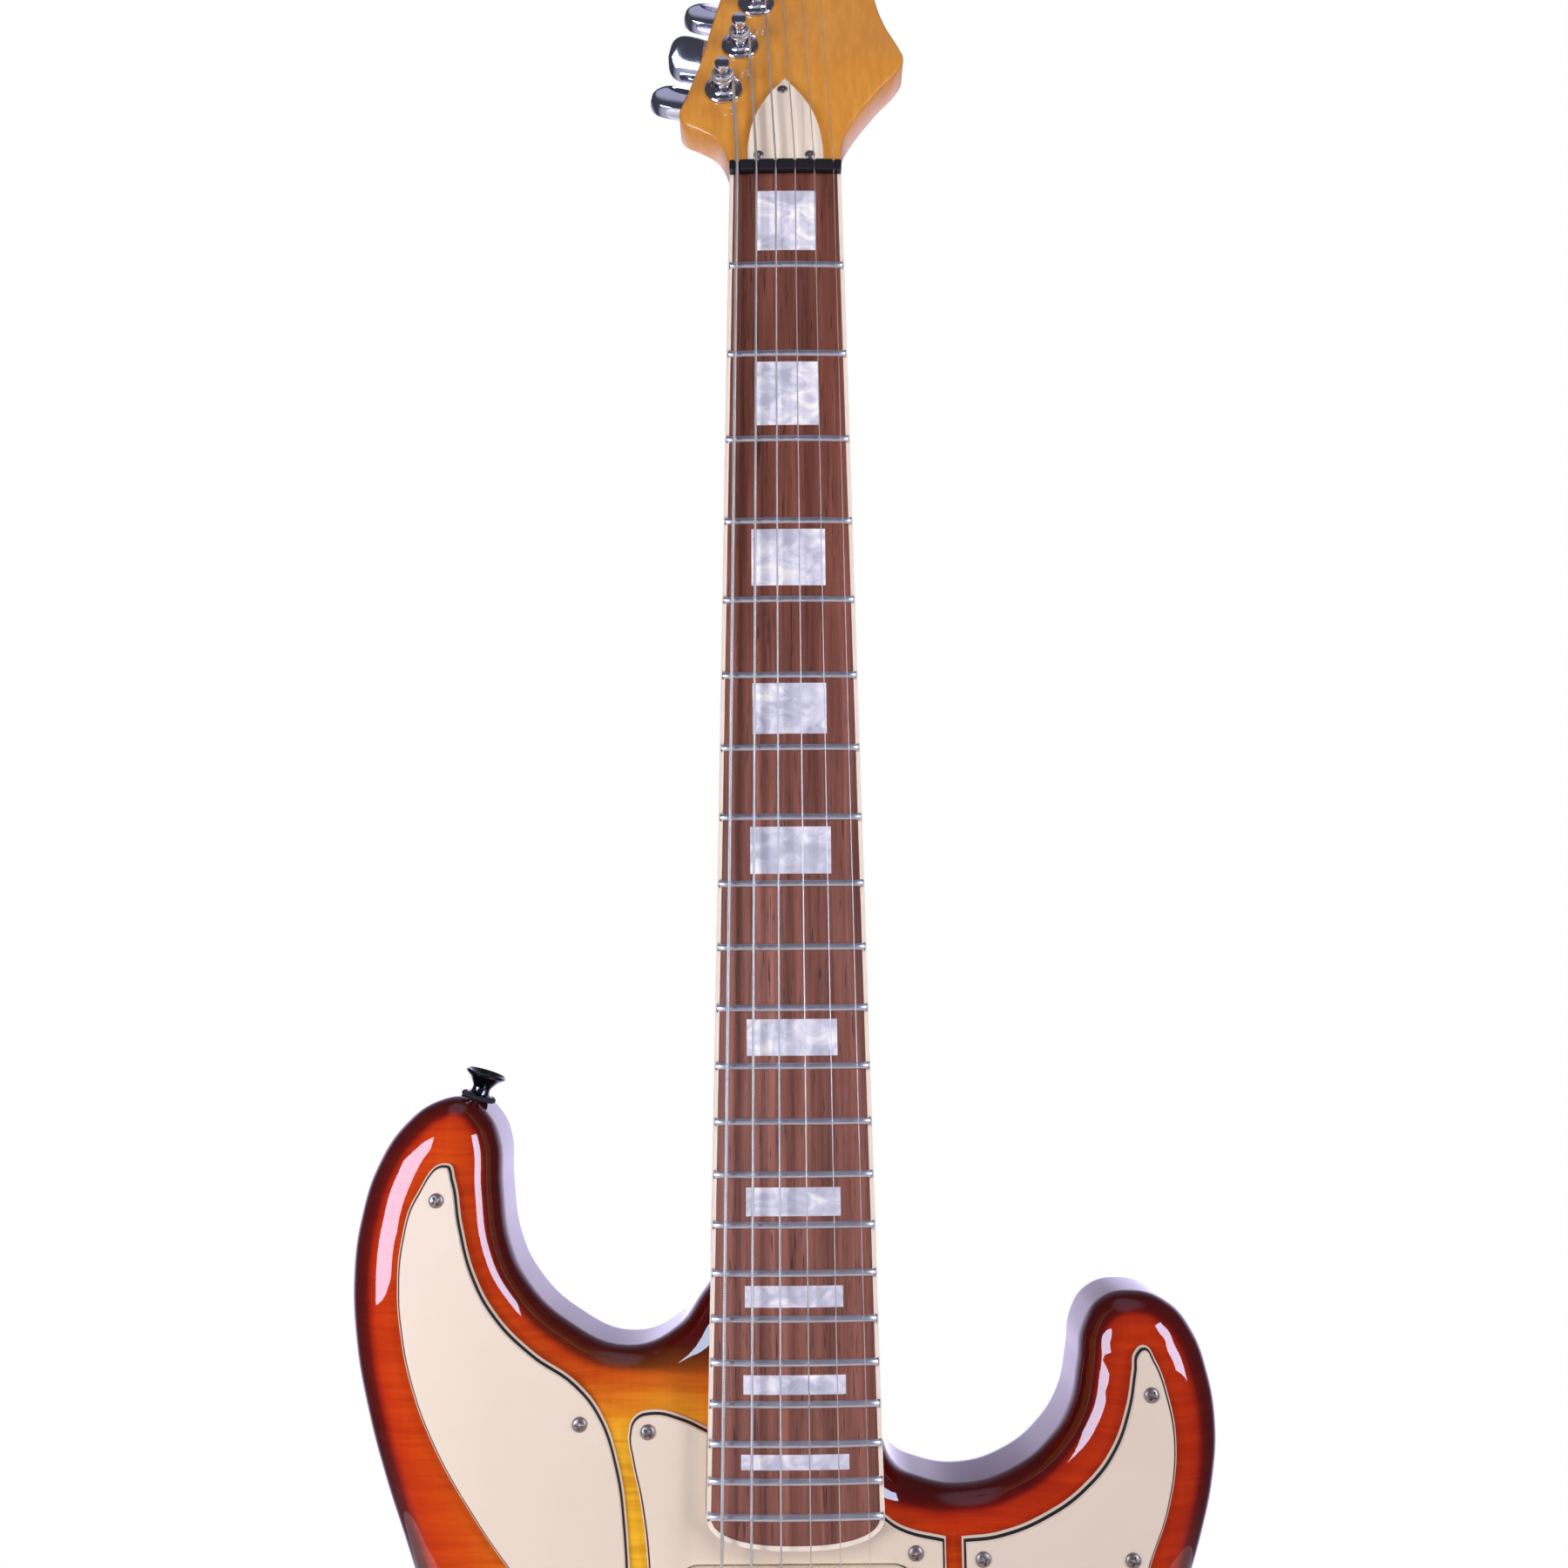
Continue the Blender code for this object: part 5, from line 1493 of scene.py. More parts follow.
@dataclass
class Neck(Assembly):
    """The neck's shaft, heel and headstock."""

    thick_nut: float = 0.0210
    thick_body: float = 0.0232
    settle_long: float = 0.030
    heel_blend: float = 0.018
    head_blend: float = 0.0375
    head_round: float = 0.0012
    hole: float = 0.0048
    rod_half: float = 0.0029
    trench_deep: float = 0.0075
    rod_past_nut: float = 0.020
    slice_step: float = 0.012
    side_power: float = 0.75
    back_power: float = 0.85
    bass_edge: tuple[Pair, ...] = (
        (-23.6, 14.5), (-26.5, 19), (-32.6, 23.4), (-38.5, 27), (-40.2, 31), (-38, 39), (-33.2, 56.2),
        (-25.5, 90.8), (-16, 125), (-6.5, 160), (-1, 177), (6, 186),
    )
    treble_edge: tuple[Pair, ...] = (
        (15, 187.5), (25, 180), (30, 165), (33, 140), (34, 112), (36.3, 90), (39.6, 77), (45, 64),
        (46.2, 59.5), (44.8, 55), (35, 41.5), (25, 25.5), (21.9, 18.4),
    )

    def section(self, along: float, half: float, top: float, depth: float, steps: int = 24) -> list[Vector]:
        """One D-shaped slice.

        Args:
            along: height of the slice.
            half: half its width.
            top: front of its flat.
            depth: how far it reaches behind the flat.
            steps: points round its back.

        Returns:
            Points from one top corner round the back to the other.
        """
        ring = []
        for step in range(steps + 1):
            angle = math.pi * step / steps
            side = math.cos(angle)
            across = half * math.copysign(abs(side) ** self.side_power, side)
            ring.append(point(across, along, top - depth * max(math.sin(angle), 0.0) ** self.back_power))
        return ring

    def shaft(self) -> Piece:
        """Loft the shaft through D-shaped slices.

        Returns:
            The shaft, from inside the heel to behind the headstock.
        """
        top, nut = PLAN.board_under - PLAN.clear, PLAN.nut_z
        heel_top = PLAN.board_end + PLAN.heel_long
        nut_depth, body_depth = self.thick_nut - PLAN.board_thick, self.thick_body - PLAN.board_thick
        settle, run_out = nut - self.settle_long, nut + self.head_blend
        run_half = PLAN.nut_width / 2 - self.head_blend / 8
        face = PLAN.board_top - PLAN.head_drop - self.head_blend * math.tan(PLAN.head_tilt)
        slices = (
            (heel_top - self.heel_blend / 2, PLAN.board_half(heel_top) - PLAN.overcut, top, body_depth),
            (heel_top + self.heel_blend, PLAN.board_half(heel_top), top, body_depth),
            (settle, PLAN.board_half(settle), top, nut_depth),
            (nut, PLAN.board_half(nut), top, nut_depth),
            (nut + PLAN.nut_long, PLAN.board_half(nut), top, nut_depth - PLAN.overcut),
            (run_out, run_half, face - 2 * PLAN.overcut, 2 * PLAN.head_thick / 3),
        )
        rings = []
        for first, after in zip(slices, slices[1:]):
            parts = max(1, round((after[0] - first[0]) / self.slice_step))
            for part in range(parts):
                share = part / parts
                rings.append(self.section(*[a + (b - a) * share for a, b in zip(first, after)]))
        return Bench.loft("neck_shaft", rings + [self.section(*slices[-1])])

    def build(self) -> None:
        """Model the neck in one piece and finish it."""
        neck = self.shaft()
        top, heel_top = PLAN.board_under - PLAN.clear, PLAN.board_end + PLAN.heel_long
        low = PLAN.body_front - PLAN.pocket_depth + PLAN.clear
        heel = Bench.outline("heel", PLAN.board_outline(0, heel_top), low, top, FACE)
        Bench.trim(neck, heel, Trim.JOINED)
        tilt = PLAN.head_tilt
        foot = (PLAN.nut_long + PLAN.clear) / math.cos(tilt)
        foot += (PLAN.board_thick - PLAN.head_drop) * math.tan(tilt)
        edge = sharp([(-PLAN.nut_width / 2, foot)]) + smooth(self.bass_edge + self.treble_edge)
        edge += sharp([(PLAN.nut_width / 2, foot)])
        head = Bench.outline("headstock", edge, -PLAN.head_thick, 0, PLAN.head, self.head_round, 3, 8)
        Bench.trim(neck, head, Trim.JOINED)
        floor = PLAN.board_under - self.trench_deep
        end = PLAN.nut_z + self.rod_past_nut + PLAN.overcut
        low = (-self.rod_half, PLAN.board_end + PLAN.heel_long / 2, floor)
        Bench.trim(neck, Bench.block("rod_trench", low, (self.rod_half, end, PLAN.board_top)))
        deep = 2 * PLAN.head_thick
        for number in range(1, PLAN.strings + 1):
            Bench.trim(neck, Bench.rod("tuner_hole", self.hole, (-deep, deep), PLAN.tuner(number), 20))
        neck.name = "maple_neck"
        self.fit(Bench.soften(neck, 38), MAPLE, Slot.MAPLE, stands_for=["neck"])
        self.keep("truss_rod", STEEL)


@dataclass
class Fingerboard(Assembly):
    """The crowned board with its binding, frets, inlays and nut."""

    binding_wide: float = 0.0015
    fret_radius: float = 0.00125
    fret_rise: float = 0.0011
    fret_sunk: float = 0.00015
    fret_round: float = 0.0004
    fret_steps: int = 16
    end_facing: float = 0.9
    inlay_deep: float = 0.0012
    inlay_proud: float = 0.00004
    nut_lip: float = 0.0004
    nut_round: float = 0.0006
    inlays: tuple[Corner, ...] = (
        (7.3, 30.7, 22.2), (73.9, 98.0, 22.8), (136.8, 157.5, 26.2), (192.7, 210.7, 25.8),
        (243.2, 259.4, 27.8), (308.5, 320.6, 30.5), (363.5, 372.7, 31.4), (394.8, 401.6, 32.3),
        (422.7, 428.7, 33.4), (447.1, 451.8, 35.0),
    )

    def build(self) -> None:
        """Model and dress the board, from the wood up to the nut."""
        top, high = PLAN.nut_z - PLAN.clear, PLAN.board_top + 2 * PLAN.fret_high
        outline = PLAN.board_outline(self.binding_wide + PLAN.clear / 4, top)
        board = Bench.outline("rosewood_board", outline, PLAN.board_under, high, FACE)
        Bench.trim(board, Bench.crown(PLAN.crown_radius), Trim.SHARED)
        self.fit(Bench.soften(board, 20), ROSEWOOD, Slot.ROSEWOOD, stands_for=["fingerboard"])
        outer, inner = PLAN.board_side(0, top), PLAN.board_side(self.binding_wide, top)
        strip = outer + [(-across, along) for across, along in reversed(outer[:-1])]
        strip += [(-across, along) for across, along in inner] + list(reversed(inner[:-1]))
        binding = Bench.outline("board_binding", sharp(strip), PLAN.board_under, high, FACE)
        Bench.trim(binding, Bench.crown(PLAN.crown_radius - self.fret_sunk / 3), Trim.SHARED)
        self.fit(Bench.soften(binding, 30), BINDING, Slot.CREAM, stands_for=["fingerboard_binding"])
        self.add_frets()
        self.add_inlays()
        self.add_nut()

    def add_frets(self) -> None:
        """Bend one round bar over the crown for each fret, with rounded ends over the binding."""
        bars = []
        for number in range(1, PLAN.frets + 1):
            along = PLAN.fret_z(number)
            half = PLAN.board_half(along) - 2 * PLAN.clear
            middle = PLAN.board_top + self.fret_rise - self.fret_radius
            route = []
            for step in range(self.fret_steps + 1):
                across = half * (2 * step / self.fret_steps - 1)
                route.append(point(across, along, middle - PLAN.crown_drop(across)))
            bar = Bench.wire(f"fret_{number}", route, self.fret_radius, 3)
            with Bench.faces(bar, lambda face: abs(face.normal.x) > self.end_facing):
                bpy.ops.mesh.bevel(offset=self.fret_round, segments=2, affect="EDGES")
            bars.append(bar)
        self.fit(Bench.soften(Bench.join("fret_wires", *bars), 50), NICKEL, Slot.STEEL)

    def add_inlays(self) -> None:
        """Set pearl blocks into the board, flush with its crown."""
        top, blocks = PLAN.board_top, []
        for number, (start, stop, wide) in enumerate(self.inlays):
            low = (-wide * MM / 2, PLAN.nut_z - stop * MM, top - self.inlay_deep)
            high = (wide * MM / 2, PLAN.nut_z - start * MM, top + PLAN.fret_high)
            blocks.append(Bench.block(f"inlay_{number}", low, high))
        inlays = Bench.join("pearl_inlays", *blocks)
        Bench.trim(inlays, Bench.crown(PLAN.crown_radius + self.inlay_proud), Trim.SHARED)
        self.fit(Bench.soften(inlays, 20), PEARL, Slot.CREAM)

    def add_nut(self) -> None:
        """Shape the nut to the crown, round its top and cut its slots."""
        lip = PLAN.string_height(0, PLAN.nut_action, PLAN.gauges[-1]) + self.nut_lip
        half, low = PLAN.nut_width / 2, PLAN.nut_z
        nut = Bench.block("slotted_nut", (-half, low, PLAN.board_under), (half, low + PLAN.nut_long, lip))
        Bench.trim(nut, Bench.crown(PLAN.crown_radius + lip - PLAN.board_top), Trim.SHARED)
        limit = math.radians(40)
        Bench.modify(nut, "BEVEL", width=self.nut_round, segments=3, limit_method="ANGLE", angle_limit=limit)
        for number, gauge in enumerate(PLAN.gauges, start=1):
            across = PLAN.string_place(number)[1]
            side = gauge / 2 + PLAN.clear
            under = PLAN.string_height(across, PLAN.nut_action, gauge) - gauge / 2
            start = (across - side, low - PLAN.nut_long, under - PLAN.nut_fall - PLAN.clear)
            stop = (across + side, low + 2 * PLAN.nut_long, 2 * lip)
            Bench.trim(nut, Bench.block("slot", start, stop))
        self.fit(Bench.soften(nut, 40), BLACK, Slot.BLACK, stands_for=["nut"])


@dataclass
class HeadFittings(Assembly):
    """The truss rod's cover with its screws."""

    thick: float = 0.0020
    half: float = 0.0142
    foot: float = 0.0056
    shoulder: tuple[Pair, ...] = ((13.8, 15), (11.4, 27), (6.8, 37))
    tip: float = 0.0465
    rounding: float = 0.0004
    screw_size: Corner = (0.0019, 0.0008, 0.0003)
    screws: tuple[Pair, ...] = ((-0.8, 40.4), (-9.9, 7.9), (9.2, 7.8))

    def build(self) -> None:
        """Model the pointed cover, soften its rim and screw it down."""
        right = sharp([(self.half, self.foot)]) + smooth(self.shoulder)
        left = [(-across, along, corner) for across, along, corner in reversed(right)]
        knots = right + sharp([(0, self.tip)]) + left
        low, high = PLAN.clear, PLAN.clear + self.thick
        cover = Bench.outline("rod_cover", knots, low, high, PLAN.head, self.rounding, 2, 10)
        self.fit(Bench.soften(cover, 40), COVER, Slot.CREAM, stands_for=["truss_rod_cover"])
        places = [PLAN.head @ Matrix.Translation((x * MM, y * MM, high)) for x, y in self.screws]
        PanScrew(*self.screw_size).scatter("cover_screws", places)


@dataclass
class FrontPlates(Assembly):
    """The three cream plates with bevelled edges, and their screws."""

    bevel_wide: float = 0.0016
    bevel_deep: float = 0.0022
    weld_share: float = 0.4
    front_facing: float = 0.99
    centre_edge: float = 0.0490
    treble_edge: float = 0.0542
    centre_stop: float = 0.0050
    plate_head: float = 0.0006
    notch_gap: float = 0.0005
    pot_hole: float = 0.0049
    lever_half: float = 0.0020
    lever_reach: float = 0.0080
    treble_foot: float = -0.218
    bass: tuple[Pair, ...] = (
        (-117, 120), (-114.3, 114.5), (-111.6, 100), (-106.5, 83), (-98.8, 70.3), (-86.6, 58.8),
        (-72.5, 49.5), (-64, 39.5), (-58, 23.5), (-55, 4), (-54, -20), (-55.5, -40), (-60, -45), (-67, -39),
        (-80, -24), (-94, -8), (-107, 9.5), (-119.3, 29.5), (-127.5, 49), (-131.7, 67), (-132.9, 79),
        (-132, 95), (-127.6, 109.5),
    )
    centre_left: tuple[Pair, ...] = (
        (-18, 30), (-29, 35), (-37, 38.5), (-47, 40.5), (-53, 38.5), (-55, 33), (-54, 25.5), (-51, 12.5),
        (-48.5, -6), (-47.5, -40),
    )
    centre_right: tuple[Pair, ...] = ((34.5, 4.2), (28, 8.5), (18, 16))
    treble_top: tuple[Pair, ...] = (
        (66.5, 2), (82.5, 8), (95, 16.5), (104, 27), (109.5, 40), (112, 52), (113, 57.5), (116.5, 59.7),
        (120, 55), (123.5, 45), (125.7, 29), (122.5, 9), (115.5, -9), (106, -40), (102, -75), (106, -110),
        (116, -145), (120, -175), (114, -205), (98, -222), (76, -225),
    )
    screws: tuple[Pair, ...] = (
        (-120.1, -368.1), (-70.8, -439.6), (-48.3, -442.1), (39.0, -479.8), (117.7, -431.7), (60.8, -481.8),
        (109.4, -482.5), (-62.0, -515.0), (-44.0, -605.0), (44.0, -605.0), (60.0, -688.0), (111.0, -655.0),
    )

    def plate(self, name: str, knots: Sequence[Knot]) -> Piece:
        """One plate with a bevel all round its front.

        Args:
            name: the plate's name.
            knots: its outline.

        Returns:
            The plate before its openings are cut.
        """
        made = Bench.outline(name, knots, PLAN.plate_under, PLAN.plate_top, FACE, finesse=10)
        with Bench.faces(made, lambda face: face.normal.y < -self.front_facing):
            bpy.ops.mesh.dissolve_faces()
            bpy.ops.mesh.inset(thickness=self.bevel_wide, depth=0.0)
            bpy.ops.mesh.remove_doubles(threshold=self.weld_share * self.bevel_wide)
        fronts = [face for face in made.data.polygons if face.normal.y < -self.front_facing]
        inside = set(max(fronts, key=lambda face: face.area).vertices)
        for spot in made.data.vertices:
            if spot.index not in inside and spot.co.y < -PLAN.plate_top + TINY:
                spot.co.y += self.bevel_deep
        return made

    def build(self) -> None:
        """Model the plates, cut their openings, dress them and screw them down."""
        end, low, high = PLAN.board_end, PLAN.plate_under - PLAN.overcut, PLAN.plate_top + PLAN.overcut
        bass = self.plate("bass_plate", above(end, smooth(self.bass)))
        self.fit(Bench.soften(bass, 25), LAYERED, Slot.CREAM, stands_for=["pickguard_bass"])
        foot = PLAN.pickup_places[-1] - PLAN.pickup_long / 2 - self.centre_stop
        head, edge = end + self.plate_head, self.centre_edge
        knots = above(end, smooth(self.centre_left))
        knots += sharp([(-edge, foot), (edge, foot), (edge, head)]) + above(end, smooth(self.centre_right))
        centre = self.plate("centre_plate", knots)
        notch = PLAN.board_outline(-self.notch_gap, PLAN.nut_z)
        Bench.trim(centre, Bench.outline("notch", notch, low, high, FACE))
        for middle in PLAN.pickup_places:
            opening = PLAN.pickup_outline(middle, PLAN.pickup_gap)
            Bench.trim(centre, Bench.outline("opening", opening, low, high, FACE))
        self.fit(Bench.soften(centre, 25), LAYERED, Slot.CREAM, stands_for=["pickguard_centre"])
        knots = sharp([(self.treble_edge, head)]) + above(end, smooth(self.treble_top))
        knots += sharp([(self.treble_edge, end + self.treble_foot)])
        treble = self.plate("treble_plate", knots)
        ends = (-PLAN.plate_thick, 2 * PLAN.plate_thick)
        for across, along in (PLAN.volume_place, PLAN.tone_place):
            place = axis_at(across, PLAN.body_foot + along, PLAN.plate_under)
            Bench.trim(treble, Bench.rod("pot_hole", self.pot_hole, ends, place))
        across, along = PLAN.selector_place[0], PLAN.body_foot + PLAN.selector_place[1]
        start = (across - self.lever_half, along - self.lever_reach, low)
        slot = Bench.block("lever_slot", start, (across + self.lever_half, along + self.lever_reach, high))
        Bench.trim(treble, slot)
        self.fit(Bench.soften(treble, 25), LAYERED, Slot.CREAM, stands_for=["pickguard_treble"])
        places = [axis_at(x * MM, PLAN.nut_z + z * MM, PLAN.plate_top) for x, z in self.screws]
        PanScrew().scatter("plate_screws", places)


@dataclass
class Pickups(Assembly):
    """Three covered pickups with pole screws."""

    rise: float = 0.0060
    rounding: float = 0.0016
    pole_radius: float = 0.0021
    pole_rise: float = 0.0007
    pole_deep: float = 0.0020
    pole_slot: float = 0.18
    pole_turn: float = 0.5

    def build(self) -> None:
        """Model one cover and its row of poles, and copy them to their places."""
        front = PLAN.plate_top
        knots = PLAN.pickup_outline(0, 0, 10)
        low, high = front - PLAN.pickup_deep, front + self.rise
        cover = Bench.outline("cover", knots, low, high, FACE, self.rounding, 4)
        Bench.soften(cover, 50)
        row = self.poles()
        for name, middle in zip(("neck_pickup", "middle_pickup", "bridge_pickup"), PLAN.pickup_places):
            place = Matrix.Translation((0, 0, middle))
            self.fit(Bench.copy(cover, f"{name}_cover", place), CREAM, Slot.CREAM, stands_for=[name])
            self.fit(Bench.copy(row, f"{name}_poles", place), NICKEL, Slot.STEEL)
        Bench.discard(cover, row)

    def poles(self) -> Piece:
        """Slot one pole screw and copy it.

        Returns:
            A row of six poles under the strings.
        """
        size, rise, deep = self.pole_radius, self.pole_rise, self.pole_deep
        profile = [(0, rise), (0.8 * size, rise), (size, 0.6 * rise), (size, -deep), (0, -deep)]
        pole = Bench.lathe("pole", profile, UPRIGHT, 20)
        half = self.pole_slot * size
        slot = Bench.block("slot", (-2 * size, 0.4 * rise, -half), (2 * size, 2 * rise, half))
        Bench.trim(pole, slot)
        Bench.soften(pole, 40)
        copies = []
        for number in range(1, PLAN.strings + 1):
            place = axis_at(PLAN.string_place(number)[0], 0, PLAN.plate_top + self.rise)
            turned = place @ Matrix.Rotation(self.pole_turn * number, 4, "Z")
            copies.append(Bench.copy(pole, f"pole_{number}", turned))
        Bench.discard(pole)
        return Bench.join("pole_row", *copies)


@dataclass
class Tuners(Assembly):
    """Six tuners in line: geared housing, post and button."""

    post_waist: float = 0.0022
    post_tall: float = 0.0126
    bushing: float = 0.0045
    flange: float = 0.0072
    flange_tall: float = 0.0030
    collar: tuple[Pair, ...] = (
        (0.57, 1), (0.62, 0.92), (0.66, 0.66), (0.76, 0.42), (0.84, 0.36), (0.96, 0.33), (1, 0.22),
    )
    case_deep: float = 0.0095
    case_round: float = 0.0014
    case_wall: float = 0.0016
    case_inner: float = 0.0095
    case_outer: float = 0.0100
    case_side: float = 0.0062
    worm_offset: float = 0.0070
    worm_depth: float = 0.0048
    worm_radius: float = 0.0021
    gear_radius: float = 0.0045
    gear_thick: float = 0.0034
    room_top: float = 0.010
    room_out: float = 0.020
    button_start: float = 0.0178
    button_long: float = 0.0145
    button_wide: float = 0.0174
    button_thick: float = 0.0076
    button_round: float = 0.0006
    button_dome: float = 0.0012
    button_foot: float = 0.92
    button_slices: int = 14
    button_turns: tuple[float, ...] = (15, -50, 15, 60, -20, 35)

    def housing(self) -> Piece:
        """Hollow out the case and turn its bushing and flange.

        Returns:
            The housing in a tuner's frame.
        """
        back, clear = -PLAN.head_thick, PLAN.clear
        low_side = -self.worm_offset - self.worm_radius - self.case_wall
        left, right, side = -self.case_inner, self.case_outer, self.case_side
        corners = sharp([(left, low_side), (right, low_side), (right, side), (left, side)])
        low, high = back - self.case_deep, back - clear
        case = Bench.outline("case", corners, low, high, UPRIGHT, self.case_round, 4)
        bore, room = PLAN.post_radius + clear, self.gear_radius + clear
        gear_low, gear_top = self.gear_ends
        hollow = [
            (0, self.room_top), (bore, self.room_top), (bore, gear_top + clear), (room, gear_top + clear),
            (room, gear_low - clear), (0, gear_low - clear),
        ]
        Bench.trim(case, Bench.lathe("gear_room", hollow, UPRIGHT, 24))
        ends, size = (self.case_wall - self.case_inner, self.room_out), self.worm_radius + clear
        Bench.trim(case, Bench.rod("worm_room", size, ends, self.worm_place() @ ALONG_X, 20))
        size, tall = self.flange, self.flange_tall
        rings = [(bore, tall)] + scaled(self.collar, size, tall) + [(size, clear), (self.bushing, clear)]
        rings += [(self.bushing, back - clear), (bore, back - clear)]
        collar = Bench.lathe("collar", rings, UPRIGHT, 40)
        return Bench.soften(Bench.join("housing", case, collar), 32)

    @property
    def gear_ends(self) -> Pair:
        """Heights of the gear's underside and top in a tuner's frame."""
        middle = -PLAN.head_thick - self.worm_depth
        return middle - self.gear_thick / 2, middle + self.gear_thick / 2

    def worm_place(self) -> Matrix:
        """Frame of the worm shaft in a tuner's frame."""
        return Matrix.Translation((0, -self.worm_offset, -PLAN.head_thick - self.worm_depth))

    def post(self) -> Piece:
        """Turn the post with its capped top.

        Returns:
            The post with the gear at its foot, in a tuner's frame.
        """
        size, waist, top = PLAN.post_radius, self.post_waist, self.post_tall
        gear_low, gear_top = self.gear_ends
        profile = [
            (0, top), (0.70 * size, top), (0.90 * size, top - 0.0002), (size, top - 0.0007),
            (size, top - 0.0024), (0.94 * size, top - 0.0027), (waist, top - 0.0029), (waist, top - 0.0036),
            (0.92 * size, top - 0.0039), (0.96 * size, top - 0.0046), (waist, top - 0.0056),
            (waist, 0.0050), (0.9 * size, 0.0042), (size, 0.0036), (size, gear_top),
            (self.gear_radius, gear_top), (self.gear_radius, gear_low), (0, gear_low),
        ]
        return Bench.soften(Bench.lathe("post", profile, UPRIGHT, 32), 32)

    def button_ring(self, share: float, scale: float = 1.0) -> list[Vector]:
        """One slice across the button.

        Args:
            share: how far out the slice lies, from 0 to 1.
            scale: how much of the full slice there is.

        Returns:
            Points round the slice, with domed faces and eased corners.
        """
        ease = self.button_round
        half = scale * self.button_wide / 2 * (0.92 + 0.25 * share * (1 - share)) * (1 - share**5) ** 0.4
        side = scale * (self.button_thick / 2 - self.button_dome) * (1 - share**9) ** 0.5
        flat = max(half - ease, half / 2)
        rise = self.button_dome * scale
        top = [(flat * step / 5, side + rise * (1 - (step / 5) ** 2)) for step in range(-5, 6)]
        right = [(half - 0.3 * (half - flat), side - 0.3 * ease), (half, side - ease)]
        quarter = top + right + [(across, -high) for across, high in reversed(right)]
        ring = quarter + [(-across, -high) for across, high in quarter]
        return [Vector((self.button_start + share * self.button_long, *spot)) for spot in ring]

    def button(self) -> Piece:
        """Loft the D-shaped button and turn its shaft.

        Returns:
            The button with its worm shaft, along X.
        """
        start = self.button_start
        rings = [self.button_ring(0, self.button_foot)]
        for step in range(self.button_slices + 1):
            rings.append(self.button_ring(0.02 + 0.98 * math.sin(1.47 * step / self.button_slices)))
        paddle = Bench.loft("paddle", rings)
        size, foot = self.worm_radius, self.case_outer + PLAN.clear
        inner = self.case_wall - self.case_inner + PLAN.clear
        shaft = Bench.lathe("shaft", [
            (0, start + 0.004), (1.25 * size, start + 0.004), (1.25 * size, start - 0.0018),
            (1.6 * size, start - 0.0024), (1.6 * size, foot + 0.0006), (1.45 * size, foot), (size, foot),
            (size, inner), (0, inner),
        ], ALONG_X, 28)
        return Bench.soften(Bench.join("button", paddle, shaft), 38)

    def build(self) -> None:
        """Model one tuner and copy it to each string."""
        housing, post, button = self.housing(), self.post(), self.button()
        for number in range(1, PLAN.strings + 1):
            place = PLAN.tuner(number)
            turn = math.radians(self.button_turns[PLAN.strings - number])
            shell = Bench.copy(housing, f"tuner_case_{number}", place)
            self.fit(shell, CHROME, Slot.CHROME, stands_for=[f"tuner_housing_{number}"])
            turned = Bench.copy(post, f"string_post_{number}", place)
            self.fit(turned, CHROME, Slot.CHROME, f"post_{number}", [f"tuner_post_{number}"])
            spun = place @ self.worm_place() @ Matrix.Rotation(turn, 4, "X")
            grip = Bench.copy(button, f"tuning_button_{number}", spun)
            self.fit(grip, CHROME, Slot.CHROME, f"button_{number}", [f"tuner_button_{number}"])
        Bench.discard(housing, post, button)


@dataclass
class Strings(Assembly):
    """Six strings from the block, over saddle and nut, to their turns on the posts."""

    wound_from: int = 4
    in_block: float = 0.018
    wrap_start: float = 0.0042
    wrap_gap: float = 0.00055
    turns: int = 2
    knots_a_turn: int = 30

    def route(self, number: int) -> list[Vector]:
        """The line of one string.

        Args:
            number: the string's number.

        Returns:
            Points from inside the block to the last turn on the post.
        """
        gauge = PLAN.gauges[number - 1]
        at_bridge, at_nut = PLAN.string_place(number)
        high = PLAN.string_height(at_bridge, PLAN.saddle_action, gauge)
        nut_high = PLAN.string_height(at_nut, PLAN.nut_action, gauge)
        hole, bend = PLAN.bridge_z - PLAN.hole_behind, PLAN.string_bend
        line = [
            point(at_bridge, hole, PLAN.bridge_under - self.in_block),
            point(at_bridge, hole, PLAN.bridge_top - bend),
            point(at_bridge, hole + bend / 2, PLAN.bridge_top + bend),
            point(at_bridge, PLAN.bridge_z - bend, high - bend / 4),
            point(at_bridge, PLAN.bridge_z, high),
            point(at_nut, PLAN.nut_z, nut_high),
            point(at_nut, PLAN.nut_z + PLAN.nut_long, nut_high - PLAN.nut_fall),
        ]
        across, up = PLAN.post_place(number)
        radius = PLAN.post_radius + gauge / 2 + PLAN.clear
        lean = math.atan2(at_nut - across - radius, up - PLAN.nut_long)
        pitch = gauge + self.wrap_gap
        for knot in range(self.turns * self.knots_a_turn + 1):
            share = knot / self.knots_a_turn
            angle, rise = lean + 2 * math.pi * share, self.wrap_start + gauge / 2 + pitch * share
            spot = Vector((across + radius * math.cos(angle), up + radius * math.sin(angle), rise))
            line.append(PLAN.head @ spot)
        return line

    def build(self) -> None:
        """Draw each wire, dress it and set its place into its mesh."""
        for number, gauge in enumerate(PLAN.gauges, start=1):
            wire = Bench.wire(f"steel_string_{number}", self.route(number), gauge / 2, 2)
            finish = WOUND if number >= self.wound_from else PLAIN
            self.coat(Bench.soften(wire, 60), finish, Slot.STEEL, [f"string_{number}"])
            front = PLAN.board_top
            start, stop = point(0, PLAN.nut_z, front), point(0, PLAN.bridge_z, front)
            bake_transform(wire)


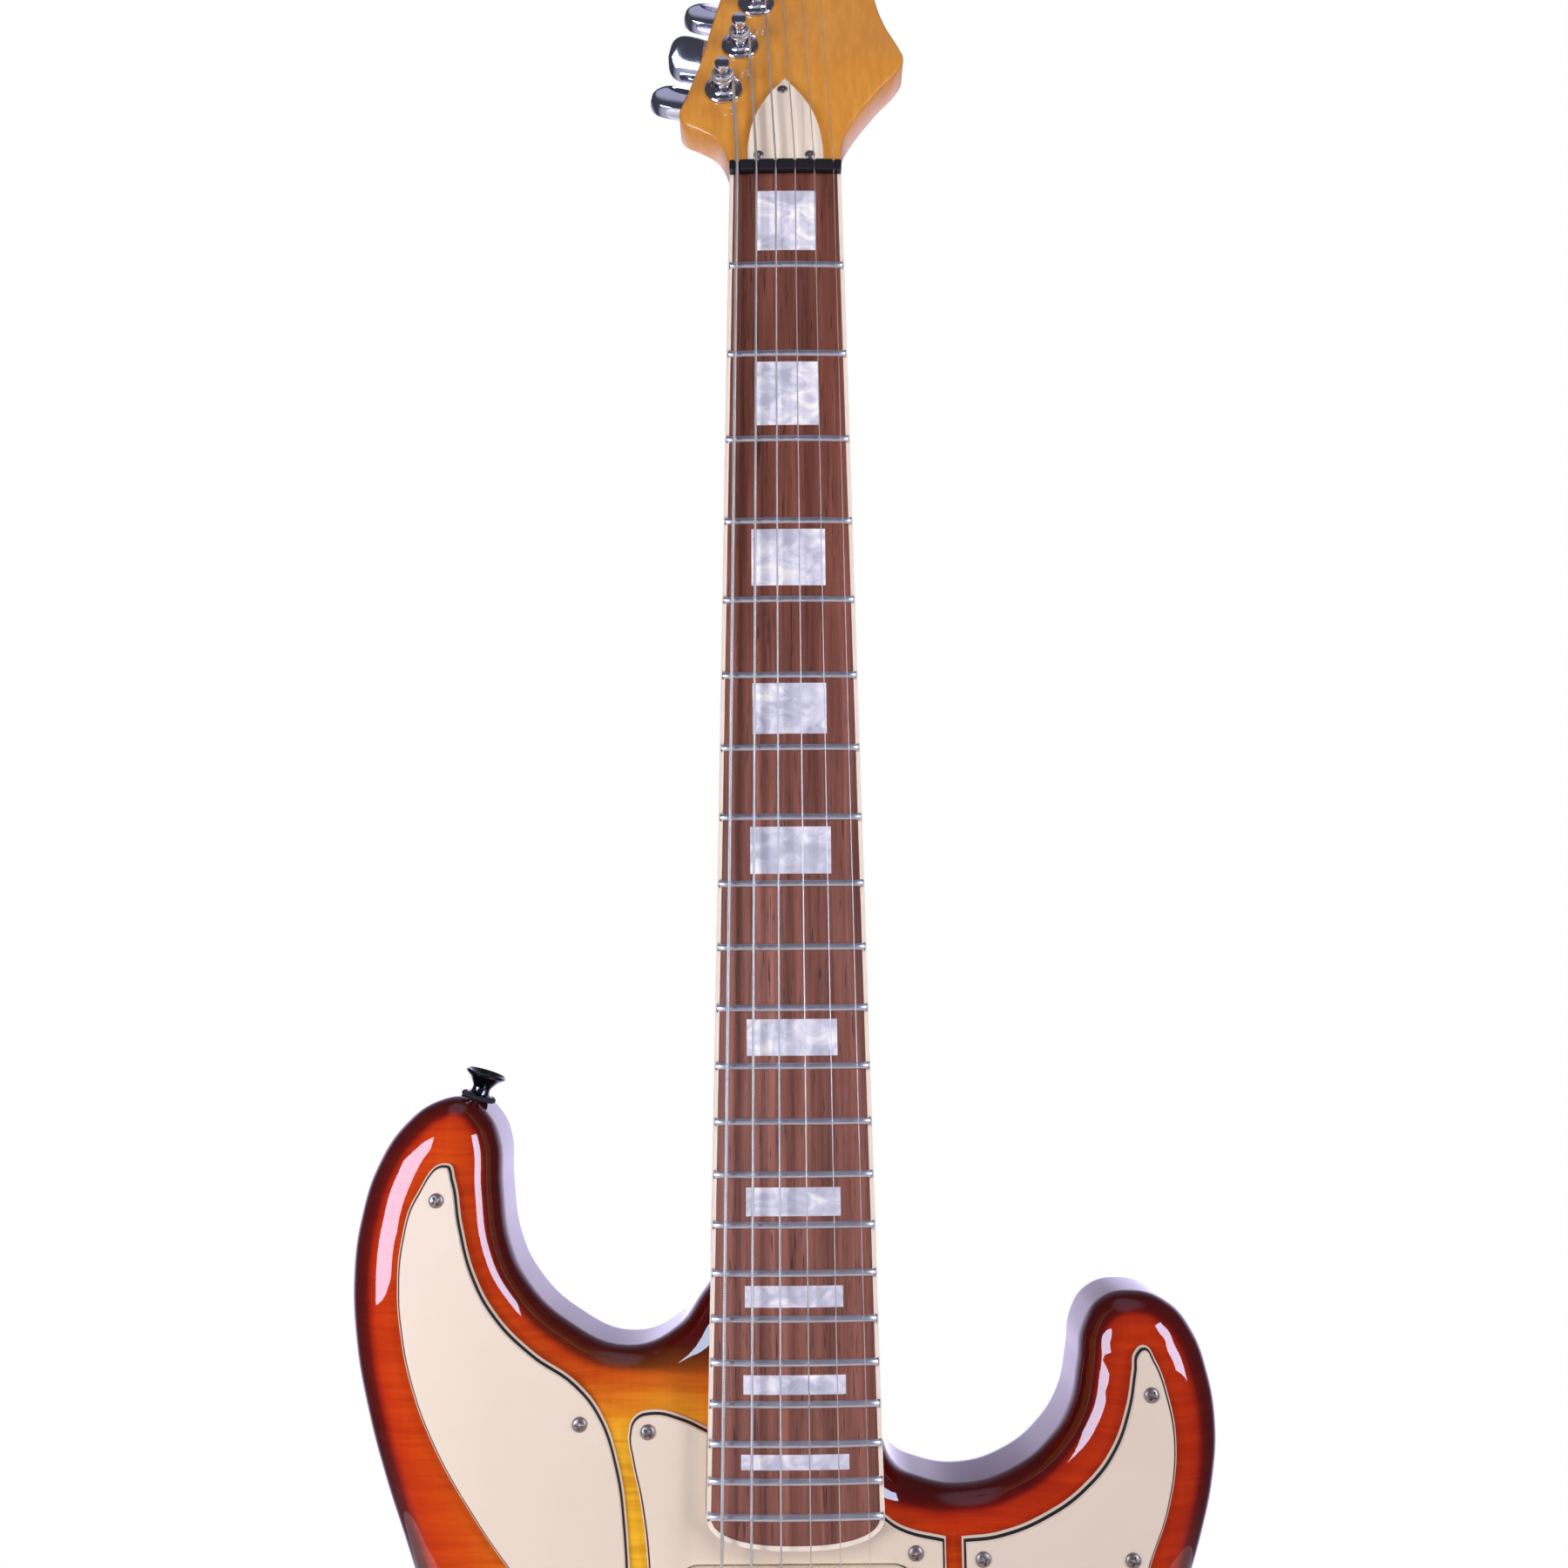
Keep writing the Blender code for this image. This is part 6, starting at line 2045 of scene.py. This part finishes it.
@dataclass
class Bridge(Assembly):
    """The vibrato: plate, saddles, arm, springs and cover."""

    pivot_ahead: float = 0.012
    behind: float = 0.030
    half: float = 0.043
    lip: float = 0.0070
    lip_ease: Pair = (0.0010, 0.0012)
    plate_round: float = 0.0004
    saddle_wide: float = 0.0096
    saddle_front: float = 0.0025
    saddle_back: float = 0.0065
    saddle_heel: float = 0.0010
    saddle_crest: float = 0.0010
    saddle_round: float = 0.0003
    screw_radius: float = 0.0009
    screw_aside: float = 0.0032
    screw_high: float = 0.0021
    screw_turns: int = 9
    screw_wire: float = 0.00025
    stud_radius: float = 0.0034
    stud_rise: float = 0.0078
    stud_across: float = 0.036
    stud_ahead: float = 0.0026
    stud_slot: Corner = (0.005, 0.0005, 0.0012)
    hole_radius: float = 0.0016
    arm_radius: float = 0.00275
    arm_across: float = 0.038
    arm_behind: float = 0.018
    arm_bends: tuple[Corner, ...] = (
        (0, 0, 0), (0, 0, 14), (1, 3, 19), (2, 10, 23), (4, 25, 25), (6, 60, 28), (8, 100, 29),
    )
    bend_steps: int = 8
    tip_radius: float = 0.0045
    tip_long: float = 0.018
    tip_lap: float = 0.004
    block_long: float = 0.012
    block_to_back: float = 0.0060
    claw_z: float = 0.2258
    spring_radius: float = 0.0038
    spring_spread: float = 0.014
    spring_wire: float = 0.00055
    spring_pitch: float = 0.0015
    spring_hook_long: float = 0.006
    cover_thick: float = 0.0022
    cover_half: float = 0.048
    cover_ends: Pair = (0.1318, 0.2458)
    cover_round: float = 0.0007
    cover_inset: float = 0.005
    cover_screw: float = 0.0024

    def build(self) -> None:
        """Model and dress the bridge from its plate to its back cover."""
        self.add_plate()
        self.add_saddles()
        self.add_studs()
        self.add_arm()
        self.add_springs()
        self.keep("inertia_block", STEEL)
        self.keep("spring_claw", STEEL)
        self.add_cover()

    def add_cover(self) -> None:
        """The cover over the spring room, with three screws on each side."""
        (low, high), half = self.cover_ends, self.cover_half
        back = -PLAN.body_front - PLAN.clear
        front = back - self.cover_thick
        cover = Bench.block("spring_cover", (-half, low, front), (half, high, back), self.cover_round, 2)
        self.fit(Bench.soften(cover, 30), CREAM, Slot.CREAM, stands_for=["back_cover"])
        inset = self.cover_inset
        heights = (low + inset, (low + high) / 2, high - inset)
        PanScrew(self.cover_screw).scatter_behind("cover_back_screws", half - inset, heights, front)

    def add_plate(self) -> None:
        """The plate with its knife edge, rear lip and string holes."""
        pivot, back = PLAN.bridge_z + self.pivot_ahead, PLAN.bridge_z - self.behind
        top, under, thick = PLAN.bridge_top, PLAN.bridge_under, PLAN.bridge_thick
        wall, blade, lip = back + thick, pivot - thick, top + self.lip
        inner, outer = self.lip_ease
        side = sharp([
            (pivot, under + thick / 2), (blade, top), (wall, top), (wall, lip - inner), (wall - inner, lip),
            (back + outer, lip), (back, lip - outer), (back, under), (blade, under),
        ])
        plate = Bench.outline("knife_plate", side, -self.half, self.half, SIDE, self.plate_round, 2)
        ends = (-thick, 2 * thick)
        for number in range(1, PLAN.strings + 1):
            place = axis_at(PLAN.string_place(number)[0], PLAN.bridge_z - PLAN.hole_behind, under)
            Bench.trim(plate, Bench.rod("string_hole", self.hole_radius, ends, place, 16))
        place = axis_at(self.arm_across, PLAN.bridge_z - self.arm_behind, under)
        Bench.trim(plate, Bench.rod("arm_hole", self.arm_radius + PLAN.clear, ends, place))
        self.fit(Bench.soften(plate, 30), CHROME, Slot.CHROME, Rider.VIBRATO, ["bridge_plate"])

    def add_saddles(self) -> None:
        """Six saddles, each with its length screw and spring from the lip."""
        middle, low = PLAN.bridge_z, PLAN.bridge_top + PLAN.clear
        front, rear, back = middle + self.saddle_front, middle - self.saddle_back, middle - self.behind
        screws = []
        for number, gauge in enumerate(PLAN.gauges, start=1):
            across = PLAN.string_place(number)[0]
            top = PLAN.string_height(across, PLAN.saddle_action, gauge) - gauge / 2 - PLAN.clear
            bend, crest = PLAN.string_bend, self.saddle_crest
            knots = sharp([
                (front, low), (rear, low), (rear, low + self.saddle_heel), (middle - bend, top - bend / 2),
                (middle - crest / 2, top), (middle + crest, top), (front, top - crest),
            ])
            left, right = across - self.saddle_wide / 2, across + self.saddle_wide / 2
            saddle = Bench.outline(f"bridge_saddle_{number}", knots, left, right, SIDE, self.saddle_round, 2)
            self.fit(Bench.soften(saddle, 30), CHROME, Slot.CHROME, Rider.VIBRATO, [f"saddle_{number}"])
            aside, high = across + self.screw_aside, low + self.screw_high
            screws += self.length_screw(number, aside, (back, rear), high)
        self.fit(Bench.join("saddle_screws", *screws), SCREWS, Slot.STEEL, Rider.VIBRATO)

    def length_screw(self, number: int, across: float, ends: Pair, front: float) -> list[Piece]:
        """A saddle's length screw with the spring round it.

        Args:
            number: the string's number.
            across: where the screw lies.
            ends: rear face of the lip and rear end of the saddle.
            front: height of the screw's axis.

        Returns:
            The screw and its spring.
        """
        back, rear = ends
        size, reach = self.screw_radius, rear - back + PLAN.overcut
        shank = Bench.lathe(f"length_screw_{number}", [
            (0, reach), (size, reach), (size, 0), (1.9 * size, 0), (1.9 * size, -0.0006),
            (1.3 * size, -0.0013), (0, -0.0013),
        ], Matrix.Translation(point(across, back, front)), 16)
        span = (back + PLAN.bridge_thick + size, rear - size)
        route = Bench.coil((across, front), 1.7 * size, span, self.screw_turns)
        spring = Bench.wire(f"length_spring_{number}", route, self.screw_wire, 1)
        return [Bench.soften(shank, 35), Bench.soften(spring, 60)]

    def add_studs(self) -> None:
        """Two slotted studs in the body that the knife edge bears on."""
        size, rise, studs = self.stud_radius, self.stud_rise, []
        along, top = PLAN.bridge_z + self.pivot_ahead + self.stud_ahead, PLAN.body_front + self.stud_rise
        wide, half, deep = self.stud_slot
        for number, side in enumerate((-1, 1)):
            across = side * self.stud_across
            stud = Bench.lathe(f"stud_{number}", [
                (0, rise), (0.8 * size, rise), (size, rise - 0.0006), (size, 0.0052), (0.62 * size, 0.0046),
                (0.62 * size, 0.0026), (size, 0.0020), (size, 0), (0, 0),
            ], axis_at(across, along, PLAN.body_front), 28)
            low, high = (across - wide, along - half, top - deep), (across + wide, along + half, top + deep)
            studs.append(Bench.soften(Bench.trim(stud, Bench.block("slot", low, high)), 35))
        self.fit(Bench.join("pivot_studs", *studs), CHROME, Slot.CHROME)

    def add_arm(self) -> None:
        """The bent arm, smoothed through its bends, and its tip."""
        base = point(self.arm_across, PLAN.bridge_z - self.arm_behind, PLAN.bridge_under + PLAN.clear)
        bends = [base + point(x * MM, -down * MM, rise * MM) for x, down, rise in self.arm_bends]
        route = [bends[0]]
        ghosts = [2 * bends[0] - bends[1], *bends, 2 * bends[-1] - bends[-2]]
        for before, first, last, after in zip(ghosts, ghosts[1:], ghosts[2:], ghosts[3:]):
            for step in range(1, self.bend_steps + 1):
                t = step / self.bend_steps
                route.append(0.5 * (
                    2 * first + (last - before) * t + (2 * before - 5 * first + 4 * last - after) * t**2
                    + (3 * first - before - 3 * last + after) * t**3
                ))
        arm = Bench.wire("bent_arm", route, self.arm_radius, 4)
        self.fit(Bench.soften(arm, 50), CHROME, Slot.CHROME, Rider.ARM, ["vibrato_arm"])
        lie = (bends[-1] - bends[-2]).to_track_quat("Z", "Y").to_matrix().to_4x4()
        size, long = self.tip_radius, self.tip_long
        tip = Bench.lathe("arm_grip", [
            (0, long), (0.45 * size, long - 0.0002), (0.78 * size, long - 0.0009),
            (0.96 * size, long - 0.0022), (size, long - 0.0038), (0.97 * size, long - 0.007),
            (0.82 * size, 0.004), (0.70 * size, 0.0004 - self.tip_lap), (0.66 * size, -self.tip_lap),
            (0, -self.tip_lap),
        ], Matrix.Translation(bends[-1]) @ lie, 32)
        self.fit(Bench.soften(tip, 45), CREAM, Slot.CREAM, Rider.ARM)

    def add_springs(self) -> None:
        """Two coil springs with hooked ends between the block and the claw."""
        face = PLAN.bridge_z - PLAN.hole_behind + self.block_long / 2
        middle = self.block_to_back - PLAN.body_front + self.spring_radius + PLAN.clear
        size = self.spring_radius - self.spring_wire
        low, high = face + self.spring_hook_long, self.claw_z - self.spring_hook_long
        turns = round((high - low) / self.spring_pitch)
        for number, side in enumerate((-1, 1), start=1):
            across = side * self.spring_spread
            route = [point(across, face + 2 * PLAN.clear + self.spring_wire, middle)]
            route.append(point(across, low - self.spring_wire, middle))
            route += Bench.coil((across, middle), size, (low, high), turns)
            route.append(point(across, high + self.spring_wire, middle))
            route.append(point(across, self.claw_z - 2 * PLAN.clear - self.spring_wire, middle))
            coil = Bench.wire(f"coil_spring_{number}", route, self.spring_wire, 1)
            self.coat(Bench.soften(coil, 60), STEEL, Slot.STEEL, [f"vibrato_spring_{number}"])
            start, stop = point(across, self.claw_z, middle), point(across, face, middle)
            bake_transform(coil)


@dataclass
class Controls(Assembly):
    """Knobs, selector and output jack."""

    knob_radius: float = 0.0115
    knob_top: float = 0.0092
    knob_tall: float = 0.0140
    knob_gap: float = 0.0010
    shaft_radius: float = 0.0030
    shaft_deep: float = 0.0090
    bushing_rise: float = 0.0020
    ribs: int = 40
    rib_deep: float = 0.0004
    rib_ends: Pair = (0.0040, 0.0006)
    rib_from: float = 0.9
    lever_wide: float = 0.0020
    lever_long: float = 0.0050
    lever_drop: float = 0.0090
    lever_rise: float = 0.0140
    lever_round: float = 0.0003
    cap_long: float = 0.009
    cap_side: float = 0.001
    cap_taper: float = 0.72
    cap_facing: float = 0.9
    mark_half: float = 0.0005
    mark_ends: Pair = (0.0030, 0.0078)
    mark_deep: Pair = (0.0004, 0.00008)
    jack_bore: float = 0.0032
    jack_radius: float = 0.0055
    jack_flange: float = 0.0110
    jack_thick: float = 0.0020
    jack_long: float = 0.026

    def build(self) -> None:
        """Model and dress the controls."""
        knob = self.knob()
        top, half = self.bushing_rise + self.knob_gap + self.knob_tall, self.mark_half
        low, high = self.mark_ends
        stripe = sharp([(-half, low), (half, low), (half, high), (-half, high)])
        knobs = (("volume", PLAN.volume_place, Rider.VOLUME), ("tone", PLAN.tone_place, Rider.TONE))
        for name, spot, body in knobs:
            place = axis_at(spot[0], PLAN.body_foot + spot[1], PLAN.plate_top)
            turned = Bench.copy(knob, f"{name}_cap", place)
            self.fit(turned, CREAM, Slot.CREAM, body, [f"{name}_knob"])
            sunk, proud = self.mark_deep
            mark = Bench.outline(f"{name}_mark", stripe, top - sunk, top + proud, place)
            self.fit(mark, BLACK, Slot.BLACK, body)
            self.keep(f"{name}_pot", STEEL)
        Bench.discard(knob)
        self.add_selector()
        self.add_jack()

    def knob(self) -> Piece:
        """Turn a knob with a dished top and press ribs into its side.

        Returns:
            The knob on its shaft, facing +Z.
        """
        base = self.bushing_rise + self.knob_gap
        top, low = base + self.knob_tall, self.bushing_rise - self.shaft_deep
        wide, narrow = self.knob_radius, self.knob_top
        profile = [
            (0, top - 0.0003), (0.5 * narrow, top - 0.0002), (0.84 * narrow, top),
            (0.94 * narrow, top - 0.0003), (narrow, top - 0.0011), (narrow + 0.0006, base + 0.0046),
            (wide - 0.0004, base + 0.0032), (wide, base + 0.0022), (wide, base + 0.0003),
            (wide - 0.0003, base), (self.shaft_radius, base), (self.shaft_radius, low), (0, low),
        ]
        knob = Bench.lathe("knob", profile, UPRIGHT, 2 * self.ribs)
        start, stop = base + self.rib_ends[0], top - self.rib_ends[1]
        for spot in knob.data.vertices:
            angle, reach = math.atan2(spot.co.y, spot.co.x) % (2 * math.pi), spot.co.xy.length
            odd = round(angle / (math.pi / self.ribs)) % 2
            if odd and start < spot.co.z < stop and reach > self.rib_from * narrow:
                spot.co.xy *= 1 - self.rib_deep / reach
        return Bench.soften(knob, 28)

    def add_selector(self) -> None:
        """The selector's flat lever and its tapered tip."""
        across, along = PLAN.selector_place[0], PLAN.body_foot + PLAN.selector_place[1]
        pivot, tip = PLAN.plate_under - self.lever_drop, PLAN.plate_top + self.lever_rise
        side, deep = self.lever_wide / 2, self.lever_long / 2
        low = (across - side, along - deep, pivot - deep)
        high = (across + side, along + deep, tip - self.cap_long / 2)
        blade = Bench.soften(Bench.block("selector_blade", low, high, self.lever_round, 2), 30)
        self.fit(blade, STEEL, Slot.STEEL, Rider.SELECTOR, ["selector_lever"])
        side, deep = side + self.cap_side, deep + self.cap_side
        low, high = (across - side, along - deep, tip - self.cap_long), (across + side, along + deep, tip)
        cap = Bench.block("selector_tip", low, high)
        taper, foot = (self.cap_taper, 1.0, self.cap_taper), point(across, along, tip - self.cap_long)
        with Bench.faces(cap, lambda face: face.normal.y > self.cap_facing):
            bpy.ops.transform.resize(value=taper, center_override=foot)
        with Bench.editing(cap):
            bpy.ops.mesh.bevel(offset=self.cap_side, segments=4, affect="EDGES")
        self.fit(Bench.soften(cap, 50), CREAM, Slot.CREAM, Rider.SELECTOR)
        self.keep("selector_switch", STEEL)

    def add_jack(self) -> None:
        """The socket with its raised flange."""
        start = Matrix.Translation(point(0, PLAN.body_foot + PLAN.jack_place[1], 0)) @ ALONG_X
        wide, size = PLAN.jack_place[0] + PLAN.clear, self.jack_flange
        face, end, bore = wide + self.jack_thick, wide - self.jack_long, self.jack_bore
        socket = Bench.lathe("jack_socket", [
            (0, end + 0.002), (bore, end + 0.002), (bore, face - 0.0004), (bore + 0.0004, face),
            (0.72 * size, face), (0.80 * size, face - 0.0005), (size - 0.0003, face - 0.0007),
            (size, face - 0.0011), (size, wide), (self.jack_radius, wide), (self.jack_radius, end), (0, end),
        ], start, 40)
        self.fit(Bench.soften(socket, 32), CHROME, Slot.CHROME, stands_for=["output_jack"])


@dataclass
class StrapFittings(Assembly):
    """Strap buttons, their washers, and the plate behind the neck's heel."""

    radius: float = 0.0073
    tall: float = 0.0081
    neck: float = 0.0032
    rim: float = 0.0009
    washer_radius: float = 0.0062
    washer_thick: float = 0.0015
    washer_round: float = 0.0004
    horn_place: Pair = (-0.1124, 0.1393)
    horn_lean: float = math.radians(18.0)
    plate_half: float = 0.0255
    plate_long: float = 0.064
    plate_thick: float = 0.0020
    plate_inset: float = 0.005
    plate_round: float = 0.0008
    screw_inset: float = 0.008
    screw_size: Pair = (0.0040, 0.0016)

    def build(self) -> None:
        """Model one strap button and its washer, copy them, and add the neck plate."""
        button, washer = self.button(), self.washer()
        down = Matrix.Translation((0, 0, self.washer_thick + self.tall)) @ Matrix.Rotation(math.pi, 4, "X")
        across, along = self.horn_place
        seat = Matrix.Translation(point(across, PLAN.board_end + along, 0))
        horn = seat @ Matrix.Rotation(self.horn_lean, 4, "Y")
        for name, place in (("end", down), ("upper", horn)):
            stud = Bench.copy(button, f"strap_stud_{name}", place)
            self.fit(stud, SMOKED, Slot.CHROME, stands_for=[f"strap_button_{name}"])
            self.fit(Bench.copy(washer, f"strap_washer_{name}", place), FELT, Slot.BLACK)
        Bench.discard(button, washer)
        self.add_neck_plate()

    def button(self) -> Piece:
        """Turn a strap button with a dished top.

        Returns:
            The button over its washer's place, facing +Z.
        """
        base, top = self.washer_thick, self.washer_thick + self.tall
        size, rim, neck = self.radius, self.rim, self.neck
        profile = [
            (0, top - 0.0024), (0.34 * size, top - 0.0024), (0.40 * size, top - 0.0021),
            (size - rim, top - 0.2 * rim), (size - 0.6 * rim, top), (size - 0.3 * rim, top - 0.2 * rim),
            (size, top - 0.8 * rim), (size - 0.2 * rim, top - 1.2 * rim),
            (0.78 * size, top - 0.26 * self.tall), (0.58 * size, top - 0.48 * self.tall),
            (neck, base + self.tall / 3), (neck, base + 1.6 * rim), (neck + 0.4 * rim, base + 0.7 * rim),
            (neck + 1.6 * rim, base + 0.2 * rim), (neck + 1.6 * rim, base), (0, base),
        ]
        return Bench.soften(Bench.lathe("strap_stud", profile, UPRIGHT, 40), 32)

    def washer(self) -> Piece:
        """Turn a washer with eased edges.

        Returns:
            The washer with its seat at the origin.
        """
        wide, thick, ease = self.washer_radius, self.washer_thick, self.washer_round
        profile = [
            (0, thick), (wide - ease, thick), (wide, thick - ease), (wide, ease), (wide - ease, 0), (0, 0),
        ]
        return Bench.soften(Bench.lathe("washer", profile, UPRIGHT, 32), 40)

    def add_neck_plate(self) -> None:
        """The plate behind the heel with its four screws."""
        high, back = PLAN.board_end + PLAN.heel_long - self.plate_inset, -PLAN.body_front - PLAN.clear
        low, half, outer = high - self.plate_long, self.plate_half, back - self.plate_thick
        plate = Bench.block("heel_plate", (-half, low, outer), (half, high, back), self.plate_round, 3)
        self.fit(Bench.soften(plate, 30), CHROME, Slot.CHROME, stands_for=["neck_plate"])
        inset = self.screw_inset
        heights = (low + inset, high - inset)
        PanScrew(*self.screw_size).scatter_behind("neck_screws", half - inset, heights, outer)


@dataclass(frozen=True)
class SoftBox:
    """A rectangular studio light, with its own strength for matt and for glossy surfaces.

    The lamp for glossy surfaces hangs just in front of the other, so that reflections meet it first.
    """

    name: str
    place: Corner
    target: Corner
    size: Pair
    matt: float
    gloss: float
    roll: float = 0.0
    gap: float = 0.03
    matt_colour: Colour = tone(1.0, 0.93, 0.90)
    gloss_colour: Colour = tone(0.57, 0.74, 1.0)

    def hang(self) -> None:
        """Hang one lamp for the matt surfaces and one for the glossy ones."""
        lamps = (("matt", self.matt, self.matt_colour), ("gloss", self.gloss, self.gloss_colour))
        start = Vector(self.place)
        aim = Vector(self.target) - start
        turn = aim.to_track_quat("-Z", "Y").to_matrix() @ Matrix.Rotation(math.radians(self.roll), 3, "Z")
        for number, (kind, radiance, colour) in enumerate(lamps):
            if not radiance:
                continue
            spot = start + number * self.gap * aim.normalized()
            bpy.ops.object.light_add(type="AREA", location=spot)
            lamp = bpy.context.object
            lamp.name = f"{self.name}_{kind}"
            lamp.rotation_euler = turn.to_euler()
            lamp.data.shape, lamp.data.size, lamp.data.size_y = "RECTANGLE", *self.size
            lamp.data.color = colour[:3]
            lamp.data.energy = radiance * math.pi * self.size[0] * self.size[1]
            lamp.visible_diffuse, lamp.visible_glossy = kind == "matt", kind == "gloss"
            lamp.visible_camera = False


@dataclass
class Studio:
    """Camera, lights, floor and white surround."""

    camera_place: Corner = (-0.0021, -0.4787, 0.5193)
    pitch: float = math.radians(7.90)
    roll: float = math.radians(-0.40)
    lens: float = 30.0
    sensor: float = 36.0
    near_limit: float = 0.01
    floor_radius: float = 0.62
    floor_rim: float = 0.05
    boxes: tuple[SoftBox, ...] = (
        SoftBox("left_box", (-0.635, -0.56, 0.475), (-0.56, 0.0, 0.475), (0.43, 0.48), 10.5, 13.6, 13.0),
        SoftBox("right_box", (0.87, -0.65, 0.665), (0.14, -0.32, 0.645), (0.30, 0.83), 10.4, 14.3),
        SoftBox("top_box", (0.05, -0.80, 1.25), (0.0, 0.0, 0.85), (0.50, 0.30), 4.2, 0.0),
    )

    def build(self) -> None:
        """Set the camera, the lights, the surround and the floor."""
        scene = bpy.context.scene
        scene.view_settings.view_transform = "Standard"
        self.add_camera(scene)
        for box in self.boxes:
            box.hang()
        self.add_surround(scene)
        add = bpy.ops.mesh.primitive_circle_add
        floor = Bench.start(add, "studio_floor", vertices=96, radius=self.floor_radius, fill_type="NGON")
        with Bench.editing(floor):
            bpy.ops.mesh.inset(thickness=self.floor_rim, depth=0.0)
        floor.data.materials.append(FLOOR.material())

    def add_camera(self, scene: bpy.types.Scene) -> None:
        """Set the camera at the photo's viewpoint.

        Args:
            scene: the scene that it looks at.
        """
        ahead = Vector((0, math.cos(self.pitch), math.sin(self.pitch)))
        right = ahead.cross(Vector((0, 0, 1))).normalized()
        up = right.cross(ahead)
        side = right * math.cos(self.roll) + up * math.sin(self.roll)
        rise = up * math.cos(self.roll) - right * math.sin(self.roll)
        bpy.ops.object.camera_add(location=self.camera_place)
        camera = bpy.context.object
        turn = Matrix((side, rise, -ahead)).transposed().to_4x4()
        camera.matrix_world = Matrix.Translation(self.camera_place) @ turn
        camera.data.lens, camera.data.sensor_width = self.lens, self.sensor
        camera.data.clip_start = self.near_limit
        scene.camera = camera

    def add_surround(self, scene: bpy.types.Scene) -> None:
        """Set a white backdrop that lights the rims from behind and stays dim in front.

        Args:
            scene: the scene that it surrounds.
        """
        world = bpy.data.worlds.new("surround")
        world.use_nodes = True
        scene.world = world
        graph = Graph(world.node_tree, "Background")
        ray = graph.node("ShaderNodeTexCoord", output="Generated")
        deep = graph.node("ShaderNodeSeparateXYZ", sockets={0: ray}, output="Y")
        high = graph.node("ShaderNodeSeparateXYZ", sockets={0: ray}, output="Z")
        low = graph.mix(graph.band(0.0 - high, 0.45, 0.80), tone(0.06, 0.058, 0.08), tone(0.50, 0.48, 0.62))
        room = graph.mix(graph.band(high, 0.90, 0.98), low, tone(0.42, 0.43, 0.60))
        back = graph.mix(graph.band(high, 0.10, 0.55), tone(1.74, 1.63, 2.34), tone(0.40, 0.37, 0.54))
        glow = graph.mix(graph.band(deep, 0.45, 0.97), room, back)
        seen = graph.node("ShaderNodeLightPath", output="Is Camera Ray")
        graph.surface(Color=graph.mix(seen, glow, tone(1, 1, 1)), Strength=1.0)


def main() -> None:
    """Build every assembly in order."""
    logging.basicConfig(level=logging.INFO, format="%(message)s")
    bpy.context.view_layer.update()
    for assembly in (
        GuitarBody(), Neck(), Fingerboard(), HeadFittings(), FrontPlates(), Pickups(), Tuners(), Strings(),
        Bridge(), Controls(), StrapFittings(), Studio(),
    ):
        LOG.info("building %s", type(assembly).__name__)
        assembly.build()


if __name__ == "__main__":
    main()
